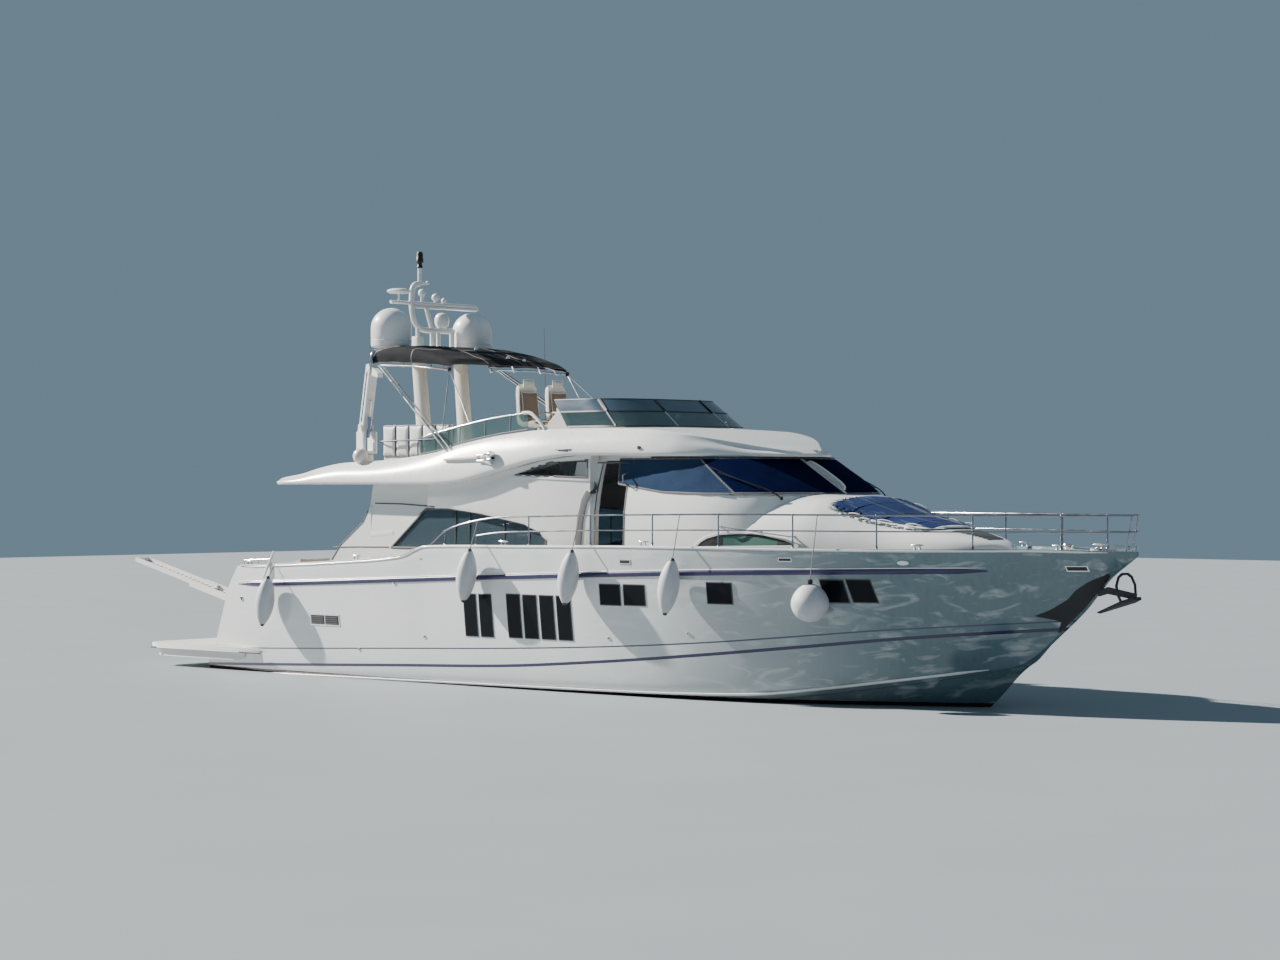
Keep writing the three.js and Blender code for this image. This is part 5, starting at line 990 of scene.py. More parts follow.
def make_fly_deck():
    """Loft of fly sections; stations come in pairs at each wall of a well, and the stair's hole is cut through."""
    spans = [(-8.29, -7.7201, None), *[(a + 1e-4, b - 1e-4, f) for a, b, f in FLY_WELLS], (0.9001, 4.85, None)]
    rows = [fly_section(x, floor) for a, b, floor in spans for x in np.linspace(a, b, max(8, int((b - a) * 9)))]
    half = np.asarray(rows)
    rings = np.concatenate([half, half[:, 1:-1][:, ::-1] * np.array([1, -1, 1])], axis=1)
    piece = loft("fly_deck_skin", rings, slot="gelcoat", material=fly_paint, angle=38, replaces=("fly_deck",))
    opening = bpy.data.meshes.new("stair opening")
    low, high = np.array([-7.05, 1.33, 3.9]), np.array([-5.35, 2.13, 5.0])
    corner = np.array([[0, 0, 0], [1, 0, 0], [1, 1, 0], [0, 1, 0], [0, 0, 1], [1, 0, 1], [1, 1, 1], [0, 1, 1]], float)
    sides = [(0, 3, 2, 1), (4, 5, 6, 7), (0, 1, 5, 4), (1, 2, 6, 5), (2, 3, 7, 6), (3, 0, 4, 7)]
    opening.from_pydata((low + corner * (high - low)).tolist(), [], sides)
    cutter = bpy.data.objects.new("stair opening", opening)
    scene.collection.objects.link(cutter)
    hole = piece.modifiers.new("hole", "BOOLEAN")
    hole.object = cutter
    hole.operation = "DIFFERENCE"
    hole.solver = "EXACT"
    with_hole = bpy.data.meshes.new_from_object(piece.evaluated_get(bpy.context.evaluated_depsgraph_get()))
    piece.modifiers.clear()
    piece.data = with_hole
    bpy.data.objects.remove(cutter)
    return piece


def fly_finish():
    """Gelcoat with a fine noise bump, and laid teak where the sole looks up."""
    made = Finish("fly deck moulding", WHITE, 0.25, Coat_Weight=0.3, Coat_Roughness=0.1)
    parts = made.node("ShaderNodeSeparateXYZ", {0: made.where()})
    facing = made.node("ShaderNodeSeparateXYZ", {0: made.node("ShaderNodeNewGeometry").outputs["Normal"]})
    up = made.maths("GREATER_THAN", facing.outputs[2], 0.995)
    low = made.maths("LESS_THAN", parts.outputs[2], 4.705)
    aft = made.maths("LESS_THAN", parts.outputs[0], 0.91)
    sole = made.maths("MULTIPLY", made.maths("MULTIPLY", up, low), aft)
    white = made.blend(made.noise(0.9, 4), SHADE_WHITE, WHITE)
    grain = made.noise(18, 5, (0.12, 1.5, 1))
    seam = made.maths("LESS_THAN", made.maths("FRACT", made.maths("DIVIDE", parts.outputs[1], 0.055)), 0.1)
    planks = made.blend(seam, made.blend(grain, (0.36, 0.27, 0.18), (0.56, 0.45, 0.33)), (0.04, 0.036, 0.032))
    made.colour(made.blend(sole, white, planks))
    made.rough(made.noise(12, 2), 0.18, 0.34)
    return made.bump(made.noise(60, 2), 0.0006, 0.35).material


fly_paint = fly_finish()
make_fly_deck()

# Deckhouse surface: height, half-width, where the front curve starts, front
HOUSE = [
    (1.55, 2.33, 3.3, 6.08), (2.9, 2.335, 3.3, 6.06), (3.5, 2.315, 3.25, 5.88), (3.84, 2.255, 3.15, 5.70),
    (4.2, 2.165, 2.82, 5.10), (4.53, 2.075, 2.52, 4.56), (4.7, 2.03, 2.37, 4.28),
]
HOUSE_POWER = 0.72


def house_round(angle, z, side, aft=0.0):
    """Deckhouse front: x is start + depth cos^0.72 of an angle from ahead, less a run aft; y is half-width sin^0.72."""
    table = np.asarray(HOUSE)
    half, start, front = (np.interp(z, table[:, 0], table[:, k]) for k in (1, 2, 3))
    turn = np.abs(angle)
    x = start + (front - start) * np.clip(np.cos(turn), 0, 1) ** HOUSE_POWER - aft
    y = side * np.sign(angle) * half * np.clip(np.sin(turn), 0, 1) ** HOUSE_POWER
    return np.stack(np.broadcast_arrays(x, y, z), -1).astype(float)


def billow(u, v, swell, crease):
    """Lift of a tied cover: a shallow swell that dies at the edges, with slanting creases from its corners."""
    dome = (np.sin(np.pi * u) * np.sin(np.pi * v)) ** 0.5
    folds = np.sin(17 * u + 9 * v) * np.sin(np.pi * v) ** 2 + 0.6 * np.sin(31 * u - 13 * v + 1.3) * np.sin(np.pi * v)
    return swell * dome + crease * folds * np.sin(np.pi * np.clip(u, 0, 1)) ** 0.5


COVER_TOP = 4.505
COVER_BEND = 1.5


def cover_grids(side):
    """Grids of the side cover, from the corner aft, and of the front cover, from the centre post to the corner."""
    u, v = np.meshgrid(np.linspace(0, 1, 56), np.linspace(0, 1, 24))
    corner = np.radians(60.6 + 2.4 * v)
    low = np.interp(u, [0, 0.32, 0.585, 1], [3.845, 3.85, 3.875, 4.03])
    z = low + (COVER_TOP - low) * v
    start = np.interp(z, [3.84, 4.2, 4.53], [3.25, 3.05, 2.85])
    run = u * (COVER_BEND + start - (2.08 + 0.08 * v))
    angle = corner + (np.pi / 2 - corner) * np.clip(run / COVER_BEND, 0, 1)
    beside = house_round(angle, z, side, np.maximum(run - COVER_BEND, 0))
    low = 3.845 + 0.01 * u
    z = low + (COVER_TOP - low) * v
    ahead = house_round(np.radians(0.35) + (corner - np.radians(0.35)) * u, z, side)
    return (beside, billow(u, v, 0.010, 0.005)), (ahead, billow(u, v, 0.014, 0.003))


def edge_rows(grid):
    """The four edges of a grid as one closed path."""
    return np.vstack([grid[0, :-1], grid[:-1, -1], grid[-1, :0:-1], grid[:0:-1, 0], grid[:1, 0]])


for side_name, side in SIDES.items():
    # The front cover takes the darker copy of the cloth, which is painted shade.
    for part, (grid, lift), material in zip(("side", "front"), cover_grids(side), (sunlit_side_cloth, shaded_front_cloth)):
        normal = outward(grid)
        normal *= np.sign(np.sum(normal * [1.0, side, 0.3], axis=2))[..., None]
        laid = grid + normal * (0.010 + lift)[..., None]
        hem_path = edge_rows(laid) + edge_rows(normal) * 0.002
        hem = loft(f"window_cover_hem_{part}_{side_name}", strip_rings(hem_path, edge_rows(normal), 0.034, 0.004),
                   slot="canopy_cloth", material=hem_tape, angle=60)
        cloth(f"window_cover_{part}_{side_name}", laid, "stretched", ["deckhouse"], with_pieces=[hem],
              slot="canopy_cloth", material=material, angle=60)
        studs = [turned([(0.0, -0.004), (0.009, -0.004), (0.009, 0.004), (0.005, 0.009), (0.0, 0.010)], (0, 0, 0), 8)]
        places = hem_path[3::12]
        aim = edge_rows(normal)[3::12]
        rows = []
        for at, out in zip(places, aim):
            turn = np.array(Vector((0, 0, 1)).rotation_difference(Vector(out)).to_matrix())
            rows.append(studs[0] @ turn.T + at + out * 0.004)
        merged(f"window_cover_studs_{part}_{side_name}", rows, slot="stainless", material=steel, angle=50)

# Wipers, centre post and its handle, and the sill line of the windscreen
for side_name, side in SIDES.items():
    arm = house_round(np.radians([37, 39, 42, 50, 57, 61]), np.array([3.73, 3.79, 3.88, 4.03, 4.15, 4.22]), side)
    arm = arm + np.array([0.055, side * 0.02, 0.035])
    blade = house_round(np.radians(np.linspace(45, 62, 9)), np.linspace(3.93, 4.33, 9), side)
    blade = blade + np.array([0.04, side * 0.02, 0.02])
    merged(f"wiper_{side_name}", [
        pipe_rings(through(arm, 20), np.linspace(0.014, 0.007, 20), 8), pipe_rings(blade, 0.008, 6),
        turned([(0.0, -0.03), (0.028, -0.03), (0.026, 0.02), (0.016, 0.035), (0.0, 0.037)], arm[0], 16)],
        slot="dark_trim", material=black_plastic, angle=50)
    sill = house_round(np.radians(np.linspace(0.2, 64, 50)), np.full(50, 3.812), side)
    loft(f"windscreen_sill_{side_name}", strip_rings(sill, (1, side * 0.5, 0.6), 0.022, 0.010), slot="stainless",
         material=steel, angle=50)
post = house_round(np.zeros(12), np.linspace(3.86, 4.50, 12), -1)
loft("windscreen_post", strip_rings(post, (1, 0, 0.8), 0.075, 0.016), slot="gelcoat", material=gelcoat, angle=50)
foot, head = house_round(np.zeros(2), np.array([3.92, 4.40]), -1)
lean = np.array([0.055, 0, 0.045])
grip = through([foot, foot + lean * 0.7, (foot + head) / 2 + lean * 1.15, head + lean * 0.5, head], 30)
loft("windscreen_handle", strip_rings(grip, (0.3, 1, 0.2), 0.10, 0.06), slot="gelcoat", material=white_vinyl, angle=70)
brow = house_round(np.radians(np.linspace(-89, 89, 90)), np.full(90, 4.528), -1)
loft("brow_shadow_strip", strip_rings(brow, (1, 0, 0), 0.045, 0.020), slot="dark_trim", material=black_plastic,
     angle=50)

# Window frames, mullions, gaskets and the jamb along the deckhouse sides
SALOON_FRAME = [
    (-4.33, 2.72), (-3.32, 3.52), (-2.8, 3.535), (-2.26, 3.5), (-1.7, 3.43), (-1.32, 3.37), (-0.4, 3.215),
    (0.01, 3.1), (0.09, 2.96), (0.09, 2.72), (-4.33, 2.72),
]
UPPER_FRAME = [(-0.64, 4.215), (-0.15, 4.35), (0.31, 4.455), (1.23, 4.5), (1.23, 4.15), (-0.64, 4.215)]
WING_SEAMS = [
    [(-3.02, 3.57), (-4.07, 3.62), (-4.86, 3.63)], [(-5.0, 3.52), (-5.2, 3.23), (-5.88, 2.76), (-6.16, 2.44)],
    [(-6.12, 2.70), (-5.4, 2.72), (-4.4, 2.73)],
]
JAMB = [(0.99, 2.62), (1.0, 2.95), (1.05, 3.35), (1.15, 3.7), (1.30, 3.93), (1.42, 4.0)]
DOOR_EDGE = [(1.38, 2.38), (1.38, 3.95), (1.41, 4.44), (2.10, 4.44), (2.14, 3.95), (2.14, 2.38)]
for side_name, side in SIDES.items():
    merged(f"side_gaskets_{side_name}", [
        side_strip(SALOON_FRAME, side, 0.045, 0.010), side_strip(UPPER_FRAME, side, 0.035, 0.008),
        *[side_strip(path, side, 0.028, 0.007) for path in WING_SEAMS], side_strip(DOOR_EDGE, side, 0.03, 0.008)],
        slot="dark_trim", material=grey_rubber, angle=40)
    low_x, pane_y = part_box(f"saloon_glass_{side_name}")[0][0], max(abs(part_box(f"saloon_glass_{side_name}")[k][1]) for k in (0, 1))
    bars = []
    for x in (-2.45, -2.05, -1.06, -0.37):
        top = float(np.interp(x, [p[0] for p in SALOON_FRAME[1:8]], [p[1] for p in SALOON_FRAME[1:8]])) - 0.02
        path = np.linspace((x, side * pane_y, 2.74), (x, side * pane_y, top), 8)
        bars.append(strip_rings(path, (0, side, 0), 0.026, 0.006))
    bars.append(side_strip([(0.5, 4.19), (0.5, 4.47)], side, 0.03, 0.008))
    merged(f"side_mullions_{side_name}", bars, slot="dark_trim", material=black_plastic, angle=40)
    loft(f"door_jamb_{side_name}", side_strip(JAMB, side, 0.17, 0.008), slot="dark_trim", material=grey_rubber,
         angle=40)
    loft(f"upper_window_sill_{side_name}", side_strip([(-0.72, 4.17), (1.30, 4.10)], side, 0.03, 0.016),
         slot="gelcoat", material=gelcoat, angle=40)
    plate = side_strip([(-4.95, 2.98), (-4.28, 3.03)], side, 0.10, 0.006)
    loft(f"blank_plate_{side_name}", plate, slot="gelcoat", material=white_vinyl, angle=40)


# Arch window on the side under the windscreen, with its frame and the handrail over it
def bulk_point(x, z, side, out):
    """Side of the house or the coachroof, whichever stands out further, as y from a power mean of the two."""
    table = np.asarray(HOUSE)
    half, start, front = (np.interp(z, table[:, 0], table[:, k]) for k in (1, 2, 3))
    share = np.clip((x - start) / (front - start), 0, 1)
    house_y = half * (1 - share ** (2 / HOUSE_POWER)) ** (HOUSE_POWER / 2)
    inside = np.clip(x, 4.5, 9.4)
    rise = np.clip((z - 2.31) / (coachroof_top(inside) - 2.31), 0, 0.999) ** (1 / 0.6)
    roof_y = coachroof_half(inside) * (1 - rise ** 2) ** 0.275 * (x >= 4.45)
    y = (house_y ** 120 + roof_y ** 120) ** (1 / 120)
    return np.stack(np.broadcast_arrays(x, side * (y + out), z), -1).astype(float)


ARCH_TOP = [(3.95, 2.86), (4.06, 2.96), (4.21, 3.04), (4.5, 3.11), (4.89, 3.13), (5.37, 3.10), (5.80, 3.02),
            (6.02, 2.95), (6.10, 2.89)]
arch_top = monotone([p[0] for p in ARCH_TOP], [p[1] for p in ARCH_TOP])
for side_name, side in SIDES.items():
    u, v = np.meshgrid(np.linspace(0, 1, 44), np.linspace(0, 1, 10))
    x = 3.96 + 2.12 * u
    low = 2.845 + 0.035 * u
    z = low + (arch_top(x) - low) * v
    shell(f"arch_window_{side_name}", bulk_point(x, z, side, 0.008), bulk_point(x, z, side, -0.02),
          slot="tinted_glass", material=arch_glass, angle=30)
    darks = []
    for a, b in ((0.012, 0.27), (0.81, 0.985)):
        share, v = np.meshgrid(np.linspace(a, b, 16), np.linspace(0.02, 0.99, 6))
        x = 3.96 + 2.12 * share
        z = 2.845 + 0.035 * share
        z = z + (arch_top(x) - z) * v
        faces = [bulk_point(x, z, side, out).transpose(1, 0, 2) for out in (0.012, 0.0)]
        darks.append(np.concatenate([faces[0], faces[1][:, ::-1]], axis=1))
    gasket = np.linspace(3.99, 6.07, 50)
    gasket = bulk_point(gasket, arch_top(gasket) - 0.035, side, 0.004)
    merged(f"arch_window_darks_{side_name}", [*darks, strip_rings(gasket, (0.3, side, 0.1), 0.045, 0.012)],
           slot="dark_trim", material=black_plastic, angle=40)
    ring = [(3.95, 2.845), *ARCH_TOP, (6.10, 2.885), (5.0, 2.862), (3.95, 2.845)]
    path = polyline([(a, b, 0) for a, b in ring], 0.05)
    around = bulk_point(path[:, 0], path[:, 1], side, 0.0)
    loft(f"arch_window_frame_{side_name}", strip_rings(around, (0.3, side, 0.1), 0.05, 0.020), slot="gelcoat",
         material=gelcoat, angle=50)
    rail_x = np.linspace(4.5, 6.0, 20)
    rail = bulk_point(rail_x, 3.235 - 0.115 * (rail_x - 4.5), side, 0.065)
    ends = [np.vstack([rail[k], rail[k] - [0, 0.075 * side, 0]]) for k in (0, 10, -1)]
    merged(f"coachroof_handrail_{side_name}", [pipe_rings(rail, 0.014, 10)] + [pipe_rings(
        np.linspace(a, b, 4), [0.014, 0.014, 0.016, 0.032], 10) for a, b in ends], slot="stainless", material=steel,
        angle=60)


# Glazing
for node in ("saloon_glass_starboard", "saloon_glass_port", "wheelhouse_glass_starboard", "wheelhouse_glass_port",
             "windscreen_starboard", "windscreen_port"):
    refined(node, glass, 30)

# Rigid pieces that keep the CAD's form with eased edges
for node, material, angle, bevel in (
    ("saloon_aft_screen", glass, 30, 0.0),
    ("saloon_door_leaf", glass, 30, 0.004),
    ("side_door_starboard", gelcoat, 30, 0.004),
    ("side_door_port", gelcoat, 30, 0.004),
    ("bimini_frame", steel, 60, 0.0),
    ("fly_console", gelcoat, 30, 0.02),
    ("fly_bar", gelcoat, 40, 0.012),
    ("fly_stair", teak, 30, 0.005),
    ("antenna_arch", warm_gelcoat, 40, 0.0),
    ("crane_base", gelcoat, 40, 0.008),
    ("crane_head", gelcoat, 40, 0.010),
    ("crane_boom", gelcoat, 30, 0.015),
    ("crane_cylinder", boom_shade_blue, 40, 0.0),
    ("crane_rod", steel, 40, 0.0),
    ("bridge_bracket", steel, 30, 0.004),
    ("bridge_outer", gelcoat, 30, 0.008),
    ("bridge_inner", gelcoat, 30, 0.006),
    ("anchor", galvanised, 40, 0.004),
    ("windlass", steel, 40, 0.004),
    ("foredeck_hatch", gelcoat, 30, 0.01),
    ("saloon_interior", wood, 30, 0.02),
    ("wheelhouse_console", black_plastic, 30, 0.02),
    ("propeller_starboard", bronze, 40, 0.0),
    ("propeller_port", bronze, 40, 0.0),
    ("shaft_bracket_starboard", bronze, 40, 0.0),
    ("shaft_bracket_port", bronze, 40, 0.0),
    ("rudder_starboard", bronze, 40, 0.004),
    ("rudder_port", bronze, 40, 0.004),
):
    refined(node, material, angle, bevel)

# Fly windscreen: height, half-width, where it curves, front, aft edge
FLY_SCREEN = [(5.142, 1.9, 1.0, 2.2, 0.25), (5.705, 1.7, 0.4, 1.45, -0.30)]
SCREEN_SEAM = 0.55


def fly_screen(girth, rise, out=0.0):
    """Windscreen surface: girth 0 is ahead, 0.8 the corner's end, 1 the aft edge; rise goes from its foot to its top."""
    low, high = (np.asarray(row) for row in FLY_SCREEN)
    z, half, start, front, aft = (low[k] + (high[k] - low[k]) * rise for k in range(5))
    turn = np.minimum(np.abs(girth) / 0.8, 1) * np.pi / 2
    beyond = np.clip((np.abs(girth) - 0.8) / 0.2, 0, 1)
    x = start + (front - out * -1 - start) * np.cos(turn) ** 0.7 - (start - aft) * beyond
    y = np.sign(girth) * (half + out) * np.sin(turn) ** 0.7
    return np.stack(np.broadcast_arrays(x, y, z), -1).astype(float)


def screen_band(name, low, high, material, slot, out=0.0, wall=0.012, **how):
    """Part of the windscreen between two rises, as a curved pane with a wall."""
    girth, rise = np.meshgrid(np.linspace(-1, 1, 121), np.linspace(low, high, 8))
    return shell(name, fly_screen(girth, rise, out), fly_screen(girth, rise, out - wall), slot=slot,
                 material=material, angle=30, **how)


screen_band("fly_windscreen_pane", 0.0, SCREEN_SEAM, green_glass, "tinted_glass", replaces=("fly_windscreen",))
screen_band("fly_windscreen_visor", SCREEN_SEAM, 1.0, visor_glass, "tinted_glass", out=0.004)
girth = np.linspace(-0.995, 0.995, 120)
merged("fly_windscreen_edges", [
    strip_rings(fly_screen(girth, np.full(120, rise), 0.004), outward(np.stack([
        fly_screen(girth, np.full(120, rise)), fly_screen(girth, np.full(120, rise + 0.02))]))[0] * turn, width, 0.010)
    for rise, width, turn in ((SCREEN_SEAM, 0.030, 1), (0.02, 0.035, 1), (0.985, 0.022, 1))],
    slot="dark_trim", material=black_plastic, angle=50)
gaps = []
struts = []
for at in (-0.65, -0.14, 0.14, 0.65):
    rise = np.linspace(SCREEN_SEAM, 0.985, 8)
    lean = at + 0.012 * (rise - SCREEN_SEAM)
    ring = fly_screen(np.full(8, at) + lean - at, rise, 0.006)
    facing = ring - fly_screen(np.full(8, at), rise, -0.05)
    gaps.append(strip_rings(ring, facing, 0.075, 0.006))
    rise = np.linspace(0.02, SCREEN_SEAM - 0.02, 8)
    ring = fly_screen(np.full(8, at), rise, 0.003)
    struts.append(strip_rings(ring, ring - fly_screen(np.full(8, at), rise, -0.05), 0.032, 0.012))
merged("fly_visor_gaps", gaps, slot="dark_trim", material=black_plastic, angle=50)
merged("fly_windscreen_struts", struts, slot="stainless", material=steel, angle=50)

# Side screens of the fly deck: pane, mullions, tube along the top and the thick white end
SIDE_GLASS_Y = 2.29
SIDE_GLASS_TOP = [(-3.56, 4.95), (-2.60, 5.15), (-1.50, 5.33), (-0.49, 5.43)]
for side_name, side in SIDES.items():
    def beside(points):
        return [(x, SIDE_GLASS_Y * side, z) for x, z in points]

    xs = np.linspace(-3.50, -0.44, 40)
    top = np.interp(xs, [p[0] for p in SIDE_GLASS_TOP], [p[1] for p in SIDE_GLASS_TOP]) - 0.005
    foot = fly_high(xs) + 0.03
    u = np.linspace(0, 1, 6)[:, None]
    z = foot + (top - foot) * u
    grid = np.stack(np.broadcast_arrays(xs, side * (SIDE_GLASS_Y + 0.005), z), -1).astype(float)
    shell(f"fly_side_pane_{side_name}", grid, grid - [0, 0.010 * side, 0], slot="tinted_glass", material=clear_glass,
          angle=30, replaces=(f"fly_side_screen_{side_name}",))
    mullions = []
    for x in (-2.36, -1.64, -0.94):
        rise = float(np.interp(x, [p[0] for p in SIDE_GLASS_TOP], [p[1] for p in SIDE_GLASS_TOP]))
        path = np.linspace((x, side * (SIDE_GLASS_Y + 0.005), float(fly_high(x)) + 0.02),
                           (x + 0.015, side * (SIDE_GLASS_Y + 0.005), rise), 6)
        mullions.append(strip_rings(path, (0, side, 0), 0.028, 0.006))
    foot_line = np.stack([xs, np.full(40, side * (SIDE_GLASS_Y + 0.004)), fly_high(xs) + 0.035], -1)
    mullions.append(strip_rings(foot_line, (0, side, 0), 0.035, 0.008))
    merged(f"fly_side_mullions_{side_name}", mullions, slot="dark_trim", material=grey_rubber, angle=50)
    tube = through(beside([(-3.58, 4.60), (-3.57, 4.88), (-3.46, 4.97), (-2.60, 5.15), (-1.50, 5.33), (-0.49, 5.43)]), 60)
    loft(f"fly_side_tube_{side_name}", pipe_rings(tube, 0.016, 12), slot="stainless", material=dark_reflection_steel, angle=70)
    thick = through(beside([(-0.55, 5.43), (-0.39, 5.43), (-0.20, 5.32), (-0.02, 5.15), (0.05, 5.03)]), 24)
    loft(f"fly_side_end_{side_name}", pipe_rings(thick, 0.034, 14), slot="gelcoat", material=white_vinyl, angle=70)

# Canopy: x, lower edge, top; and its section as shares of the half-width and of the height
CANOPY = [
    (-5.58, 6.56, 6.76), (-5.48, 6.575, 6.88), (-5.2, 6.57, 6.93), (-4.8, 6.55, 6.945), (-4.4, 6.53, 6.90),
    (-3.97, 6.50, 6.80), (-3.6, 6.47, 6.69), (-3.33, 6.44, 6.59), (-3.19, 6.41, 6.50),
]
canopy_low, canopy_high = columns(CANOPY)
CANOPY_HALF = 1.715
CANOPY_SECTION = [
    (-1.0, 0.02), (-0.998, 0.30), (-0.985, 0.60), (-0.93, 0.85), (-0.75, 0.96), (-0.4, 0.995), (0.0, 1.0),
    (0.4, 0.995), (0.75, 0.96), (0.93, 0.85), (0.985, 0.60), (0.998, 0.30), (1.0, 0.02),
]
CANOPY_BOWS = (-5.14, -4.7, -3.9, -3.42, -3.19)
canopy_bend = through([(a, b, 0) for a, b in CANOPY_SECTION], 97)


def canopy_point(across, x):
    """Cloth over the bows: the section scaled between edge and top, sinking a little between one bow and the next."""
    at = (across + 1) / 2 * 96
    share = np.interp(at, np.arange(97), canopy_bend[:, 0])
    rise = np.interp(at, np.arange(97), canopy_bend[:, 1])
    bows = np.asarray(CANOPY_BOWS)
    k = np.clip(np.searchsorted(bows, x) - 1, 0, 3)
    between = np.clip((x - bows[k]) / (bows[k + 1] - bows[k]), 0, 1)
    flat = np.clip((0.95 - np.abs(share)) / 0.2, 0, 1)
    sag = 0.014 * np.sin(np.pi * between) ** 2 * flat
    pucker = 0.0035 * np.sin(23 * share + 5 * x) * np.sin(np.pi * between)
    z = canopy_low(x) + (canopy_high(x) - canopy_low(x)) * rise - sag + pucker
    scallop = 0.012 * np.sin(np.pi * between) * (1 - np.clip(rise * 3, 0, 1))
    return np.stack([x, CANOPY_HALF * share * (1 - scallop), z + scallop], -1)


across, along = np.meshgrid(np.linspace(-1, 1, 97), np.linspace(0, 1, 64))
height = np.interp((across + 1) / 2 * 96, np.arange(97), np.abs(canopy_bend[:, 0]))
aft_edge = -5.135 - 0.42 * np.clip((height - 0.84) / 0.10, 0, 1)
canopy_grid = canopy_point(across, aft_edge + (-3.192 - aft_edge) * along)
up = outward(canopy_grid)
up *= np.sign(np.sum(up * [0, 0, 1], axis=2) + np.sum(up * canopy_grid * [0, 1, 0], axis=2))[..., None]
seams = []
for line, facing in ((canopy_grid[31], up[31]), (canopy_grid[:, 40], up[:, 40]), (canopy_grid[:, 56], up[:, 56])):
    seams.append(strip_rings(line[2:-2] + facing[2:-2] * 0.002, facing[2:-2], 0.030, 0.003))
seam_piece = merged("canopy_seams", seams, slot="canopy_cloth", material=hem_tape, angle=60)
rim = edge_rows(canopy_grid)
hem = loft("canopy_hem", pipe_rings(rim[::2], 0.008, 8), slot="canopy_cloth", material=hem_tape, angle=80)
cloth("canopy_cloth", canopy_grid, "stretched", ["bimini_frame"], thickness=0.0025, with_pieces=[seam_piece, hem],
      slot="canopy_cloth", material=canopy_cloth, angle=60, replaces=("bimini_canopy",))
for side_name, side in SIDES.items():
    hoop = through([(-5.50, -1.755, 6.50), (-5.565, -1.75, 6.66), (-5.57, -1.70, 6.79), (-5.57, -1.56, 6.865),
                    (-5.56, -1.36, 6.875)], 30) * [1, -side, 1]
    knuckles = [turned([(0.0, -0.035), (0.028, -0.03), (0.034, 0.0), (0.028, 0.03), (0.0, 0.035)],
                       (x, 1.755 * side, z), 14) for x, z in ((-5.33, 6.52), (-5.50, 6.50))]
    merged(f"canopy_hoop_{side_name}", [pipe_rings(hoop, 0.034, 14), *knuckles], slot="stainless", material=steel,
           angle=60)
    loft(f"canopy_knuckle_{side_name}", turned([(0.0, -0.05), (0.035, -0.045), (0.042, 0.0), (0.035, 0.045), (0.0, 0.05)],
                                               (-3.21, 1.755 * side, 6.375), 16), slot="dark_trim",
         material=black_plastic, angle=60)
merged("canopy_fittings", [turned([(0.0, -0.01), (0.045, -0.005), (0.04, 0.03), (0.02, 0.05), (0.0, 0.052)],
                                  (x, y, float(canopy_high(x)) + 0.004), 16)
                           for x, y in ((-3.55, 0.30), (-3.40, 0.62), (-4.30, 0.10))],
       slot="gelcoat", material=dome_white, angle=60)

# Mast: pipes as radius and path in y and z, all at one x
MAST_X = -5.65
MAST_PIPES = [
    (0.045, [(-0.33, 7.15), (-0.33, 7.39)]), (0.052, [(0.10, 6.95), (0.10, 7.33)]),
    (0.048, [(0.28, 6.95), (0.28, 7.33)]), (0.056, [(0.69, 6.95), (0.69, 7.33)]),
    (0.060, [(-0.30, 8.32), (-0.42, 8.29), (-0.485, 8.20), (-0.505, 8.05), (-0.505, 7.85), (-0.49, 7.70),
             (-0.42, 7.50), (-0.30, 7.38), (-0.12, 7.335), (0.30, 7.335), (0.735, 7.335)]),
    (0.038, [(-1.12, 7.90), (-0.30, 7.90), (0.60, 7.90), (1.40, 7.90)]),
    (0.038, [(-0.56, 7.83), (0.30, 7.83), (1.40, 7.83)]), (0.036, [(1.38, 7.90), (1.445, 7.885), (1.45, 7.845), (1.38, 7.83)]),
    (0.048, [(-0.07, 7.80), (0.10, 7.34)]), (0.046, [(-0.27, 8.29), (-0.27, 8.66)]),
    (0.028, [(-0.30, 8.33), (-0.02, 8.34)]), (0.025, [(-0.88, 7.90), (-0.88, 8.09)]),
    (0.036, [(-0.20, 7.90), (-0.20, 8.08)]), (0.036, [(0.20, 7.90), (0.20, 8.00)]), (0.028, [(0.45, 7.90), (0.45, 7.97)]),
    (0.050, [(0.39, 7.30), (0.39, 7.40)]),
]


def on_mast(path):
    return [(MAST_X, y, z) for y, z in path]


pipes = [pipe_rings(through(on_mast(path), 4 * len(path)), radius, 14) for radius, path in MAST_PIPES]
merged("mast_frame", pipes, slot="gelcoat", material=dome_white, angle=60, replaces=("mast",))
merged("mast_lights", [
    turned([(0.0, 0.0), (0.062, 0.0), (0.062, 0.04), (0.05, 0.05), (0.05, 0.10), (0.078, 0.12), (0.078, 0.20),
            (0.07, 0.21), (0.07, 0.30), (0.05, 0.345), (0.0, 0.35)], (MAST_X, -0.27, 8.66), 24)],
    slot="dark_trim", material=black_plastic, angle=50)
merged("mast_antennas", [
    turned([(0.0, 0.0), (0.20, 0.006), (0.25, 0.035), (0.26, 0.055), (0.235, 0.085), (0.15, 0.108), (0.0, 0.115)],
           (MAST_X, -0.88, 8.08), 40),
    *[turned([(radius * math.cos(a), radius * math.sin(a)) for a in np.linspace(-1.5707, 1.5707, 14)], (MAST_X, y, z), 24)
      for y, z, radius in ((-0.20, 8.13, 0.086), (0.20, 8.05, 0.086), (0.45, 7.99, 0.062), (-0.04, 8.355, 0.040))]],
    slot="gelcoat", material=dome_white, angle=60)
pod = [(0.0, -0.175), (0.09, -0.165), (0.14, -0.11), (0.16, -0.03), (0.158, 0.05), (0.13, 0.12), (0.08, 0.16), (0.0, 0.175)]
merged("mast_pod", [turned(pod, (MAST_X, 0.39, 7.555), 32)], slot="gelcoat", material=dome_white, angle=60)
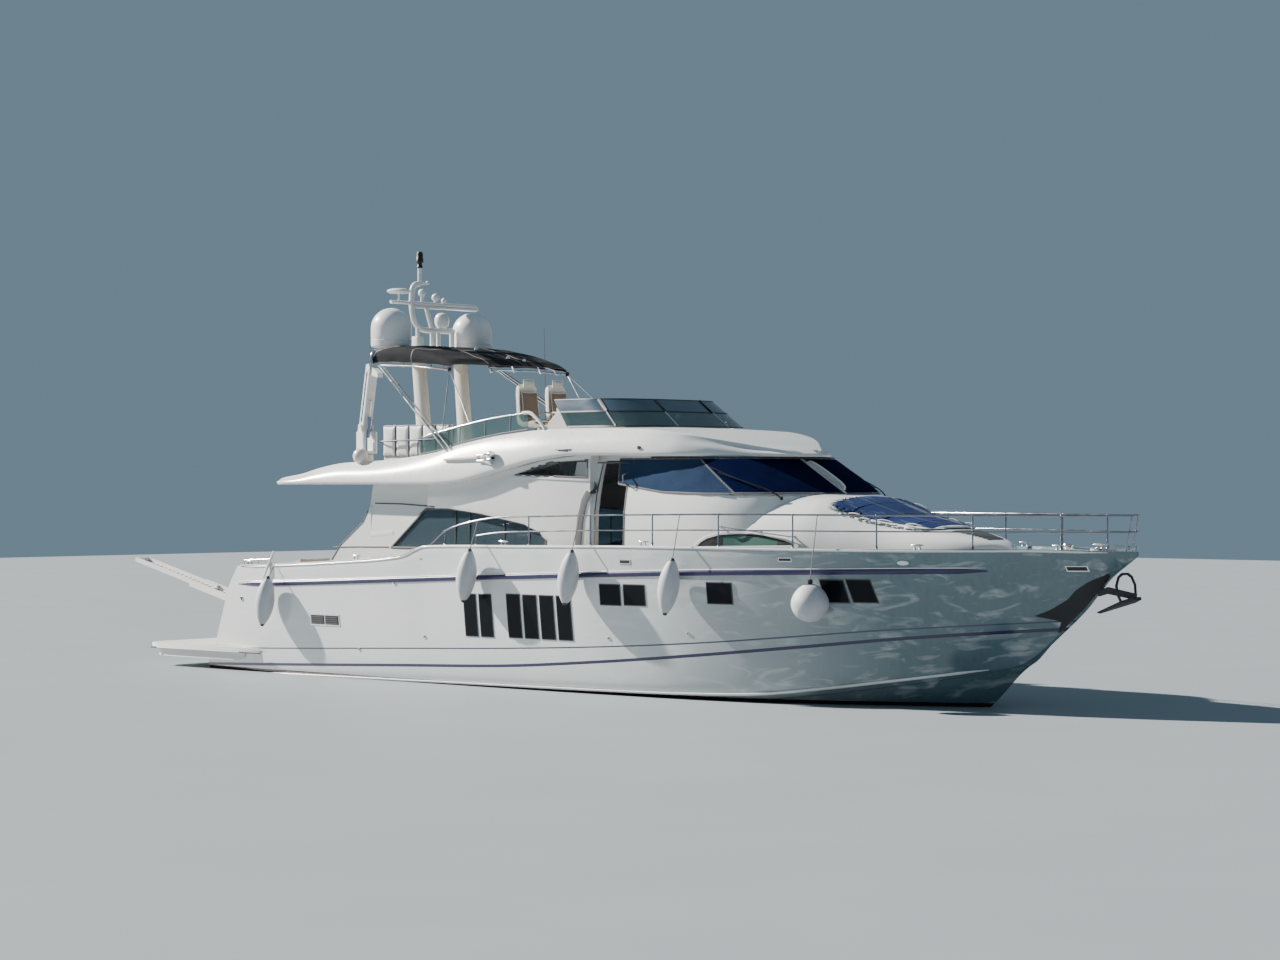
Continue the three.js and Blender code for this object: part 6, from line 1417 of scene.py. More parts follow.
merged("mast_feet", [block((MAST_X - 0.10, -0.435, 6.93), (MAST_X + 0.10, -0.225, 7.19), 0.03),
                     *[block((MAST_X - 0.08, y - 0.08, 6.93), (MAST_X + 0.08, y + 0.08, 6.985), 0.02)
                       for y in (0.10, 0.28, 0.69)]],
       slot="gelcoat", material=gelcoat, angle=40)
for side_name, side in SIDES.items():
    collar = [(0.0, 0.0), (0.30, 0.0), (0.30, 0.02), (0.0, 0.02)]
    loft(f"dome_collar_{side_name}", turned([(0.0, 0.0), (0.437, 0.0), (0.441, 0.006), (0.437, 0.012), (0.0, 0.012)],
                                            (-5.54, 1.2 * side, 6.9253 + 0.136), 56), slot="gelcoat",
         material=dome_white, angle=40)

# Whip antennas
for name, foot, tip in (("starboard", (-5.75, -1.65, 4.14), (-5.72, -1.64, 7.37)),
                        ("port", (-4.45, 2.40, 4.50), (-4.50, 2.38, 7.45))):
    merged(f"whip_{name}", [
        pipe_rings(np.linspace(foot, tip, 12), np.linspace(0.012, 0.004, 12), 8),
        pipe_rings(np.linspace(foot, np.add(foot, np.subtract(tip, foot) * 0.12), 5), [0.026, 0.024, 0.024, 0.020, 0.014],
                   12)], slot="dark_trim", material=grey_rubber, angle=60)

# Satellite domes
DOME = [(0.0, 0.0), (0.405, 0.0), (0.428, 0.02), (0.433, 0.06), (0.434, 0.11), (0.436, 0.125), (0.430, 0.132), (0.430, 0.142)]
DOME += [(0.433, 0.15), (0.435, 0.27)]
DOME += [(0.435 * math.cos(a), 0.395 + 0.435 * math.sin(a)) for a in np.linspace(0.0, math.pi / 2, 16)[:-1]] + [(0.0, 0.83)]
for side_name, side in SIDES.items():
    loft(f"dome_{side_name}_skin", turned(DOME, (-5.54, 1.2 * side, 6.9253), 56), slot="gelcoat",
         material=dome_white, angle=40, replaces=(f"dome_{side_name}",))

# Fenders
FENDERS = [(-7.43, 2.08), (-1.23, 2.76), (1.51, 2.78), (3.94, 2.66)]
FENDER_LENGTH = 1.08
FENDER_LEAN = math.radians(10.5)
LEAN = np.array([[math.cos(FENDER_LEAN), 0, math.sin(FENDER_LEAN)], [0, 1, 0],
                 [-math.sin(FENDER_LEAN), 0, math.cos(FENDER_LEAN)]])


def along_attribute(piece, low, high):
    """Attribute along: the share of the piece's height between low and high."""
    co = np.zeros(len(piece.data.vertices) * 3)
    piece.data.vertices.foreach_get("co", co)
    layer = piece.data.attributes.new("along", "FLOAT", "POINT")
    layer.data.foreach_set("value", np.clip((co[2::3] - low) / (high - low), 0, 1).astype(np.float32))


for k, (x, top) in enumerate(FENDERS):
    reach = float(topside(x, top)) + 0.206
    low = top - FENDER_LENGTH
    share = np.linspace(0, 1, 40)
    radius = 0.2 * np.clip(np.sin(np.pi * share), 0, 1) ** 0.62
    radius = np.maximum(radius, 0.035)
    profile = [(0.0, 0.0), *zip(radius, share * FENDER_LENGTH), (0.0, FENDER_LENGTH)]
    rings = turned(profile, (0, 0, -FENDER_LENGTH), 32) @ LEAN.T + np.array([x, -reach, top])
    piece = loft(f"fender_{k + 1}_skin", rings, slot="fender_skin",
                 material=fender_vinyl, angle=60, replaces=(f"fender_{k + 1}",))
    along_attribute(piece, low, top)
    railed = x > -2.85
    hook_y = -(float(sheer_half(x)) - 0.045 + 0.032) if railed else -(float(sheer_half(x)) - 0.02)
    rail_z = float(np.interp(x, [-2.85, -2.1, -1.21, -0.59, 2.04, 4.41, 11.8], [2.85, 3.08, 3.29, 3.38, 3.44, 3.47, 3.48]))
    hook_z = rail_z if railed else float(sheer_height(x)) + 0.05
    loft(f"fender_line_{k + 1}", bar((x, -reach, top - 0.02), (x, hook_y, hook_z), 0.009, 8, 6), slot="fender_skin",
         material=rope, angle=60)

BALL = {"x": 6.84, "z": 1.90, "radius": 0.345}
reach = float(topside(BALL["x"], BALL["z"] + 0.23)) + BALL["radius"] + 0.006
angle = np.linspace(-np.pi / 2, np.pi / 2, 30)
pear = [(BALL["radius"] * math.cos(a) * (1 - 0.10 * max(0, math.sin(a))), BALL["radius"] * math.sin(a)) for a in angle]
pear[0] = (0.0, -BALL["radius"])
pear[-1] = (0.05, BALL["radius"] + 0.01)
pear += [(0.045, BALL["radius"] + 0.075), (0.0, BALL["radius"] + 0.08)]
ball = loft("ball_fender_skin", turned(pear, (BALL["x"], -reach, BALL["z"]), 48), slot="fender_skin",
            material=fender_vinyl, angle=60, replaces=("ball_fender",))
along_attribute(ball, BALL["z"] - 0.42, BALL["z"] + 0.36)
hook = (BALL["x"], -(float(sheer_half(BALL["x"])) - 0.045 + 0.034), 3.475)
loft("ball_fender_line", bar((BALL["x"], -reach, BALL["z"] + 0.4), hook, 0.009, 8, 6), slot="fender_skin",
     material=rope, angle=60)

# Bow rails: top rail, mid rail, stanchions with sockets, and the rounded pulpit
RAIL_HEIGHTS = [
    (-2.87, 2.60), (-2.75, 2.72), (-2.48, 2.91), (-2.19, 3.09), (-1.85, 3.20), (-1.26, 3.31), (-0.59, 3.38),
    (2.04, 3.44), (4.41, 3.47), (11.8, 3.48),
]
STANCHIONS = [-1.30, 0.15, 1.75, 3.28, 4.78, 6.33, 7.94, 9.60, 11.0]
RAIL_INSET = 0.045
MID_RAIL_DROP = 0.29
PULPIT = [(11.85, 0.29, 3.482), (11.97, 0.205, 3.485), (12.045, 0.095, 3.487), (12.062, 0.006, 3.488)]


def rail_height(x):
    return np.interp(x, [p[0] for p in RAIL_HEIGHTS], [p[1] for p in RAIL_HEIGHTS])


def rail_path(xs, side, drop=0.0):
    """Rail over the sheer: inset from the hull's edge, at the rail's height less a drop, and round the pulpit."""
    run = np.stack([xs, side * (sheer_half(xs) - RAIL_INSET), rail_height(xs) - drop], -1)
    nose = np.asarray(PULPIT) * [1, side, 1] - [0, 0, drop]
    return through(np.vstack([run, nose]), 150)


for side_name, side in SIDES.items():
    start = np.array([[-2.87, side * (float(sheer_half(-2.87)) - RAIL_INSET), 2.50]])
    xs = np.r_[-2.85, -2.70, -2.48, -2.19, -1.85, -1.26, -0.59, np.linspace(0.4, 11.5, 20)]
    parts = [pipe_rings(np.vstack([start, rail_path(xs, side)]), 0.017, 12)]
    parts.append(pipe_rings(rail_path(np.linspace(-1.30, 11.5, 24), side, MID_RAIL_DROP), 0.013, 10))
    for x in [-2.19, *STANCHIONS]:
        y = side * (float(sheer_half(x)) - RAIL_INSET)
        foot = float(sheer_height(x))
        top = float(rail_height(x))
        parts.append(pipe_rings(np.linspace((x, y, foot), (x, y, top), 6), [0.016, 0.015, 0.015, 0.015, 0.015, 0.015], 10))
        parts.append(turned([(0.0, 0.0), (0.036, 0.0), (0.036, 0.008), (0.022, 0.016), (0.021, 0.07), (0.0, 0.071)],
                            (x, y, foot - 0.002), 14))
        parts.append(turned([(0.0, -0.024), (0.020, -0.018), (0.025, 0.0), (0.020, 0.018), (0.0, 0.024)], (x, y, top), 12))
        if x >= STANCHIONS[0]:
            parts.append(turned([(0.0, -0.018), (0.018, -0.013), (0.021, 0.0), (0.018, 0.013), (0.0, 0.018)],
                                (x, y, top - MID_RAIL_DROP), 12))
    parts.append(turned([(0.0, -0.035), (0.030, -0.028), (0.042, 0.0), (0.030, 0.028), (0.0, 0.035)],
                        (-2.87, start[0][1], 2.53), 16))
    parts.append(bar((11.92, 0.105 * side, 2.868), (12.045, 0.095 * side, 3.487), 0.016, 10))
    merged(f"bow_rail_{side_name}_skin", parts, slot="stainless", material=dark_reflection_steel, angle=60,
           replaces=(f"bow_rail_{side_name}",))

AFT_RAIL = [(-4.30, 2.385), (-5.10, 2.39), (-5.90, 2.40), (-6.60, 2.41), (-7.25, 2.40)]
rail_line = [(x, y, 4.98) for x, y in AFT_RAIL]
parts = [pipe_rings(through(rail_line, 120), 0.017, 12)]
parts += [pipe_rings(through(np.asarray(rail_line) - [0, 0, drop], 120), 0.010, 8) for drop in (0.17, 0.33, 0.49)]
for x, y, z in rail_line:
    foot = float(fly_high(x))
    parts.append(bar((x, y, foot), (x, y, z), 0.014, 10))
    parts.append(turned([(0.0, 0.0), (0.034, 0.0), (0.034, 0.008), (0.019, 0.014), (0.018, 0.05), (0.0, 0.051)],
                        (x, y, foot - 0.002), 12))
merged("fly_aft_rail_skin", parts, slot="stainless", material=steel, angle=60, replaces=("fly_aft_rail",))


# Small fittings on the topsides
def boss_on_hull(x, z, radius, height, side, tall=1.0, sides=20):
    """Rings of a round or oval fitting on the topsides, standing out by its height with a domed face."""
    turn = np.linspace(0, 2 * np.pi, sides, endpoint=False)
    return [on_topside(x + radius * grow * np.cos(turn), z + radius * tall * grow * np.sin(turn), out, side)
            for grow, out in ((1.0, -0.010), (1.0, height * 0.6), (0.86, height), (0.25, height * 1.05))]


HULL_BOSSES = [(-8.64, 1.56, 0.055, 1), (-7.86, 1.56, 0.045, 1), (-3.67, 2.02, 0.05, 1), (8.39, 2.63, 0.10, 0.45),
               (-4.9, 0.62, 0.035, 1), (-2.9, 0.95, 0.035, 1), (2.1, 1.10, 0.035, 1), (4.0, 1.25, 0.03, 1)]
# Black wedge on the stem: heights, and how far aft of the stem it reaches at each
STEM_WEDGE = ((1.40, 1.60, 1.69, 1.80, 2.0, 2.16, 2.34, 2.46), (0.04, 0.16, 0.66, 0.52, 0.36, 0.34, 0.22, 0.03))
HULL_VENTS = [rectangle(2.50, 2.76, 2.52, 2.61), rectangle(6.05, 6.32, 2.62, 2.70), rectangle(10.98, 11.32, 2.50, 2.60)]
for side_name, side in SIDES.items():
    merged(f"hull_fittings_{side_name}", [boss_on_hull(x, z, r, 0.014, side, tall) for x, z, r, tall in HULL_BOSSES],
           slot="stainless", material=steel, angle=40)
    merged(f"hull_outlets_{side_name}", [boss_on_hull(x, z, r * 0.55, 0.017, side, tall)
                                         for x, z, r, tall in HULL_BOSSES if tall == 1],
           slot="dark_trim", material=black_plastic, angle=40)
    merged(f"side_vents_{side_name}", [panel_on_hull(w, 0.010, side=side) for w in HULL_VENTS], slot="stainless",
           material=steel, angle=40)
    merged(f"side_vent_slots_{side_name}", [panel_on_hull(w, 0.014, 0.018, side=side) for w in HULL_VENTS],
           slot="dark_trim", material=black_plastic, angle=40)
    spray = np.linspace(-8.2, 9.3, 120)
    strip_on_hull(f"spray_rail_{side_name}", spray, lambda x: float(chine_height(x)) + 0.02, 0.028, 0.035, gelcoat,
                  side)
    strip_on_hull(f"sheer_mould_{side_name}", np.linspace(-8.5, 11.7, 150), lambda x: float(sheer_height(x)) - 0.022,
                  0.020, 0.014, gelcoat, side)
    rows = []
    for z in np.linspace(1.40, 2.46, 30):
        end = float(np.interp(z, [1.31, 1.84, 2.415], [10.44, 11.05, 11.58])) - 0.012
        level = np.linspace(end - float(np.interp(z, STEM_WEDGE[0], STEM_WEDGE[1])), end, 7)
        rows.append(np.concatenate([on_topside(level, z, 0.009, side), on_topside(level, z, -0.012, side)[::-1]]))
    loft(f"stem_wedge_{side_name}", rows, slot="dark_trim", material=black_plastic, angle=40)

# Cap of the after bulwark, its dark treads, the low stern rail, the posts and the cleats
for side_name, side in SIDES.items():
    xs = np.linspace(-8.62, -3.05, 60)
    crest = np.stack([xs, side * (sheer_half(xs) - 0.048), sheer_height(xs) + 0.010], -1)
    loft(f"bulwark_cap_{side_name}", strip_rings(crest, (0, 0, 1), 0.128, 0.022), slot="gelcoat", material=warm_gelcoat,
         angle=40)
    treads = []
    for low, high in ((-6.55, -5.66), (-4.36, -3.58), (-8.25, -7.72)):
        pick = np.linspace(low, high, 12)
        treads.append(strip_rings(np.stack([pick, side * (sheer_half(pick) - 0.048), sheer_height(pick) + 0.031], -1),
                                  (0, 0, 1), 0.10, 0.008))
    merged(f"bulwark_treads_{side_name}", treads, slot="dark_trim", material=black_plastic, angle=40)
    xs = np.linspace(-8.55, -7.62, 16)
    low_rail = np.stack([xs, side * (sheer_half(xs) - 0.05), sheer_height(xs) + 0.125], -1)
    ends = [np.vstack([low_rail[k], low_rail[k] - [0, 0, 0.11]]) for k in (0, 8, -1)]
    merged(f"stern_rail_{side_name}", [pipe_rings(low_rail, 0.015, 12), *[bar(a, b, 0.012, 10) for a, b in ends]],
           slot="stainless", material=steel, angle=60)
    lean = [(-7.78, side * 2.84, 1.96), (-7.66, side * 2.83, 2.22), (-7.46, side * 2.80, 2.60)]
    merged(f"side_post_{side_name}", [pipe_rings(through(lean, 10), 0.027, 12),
                                      boss_on_hull(-7.78, 1.97, 0.05, 0.03, side)],
           slot="gelcoat", material=white_vinyl, angle=60)

CLEATS = [(-8.35, 0.048), (-4.85, 0.048), (-0.6, 0.10), (3.0, 0.12), (8.6, 0.16), (10.9, 0.20)]


def cleat_rings(x, y, z, side):
    """Horned cleat: a bar with tapering ends over two flared feet, turned along the sheer."""
    horn = np.linspace((x - 0.14, y, z + 0.075), (x + 0.14, y, z + 0.075), 9)
    thick = [0.006, 0.013, 0.017, 0.019, 0.020, 0.019, 0.017, 0.013, 0.006]
    feet = [turned([(0.0, 0.0), (0.030, 0.0), (0.028, 0.008), (0.014, 0.03), (0.014, 0.07), (0.0, 0.072)],
                   (x + shift, y, z), 12) for shift in (-0.055, 0.055)]
    return [pipe_rings(horn, thick, 10), *feet]


for side_name, side in SIDES.items():
    parts = []
    for x, inset in CLEATS:
        y = side * (float(sheer_half(x)) - inset)
        base = float(sheer_height(x)) + (0.030 if x < -3 else 0.008)
        parts += cleat_rings(x, y, base, side)
    merged(f"cleats_{side_name}", parts, slot="stainless", material=steel, angle=50)

# Bathing platform: a grey strip along each side, a little below its top
for side_name, side in SIDES.items():
    low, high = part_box("bathing_platform")
    edge = [(high[0] + 0.02, side * (abs(low[1]) - 0.02), high[2] - 0.10), (low[0] + 0.35, side * (abs(low[1]) - 0.02), high[2] - 0.10)]
    merged(f"platform_line_{side_name}", [strip_rings(np.linspace(*edge, 20), (0, side, 0), 0.035, 0.012, 0.03)],
           slot="dark_trim", material=grey_rubber, angle=50)

# Ground tackle: rollers, chain and the stopper on the foredeck
links = []
for k in range(26):
    x = 10.78 + 0.034 * k
    z = 2.90 - 0.0012 * k
    turn = np.linspace(0, 2 * np.pi, 13)
    flat = k % 2 == 0
    ring = [(x + 0.028 * math.cos(a), 0.016 * math.sin(a) if flat else 0.0, z + (0.0 if flat else 0.016 * math.sin(a)))
            for a in turn]
    links.append(pipe_rings(ring, 0.006, 6))
merged("anchor_chain", links, slot="stainless", material=galvanised, angle=80)
merged("bow_roller", [
    *[strip_rings(np.linspace((11.55, y, 2.90), (12.05, y, 2.885), 8), (0, 0, 1), 0.014, 0.07) for y in (-0.06, 0.06)],
    pipe_rings(np.linspace((12.0, -0.055, 2.91), (12.0, 0.055, 2.91), 7), [0.035, 0.03, 0.024, 0.022, 0.024, 0.03, 0.035],
               16)], slot="stainless", material=steel, angle=50)
merged("chain_stopper", [block((11.15, -0.06, 2.862), (11.33, 0.06, 2.90), 0.015),
                         bar((11.24, -0.05, 2.93), (11.24, 0.05, 2.93), 0.010, 10)],
       slot="stainless", material=steel, angle=50)

# Horn bracket, lamps and small vents on the fly deck's side
for side_name, side in SIDES.items():
    shelf = landed("fly_deck", np.linspace((-2.50, 2.6 * side, 4.52), (-1.50, 2.6 * side, 4.56), 12), (0, -side, 0))
    loft(f"horn_shelf_{side_name}", strip_rings(shelf, (0, side, 0), 0.045, 0.085), slot="gelcoat",
         material=white_vinyl, angle=50)
    base = landed("fly_deck", [(-1.28, 2.6 * side, 4.55)], (0, -side, 0))[0]
    flare = [0.018, 0.022, 0.026, 0.032, 0.045, 0.072, 0.085, 0.080]
    horns = []
    for drop in (0.0, -0.11):
        path = np.linspace(base + [-0.22, 0.07 * side, drop + 0.05], base + [0.22, 0.07 * side, drop + 0.05], 8)
        horns.append(pipe_rings(path, flare, 16))
    horns.append(bar(base + [-0.05, -0.01 * side, 0.0], base + [-0.05, 0.08 * side, 0.0], 0.02, 10))
    merged(f"horns_{side_name}", horns, slot="stainless", material=steel, angle=50)
    frame_line = landed("fly_deck", np.linspace((0.52, 2.55 * side, 4.66), (0.93, 2.55 * side, 4.67), 6), (0, -side, 0))
    merged(f"fly_vent_{side_name}", [strip_rings(frame_line, (0, side, 0), 0.085, 0.012)], slot="stainless",
           material=steel, angle=50)
    merged(f"fly_vent_slot_{side_name}", [strip_rings(frame_line[1:-1] + [0, 0.012 * side, 0], (0, side, 0), 0.045, 0.004)],
           slot="dark_trim", material=black_plastic, angle=50)
    spot = landed("fly_deck", [(2.55, 2.4 * side, 4.72)], (0, -side, 0))[0]
    loft(f"side_light_{side_name}", bar(spot - [0, 0.02 * side, 0], spot + [0, 0.035 * side, 0], 0.035, 18, 4),
         slot="dark_trim", material=black_plastic, angle=50)
    groove = landed("fly_deck", np.linspace((-7.1, 2.66 * side, 4.10), (0.0, 2.6 * side, 4.60), 90)
                    * [1, 1, 0] + np.stack([np.zeros(90), np.zeros(90), np.interp(
                        np.linspace(-7.1, 0.0, 90), [-7.1, -3.03, -1.03, 0.0], [4.10, 4.10, 4.37, 4.58])], -1), (0, -side, 0))
    loft(f"fly_side_line_{side_name}", strip_rings(groove, (0, side, 0), 0.020, 0.006), slot="dark_trim",
         material=grey_rubber, angle=50)

# Crane: the round cover of its winch, and a hose that runs up the boom in clips
winch = [(0.0, -0.165), (0.08, -0.145), (0.14, -0.085), (0.165, 0.0), (0.14, 0.085), (0.08, 0.145), (0.0, 0.165)]
merged("crane_winch_cover", [turned(winch, (-5.17, -2.42, 4.61), 32), block((-5.25, -2.46, 4.42), (-5.09, -2.36, 4.54), 0.02)],
       slot="gelcoat", material=pink_gelcoat, angle=60)
TURN = math.radians(-20)
TILT = math.radians(73)


def on_boom(along, across, side):
    """Point of the boom's own frame: along it, across it upwards and to its side, from the luffing pin."""
    x = -0.06 + along * math.cos(TILT) - across * math.sin(TILT)
    z = 5.20 + along * math.sin(TILT) + across * math.cos(TILT)
    return (-5.35 + x * math.cos(TURN) - side * math.sin(TURN), -2.08 + x * math.sin(TURN) + side * math.cos(TURN), z)


hose = [on_boom(a, 0.03, -0.108) for a in np.linspace(0.12, 1.22, 24)]
clips = [bar(on_boom(a, 0.03, -0.098), on_boom(a, 0.03, -0.122), 0.016, 10) for a in (0.2, 0.52, 0.84, 1.16)]
# The hose's blue-grey is painted shade along the boom.
merged("crane_hose", [pipe_rings(hose, 0.009, 8), *clips], slot="dark_trim", material=boom_shade_blue, angle=60,
       body="crane_boom_body")

# Passerelle: treads across the two beams
low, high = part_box("bridge_outer")
ahead = np.array([high[0] - low[0], 0, low[2] - high[2]])


def deck_plank(node, body, count, name):
    """Thin planks laid on a gangway's top, spaced evenly along its length where a ray from above meets it."""
    a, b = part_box(node)
    middle = (a[1] + b[1]) / 2
    half = (b[1] - a[1]) / 2 - 0.06
    rows = []
    for x in np.linspace(a[0] + 0.16, b[0] - 0.16, count):
        ends = landed(node, [(x, middle - half, b[2] + 0.4), (x, middle + half, b[2] + 0.4)], (0, 0, -1))
        if abs(ends[0][2] - ends[1][2]) < 0.01 and ends[0][2] < b[2] + 0.001:
            rows.append(strip_rings(np.linspace(ends[0], ends[1], 4), (0.25, 0, 1), 0.055, 0.007))
    merged(name, rows, slot="teak_deck", material=pale_teak, angle=40, body=body)


deck_plank("bridge_outer", "bridge_body", 19, "bridge_outer_treads")
deck_plank("bridge_inner", "bridge_inner_body", 16, "bridge_inner_treads")


# Sun pad on the coachroof: x, half-width, top at the edge, top at the middle
SUNPAD = [(6.14, 1.50, 3.68, 3.87), (6.4, 1.49, 3.57, 3.79), (6.9, 1.37, 3.43, 3.63), (7.5, 1.13, 3.30, 3.44),
          (8.1, 0.88, 3.23, 3.32), (8.32, 0.72, 3.20, 3.27)]
pad_half, pad_edge, pad_middle = columns(SUNPAD)


def roof_height(x, y):
    """Height of the coachroof under a point of the pad, from its section's cos and sine powers."""
    share = np.clip(np.abs(y) / coachroof_half(x), 0, 0.995) ** (1 / 0.55)
    return 2.31 + (coachroof_top(x) - 2.31) * (1 - share ** 2) ** 0.3


def pad_top(u, x):
    """Top of the pad: crowned between its edges."""
    rise = pad_edge(x) + (pad_middle(x) - pad_edge(x)) * (1 - np.abs(u) ** 2.2)
    return rise


s = np.sin(np.linspace(-1, 1, 61) * np.pi / 2)
u, v = np.meshgrid(s, (np.sin(np.linspace(-1, 1, 61) * np.pi / 2) + 1) / 2)
x = 6.17 + 2.12 * v
y = u * (pad_half(x) - 0.015)
base = roof_height(x, y) + 0.006
edge = (1 - np.abs(u) ** 8) ** 0.35 * (1 - np.abs(2 * v - 1) ** 12) ** 0.35
over = base + np.maximum(pad_top(u, x) - 0.012 - base, 0.03) * edge
pad = shell("sunpad_cushion", np.stack([x, y, over], -1), np.stack([x, y, base + 0.02 * (1 - edge)], -1), slot="sunpad_cover",
            material=sunpad_cover, angle=60, replaces=("foredeck_sunpad",))
swollen(pad, 0.028, 0.012)
co = np.zeros(len(pad.data.vertices) * 3)
pad.data.vertices.foreach_get("co", co)
co = co.reshape(-1, 3)
reach = np.minimum(pad_half(co[:, 0]) - np.abs(co[:, 1]), np.minimum(co[:, 0] - 6.14, 8.32 - co[:, 0]) * 1.2)
layer = pad.data.attributes.new("from_edge", "FLOAT", "POINT")
layer.data.foreach_set("value", reach.astype(np.float32))


def over_pad(points, lift=0.018):
    """Points given as x and y, laid on the crowned top of the pad."""
    p = np.asarray(points, float)
    return np.stack([p[:, 0], p[:, 1], pad_top(p[:, 1] / pad_half(p[:, 0]), p[:, 0]) + lift - 0.012], -1)


seams = []
for share in (-0.33, 0.33):
    line = np.linspace(6.30, 8.18, 40)
    seams.append(pipe_rings(over_pad(np.stack([line, share * pad_half(line)], -1), 0.012), 0.007, 8))
for at in (6.72, 7.30, 7.86):
    across = np.linspace(-0.86, 0.86, 40) * float(pad_half(at))
    seams.append(pipe_rings(over_pad(np.stack([np.full(40, at), across], -1), 0.012), 0.006, 8))
merged("sunpad_seams", seams, slot="sunpad_cover", material=navy_piping, angle=80)
straps = []
for side in (-1, 1):
    for at in (6.42, 6.92, 7.42, 7.92):
        line = at + np.linspace(-0.15, 0.15, 14)
        arc = over_pad(np.stack([line, side * (pad_half(line) - 0.10)], -1), 0.012)
        arc[:, 2] += 0.035 * np.sin(np.linspace(0, np.pi, 14)) ** 0.7
        straps.append(strip_rings(arc, (0, side * 0.4, 1), 0.035, 0.004, 0.001))
merged("sunpad_straps", straps, slot="sunpad_cover", material=white_tape, angle=60)
slats = []
for k in range(9):
    at = 8.47 + 0.075 * k
    line = np.linspace(-0.42, 0.42, 12) * (1.0 - 0.05 * k)
    slats.append(strip_rings(np.stack([np.full(12, at), line, roof_height(at, line) + 0.002], -1), (0.2, 0, 1), 0.052,
                             0.012))
merged("coachroof_slats", slats, slot="dark_trim", material=grey_rubber, angle=40)

# Upper helm seats: a moulded shell, and padded base, back and headrest
for side_name, at_y in (("starboard", -1.20), ("port", -0.35)):
    at_x = -1.24
    column = [
        turned([(0.0, 0.0), (0.205, 0.0), (0.205, 0.018), (0.09, 0.04), (0.062, 0.07), (0.055, 0.46), (0.12, 0.49),
                (0.0, 0.495)], (at_x, at_y, 4.704), 28)]
    merged(f"helm_seat_column_{side_name}", column, slot="stainless", material=steel, angle=50,
           replaces=(f"helm_seat_{side_name}",))
    outline = [(-0.20, 5.175), (-0.30, 5.21), (-0.345, 5.30), (-0.36, 5.55), (-0.385, 5.85), (-0.375, 6.00),
               (-0.33, 6.05), (-0.285, 6.02), (-0.285, 5.80), (-0.262, 5.38), (-0.225, 5.285), (-0.15, 5.245),
               (0.20, 5.235), (0.25, 5.215), (0.245, 5.185), (0.20, 5.17)]
    rows = []
    for share, draw in ((-1.0, 0.16), (-0.95, 0.06), (-0.82, 0.012), (-0.6, 0.0), (0.6, 0.0), (0.82, 0.012), (0.95, 0.06),
                        (1.0, 0.16)):
        p = np.asarray(outline)
        middle = p.mean(0)
        p = middle + (p - middle) * (1 - draw)
        rows.append(np.stack([at_x + p[:, 0], np.full(len(p), at_y + 0.255 * share), p[:, 1]], -1))
    loft(f"helm_seat_shell_{side_name}", rows, slot="gelcoat", material=warm_gelcoat, angle=40)
    for part, centre, long, thick in (
        ("base", (at_x + 0.03, at_y, 5.285), (0.215, 0, 0.01), (0, 0, 0.048)),
        ("back", (at_x - 0.195, at_y, 5.62), (-0.03, 0, 0.265), (0.060, 0, 0.008)),
        ("headrest", (at_x - 0.235, at_y, 6.05), (-0.008, 0, 0.085), (0.055, 0, 0.004)),
    ):
        cushion(f"helm_seat_{part}_{side_name}", centre, (0, 0.15 if part == "headrest" else 0.225, 0), long, thick,
                vinyl if part == "headrest" else tan_vinyl, welt=vinyl, most=0.009, crown=0.5)
    arms = []
    for s in (-1, 1):
        arm = [(at_x - 0.26, at_y + 0.27 * s, 5.38), (at_x - 0.14, at_y + 0.285 * s, 5.47),
               (at_x + 0.14, at_y + 0.285 * s, 5.46)]
        arms.append(pipe_rings(through(arm, 14), 0.019, 12))
    merged(f"helm_seat_arms_{side_name}", arms, slot="upholstery", material=vinyl, angle=60)

# Lounge on the fly deck: moulded bases, seat and back cushions with dark welts
FLY_BASES = [((-4.95, 1.45, 4.143), (-2.80, 2.19, 4.40)), ((-3.45, 0.25, 4.143), (-2.80, 1.449, 4.40))]
merged("fly_sofa_base", [block(low, high, 0.03) for low, high in FLY_BASES] + [
    block((-4.95, 2.10, 4.38), (-2.80, 2.20, 4.80), 0.03), block((-2.88, 0.25, 4.38), (-2.80, 2.19, 4.80), 0.03)],
    slot="gelcoat", material=gelcoat, angle=40, replaces=("fly_sofa",))
for k in range(3):
    at = -4.62 + 0.66 * k
    cushion(f"fly_sofa_seat_{k + 1}", (at, 1.73, 4.475), (0.325, 0, 0), (0, 0.275, 0), (0, 0, 0.078), white_vinyl,
            welt=navy_piping, most=0.012)
    cushion(f"fly_sofa_back_{k + 1}", (at, 2.045, 4.72), (0.325, 0, 0), (0, 0.02, 0.205), (0, 0.055, 0), white_vinyl,
            welt=navy_piping, most=0.010)
for k in range(2):
    at = 0.56 + 0.62 * k
    cushion(f"fly_sofa_seat_{k + 4}", (-3.17, at, 4.475), (0.275, 0, 0), (0, 0.305, 0), (0, 0, 0.078), white_vinyl,
            welt=navy_piping, most=0.012)
    cushion(f"fly_sofa_back_{k + 4}", (-2.935, at, 4.72), (0.02, 0, 0.205), (0, 0.305, 0), (0.050, 0, 0), white_vinyl,
            welt=navy_piping, most=0.010)
cushion("fly_sofa_corner", (-3.17, 1.84, 4.56), (0.26, 0, 0), (0, 0.24, 0), (0, 0, 0.10), white_vinyl,
        welt=navy_piping, most=0.012)

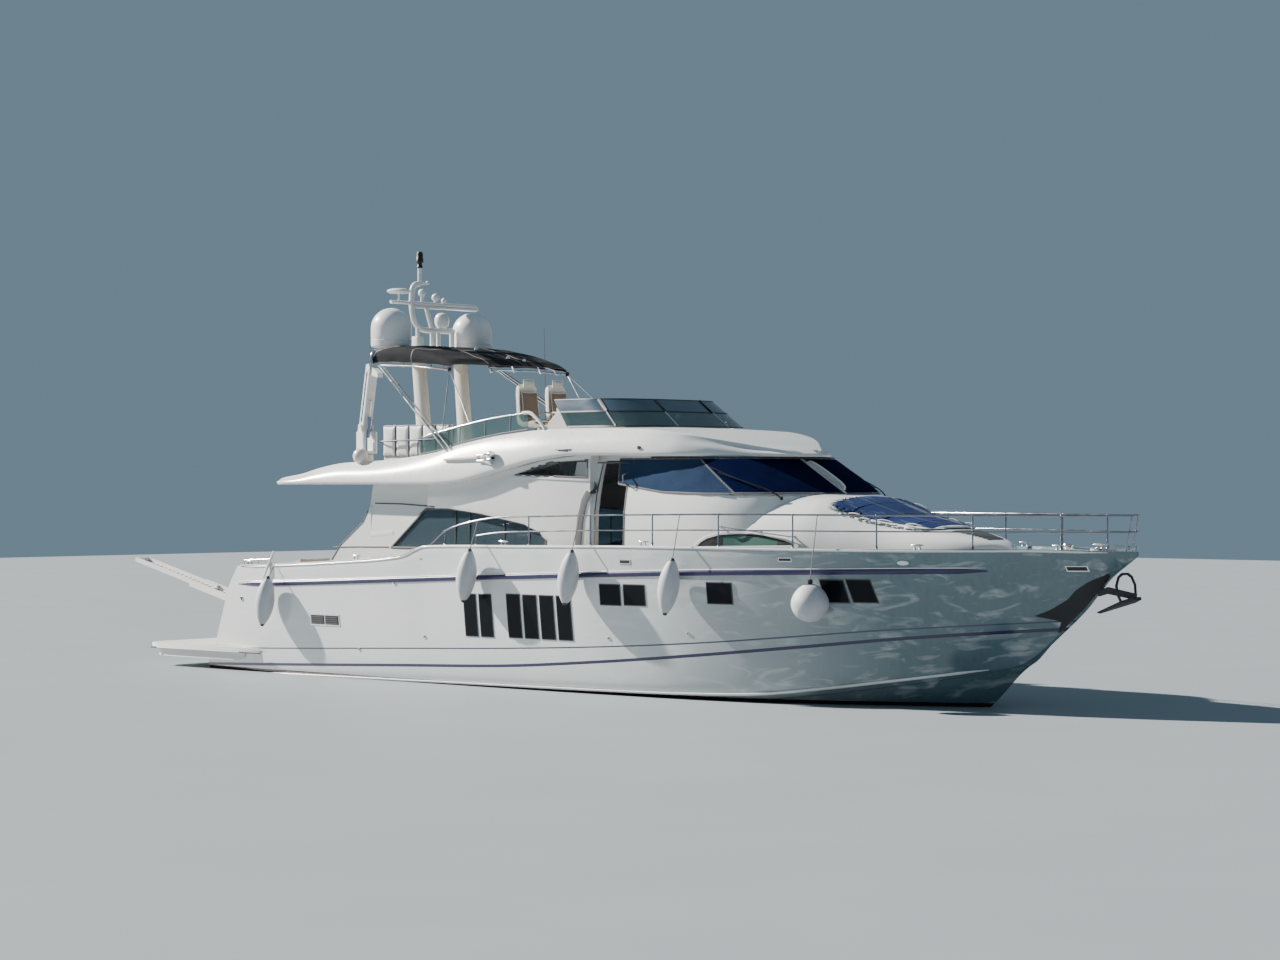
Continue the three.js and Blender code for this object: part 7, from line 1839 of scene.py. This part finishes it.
# Seat backs along the starboard coaming: padded outside, dark gaps between them, and a dark rail across
for k in range(5):
    at = -4.50 + 0.395 * k
    cushion(f"coaming_back_{k + 1}", (at, -2.225, 4.915), (0.185, 0, 0), (0, 0, 0.315), (0, -0.034, 0), white_vinyl,
            welt=navy_piping, most=0.008)
    cushion(f"coaming_back_inner_{k + 1}", (at, -2.085, 5.10), (0.185, 0, 0), (0, 0, 0.125), (0, 0.04, 0), white_vinyl,
            welt=navy_piping, simulate=False)
merged("coaming_back_rail", [
    pipe_rings(through([(-4.72, -2.25, 4.90), (-4.69, -2.30, 4.905), (-3.6, -2.30, 4.93), (-2.80, -2.27, 4.95)], 40), 0.016,
               12), *[bar((x, -2.21, 4.925), (x, -2.30, 4.925), 0.011, 8) for x in (-4.30, -3.52, -2.90)]],
    slot="dark_trim", material=navy_paint, angle=60)

# Cockpit bench: moulded base, three seats and three backs
merged("cockpit_seat_base", [block((-8.295, -1.48, 1.552), (-7.57, 1.18, 1.85), 0.03),
                             block((-8.30, -1.48, 1.80), (-8.22, 1.18, 2.36), 0.03)],
       slot="gelcoat", material=gelcoat, angle=40, replaces=("cockpit_seat",))
for k in range(3):
    at = -1.035 + 0.885 * k
    cushion(f"cockpit_seat_pad_{k + 1}", (-7.85, at, 1.925), (0.275, 0, 0), (0, 0.432, 0), (0, 0, 0.072), vinyl,
            welt=white_vinyl, most=0.012)
    cushion(f"cockpit_back_pad_{k + 1}", (-8.165, at, 2.20), (0.015, 0, 0.195), (0, 0.432, 0), (0.055, 0, 0), vinyl,
            welt=white_vinyl, most=0.010)

# Saloon seating behind the glass: seat and back pads over the solid's own benches
for side, low, high, count in ((-1, -4.28, -1.22, 4), (1, -2.18, -0.42, 3)):
    half = (high - low) / count / 2
    for k in range(count):
        at = low + half * (2 * k + 1)
        inner = 1.60 * side
        cushion(f"saloon_seat_{'port' if side > 0 else 'starboard'}_{k + 1}", (at, inner, 2.055), (half - 0.01, 0, 0),
                (0, 0.33, 0), (0, 0, 0.055), vinyl, simulate=False)
        cushion(f"saloon_back_{'port' if side > 0 else 'starboard'}_{k + 1}", (at, 1.925 * side, 2.31),
                (half - 0.01, 0, 0), (0, 0.01, 0.19), (0, 0.055, 0), vinyl, simulate=False)

# Floor at the waterline, and light
floor_mesh = bpy.data.meshes.new("floor")
floor_mesh.from_pydata([(-90, -90, 0), (90, -90, 0), (90, 90, 0), (-90, 90, 0)], [], [(0, 1, 2, 3)])
floor = bpy.data.objects.new("floor", floor_mesh)
scene.collection.objects.link(floor)
floor_finish = Finish("pale floor", (0.28, 0.31, 0.335), 0.6)
floor_finish.colour(floor_finish.blend(floor_finish.noise(0.3, 3), (0.26, 0.29, 0.315), (0.30, 0.33, 0.355)))
floor_mesh.materials.append(floor_finish.material)

world = bpy.data.worlds.new("studio")
scene.world = world
world.use_nodes = True
world.node_tree.nodes["Background"].inputs[0].default_value = (0.24, 0.36, 0.46, 1)
world.node_tree.nodes["Background"].inputs[1].default_value = 0.62


def lamp(name, kind, energy, location, target, size=None, colour=(1, 1, 1)):
    data = bpy.data.lights.new(name, kind)
    data.energy = energy
    data.color = colour
    if kind == "AREA":
        data.size = size
    else:
        data.angle = math.radians(size)
    made = bpy.data.objects.new(name, data)
    scene.collection.objects.link(made)
    heading = np.subtract(target, location)
    made.location = location
    flat = math.hypot(heading[0], heading[1])
    made.rotation_euler = (math.atan2(flat, -heading[2]), 0, math.atan2(-heading[0], heading[1]))
    return made


lamp("key", "SUN", 12.5, (-41, -14, 27), (0, 0, 0), 0.9, (1.0, 0.96, 0.89))
lamp("fill", "AREA", 250, (20, -36, 14), (2, 0, 2), 20, (0.90, 0.96, 1.0))
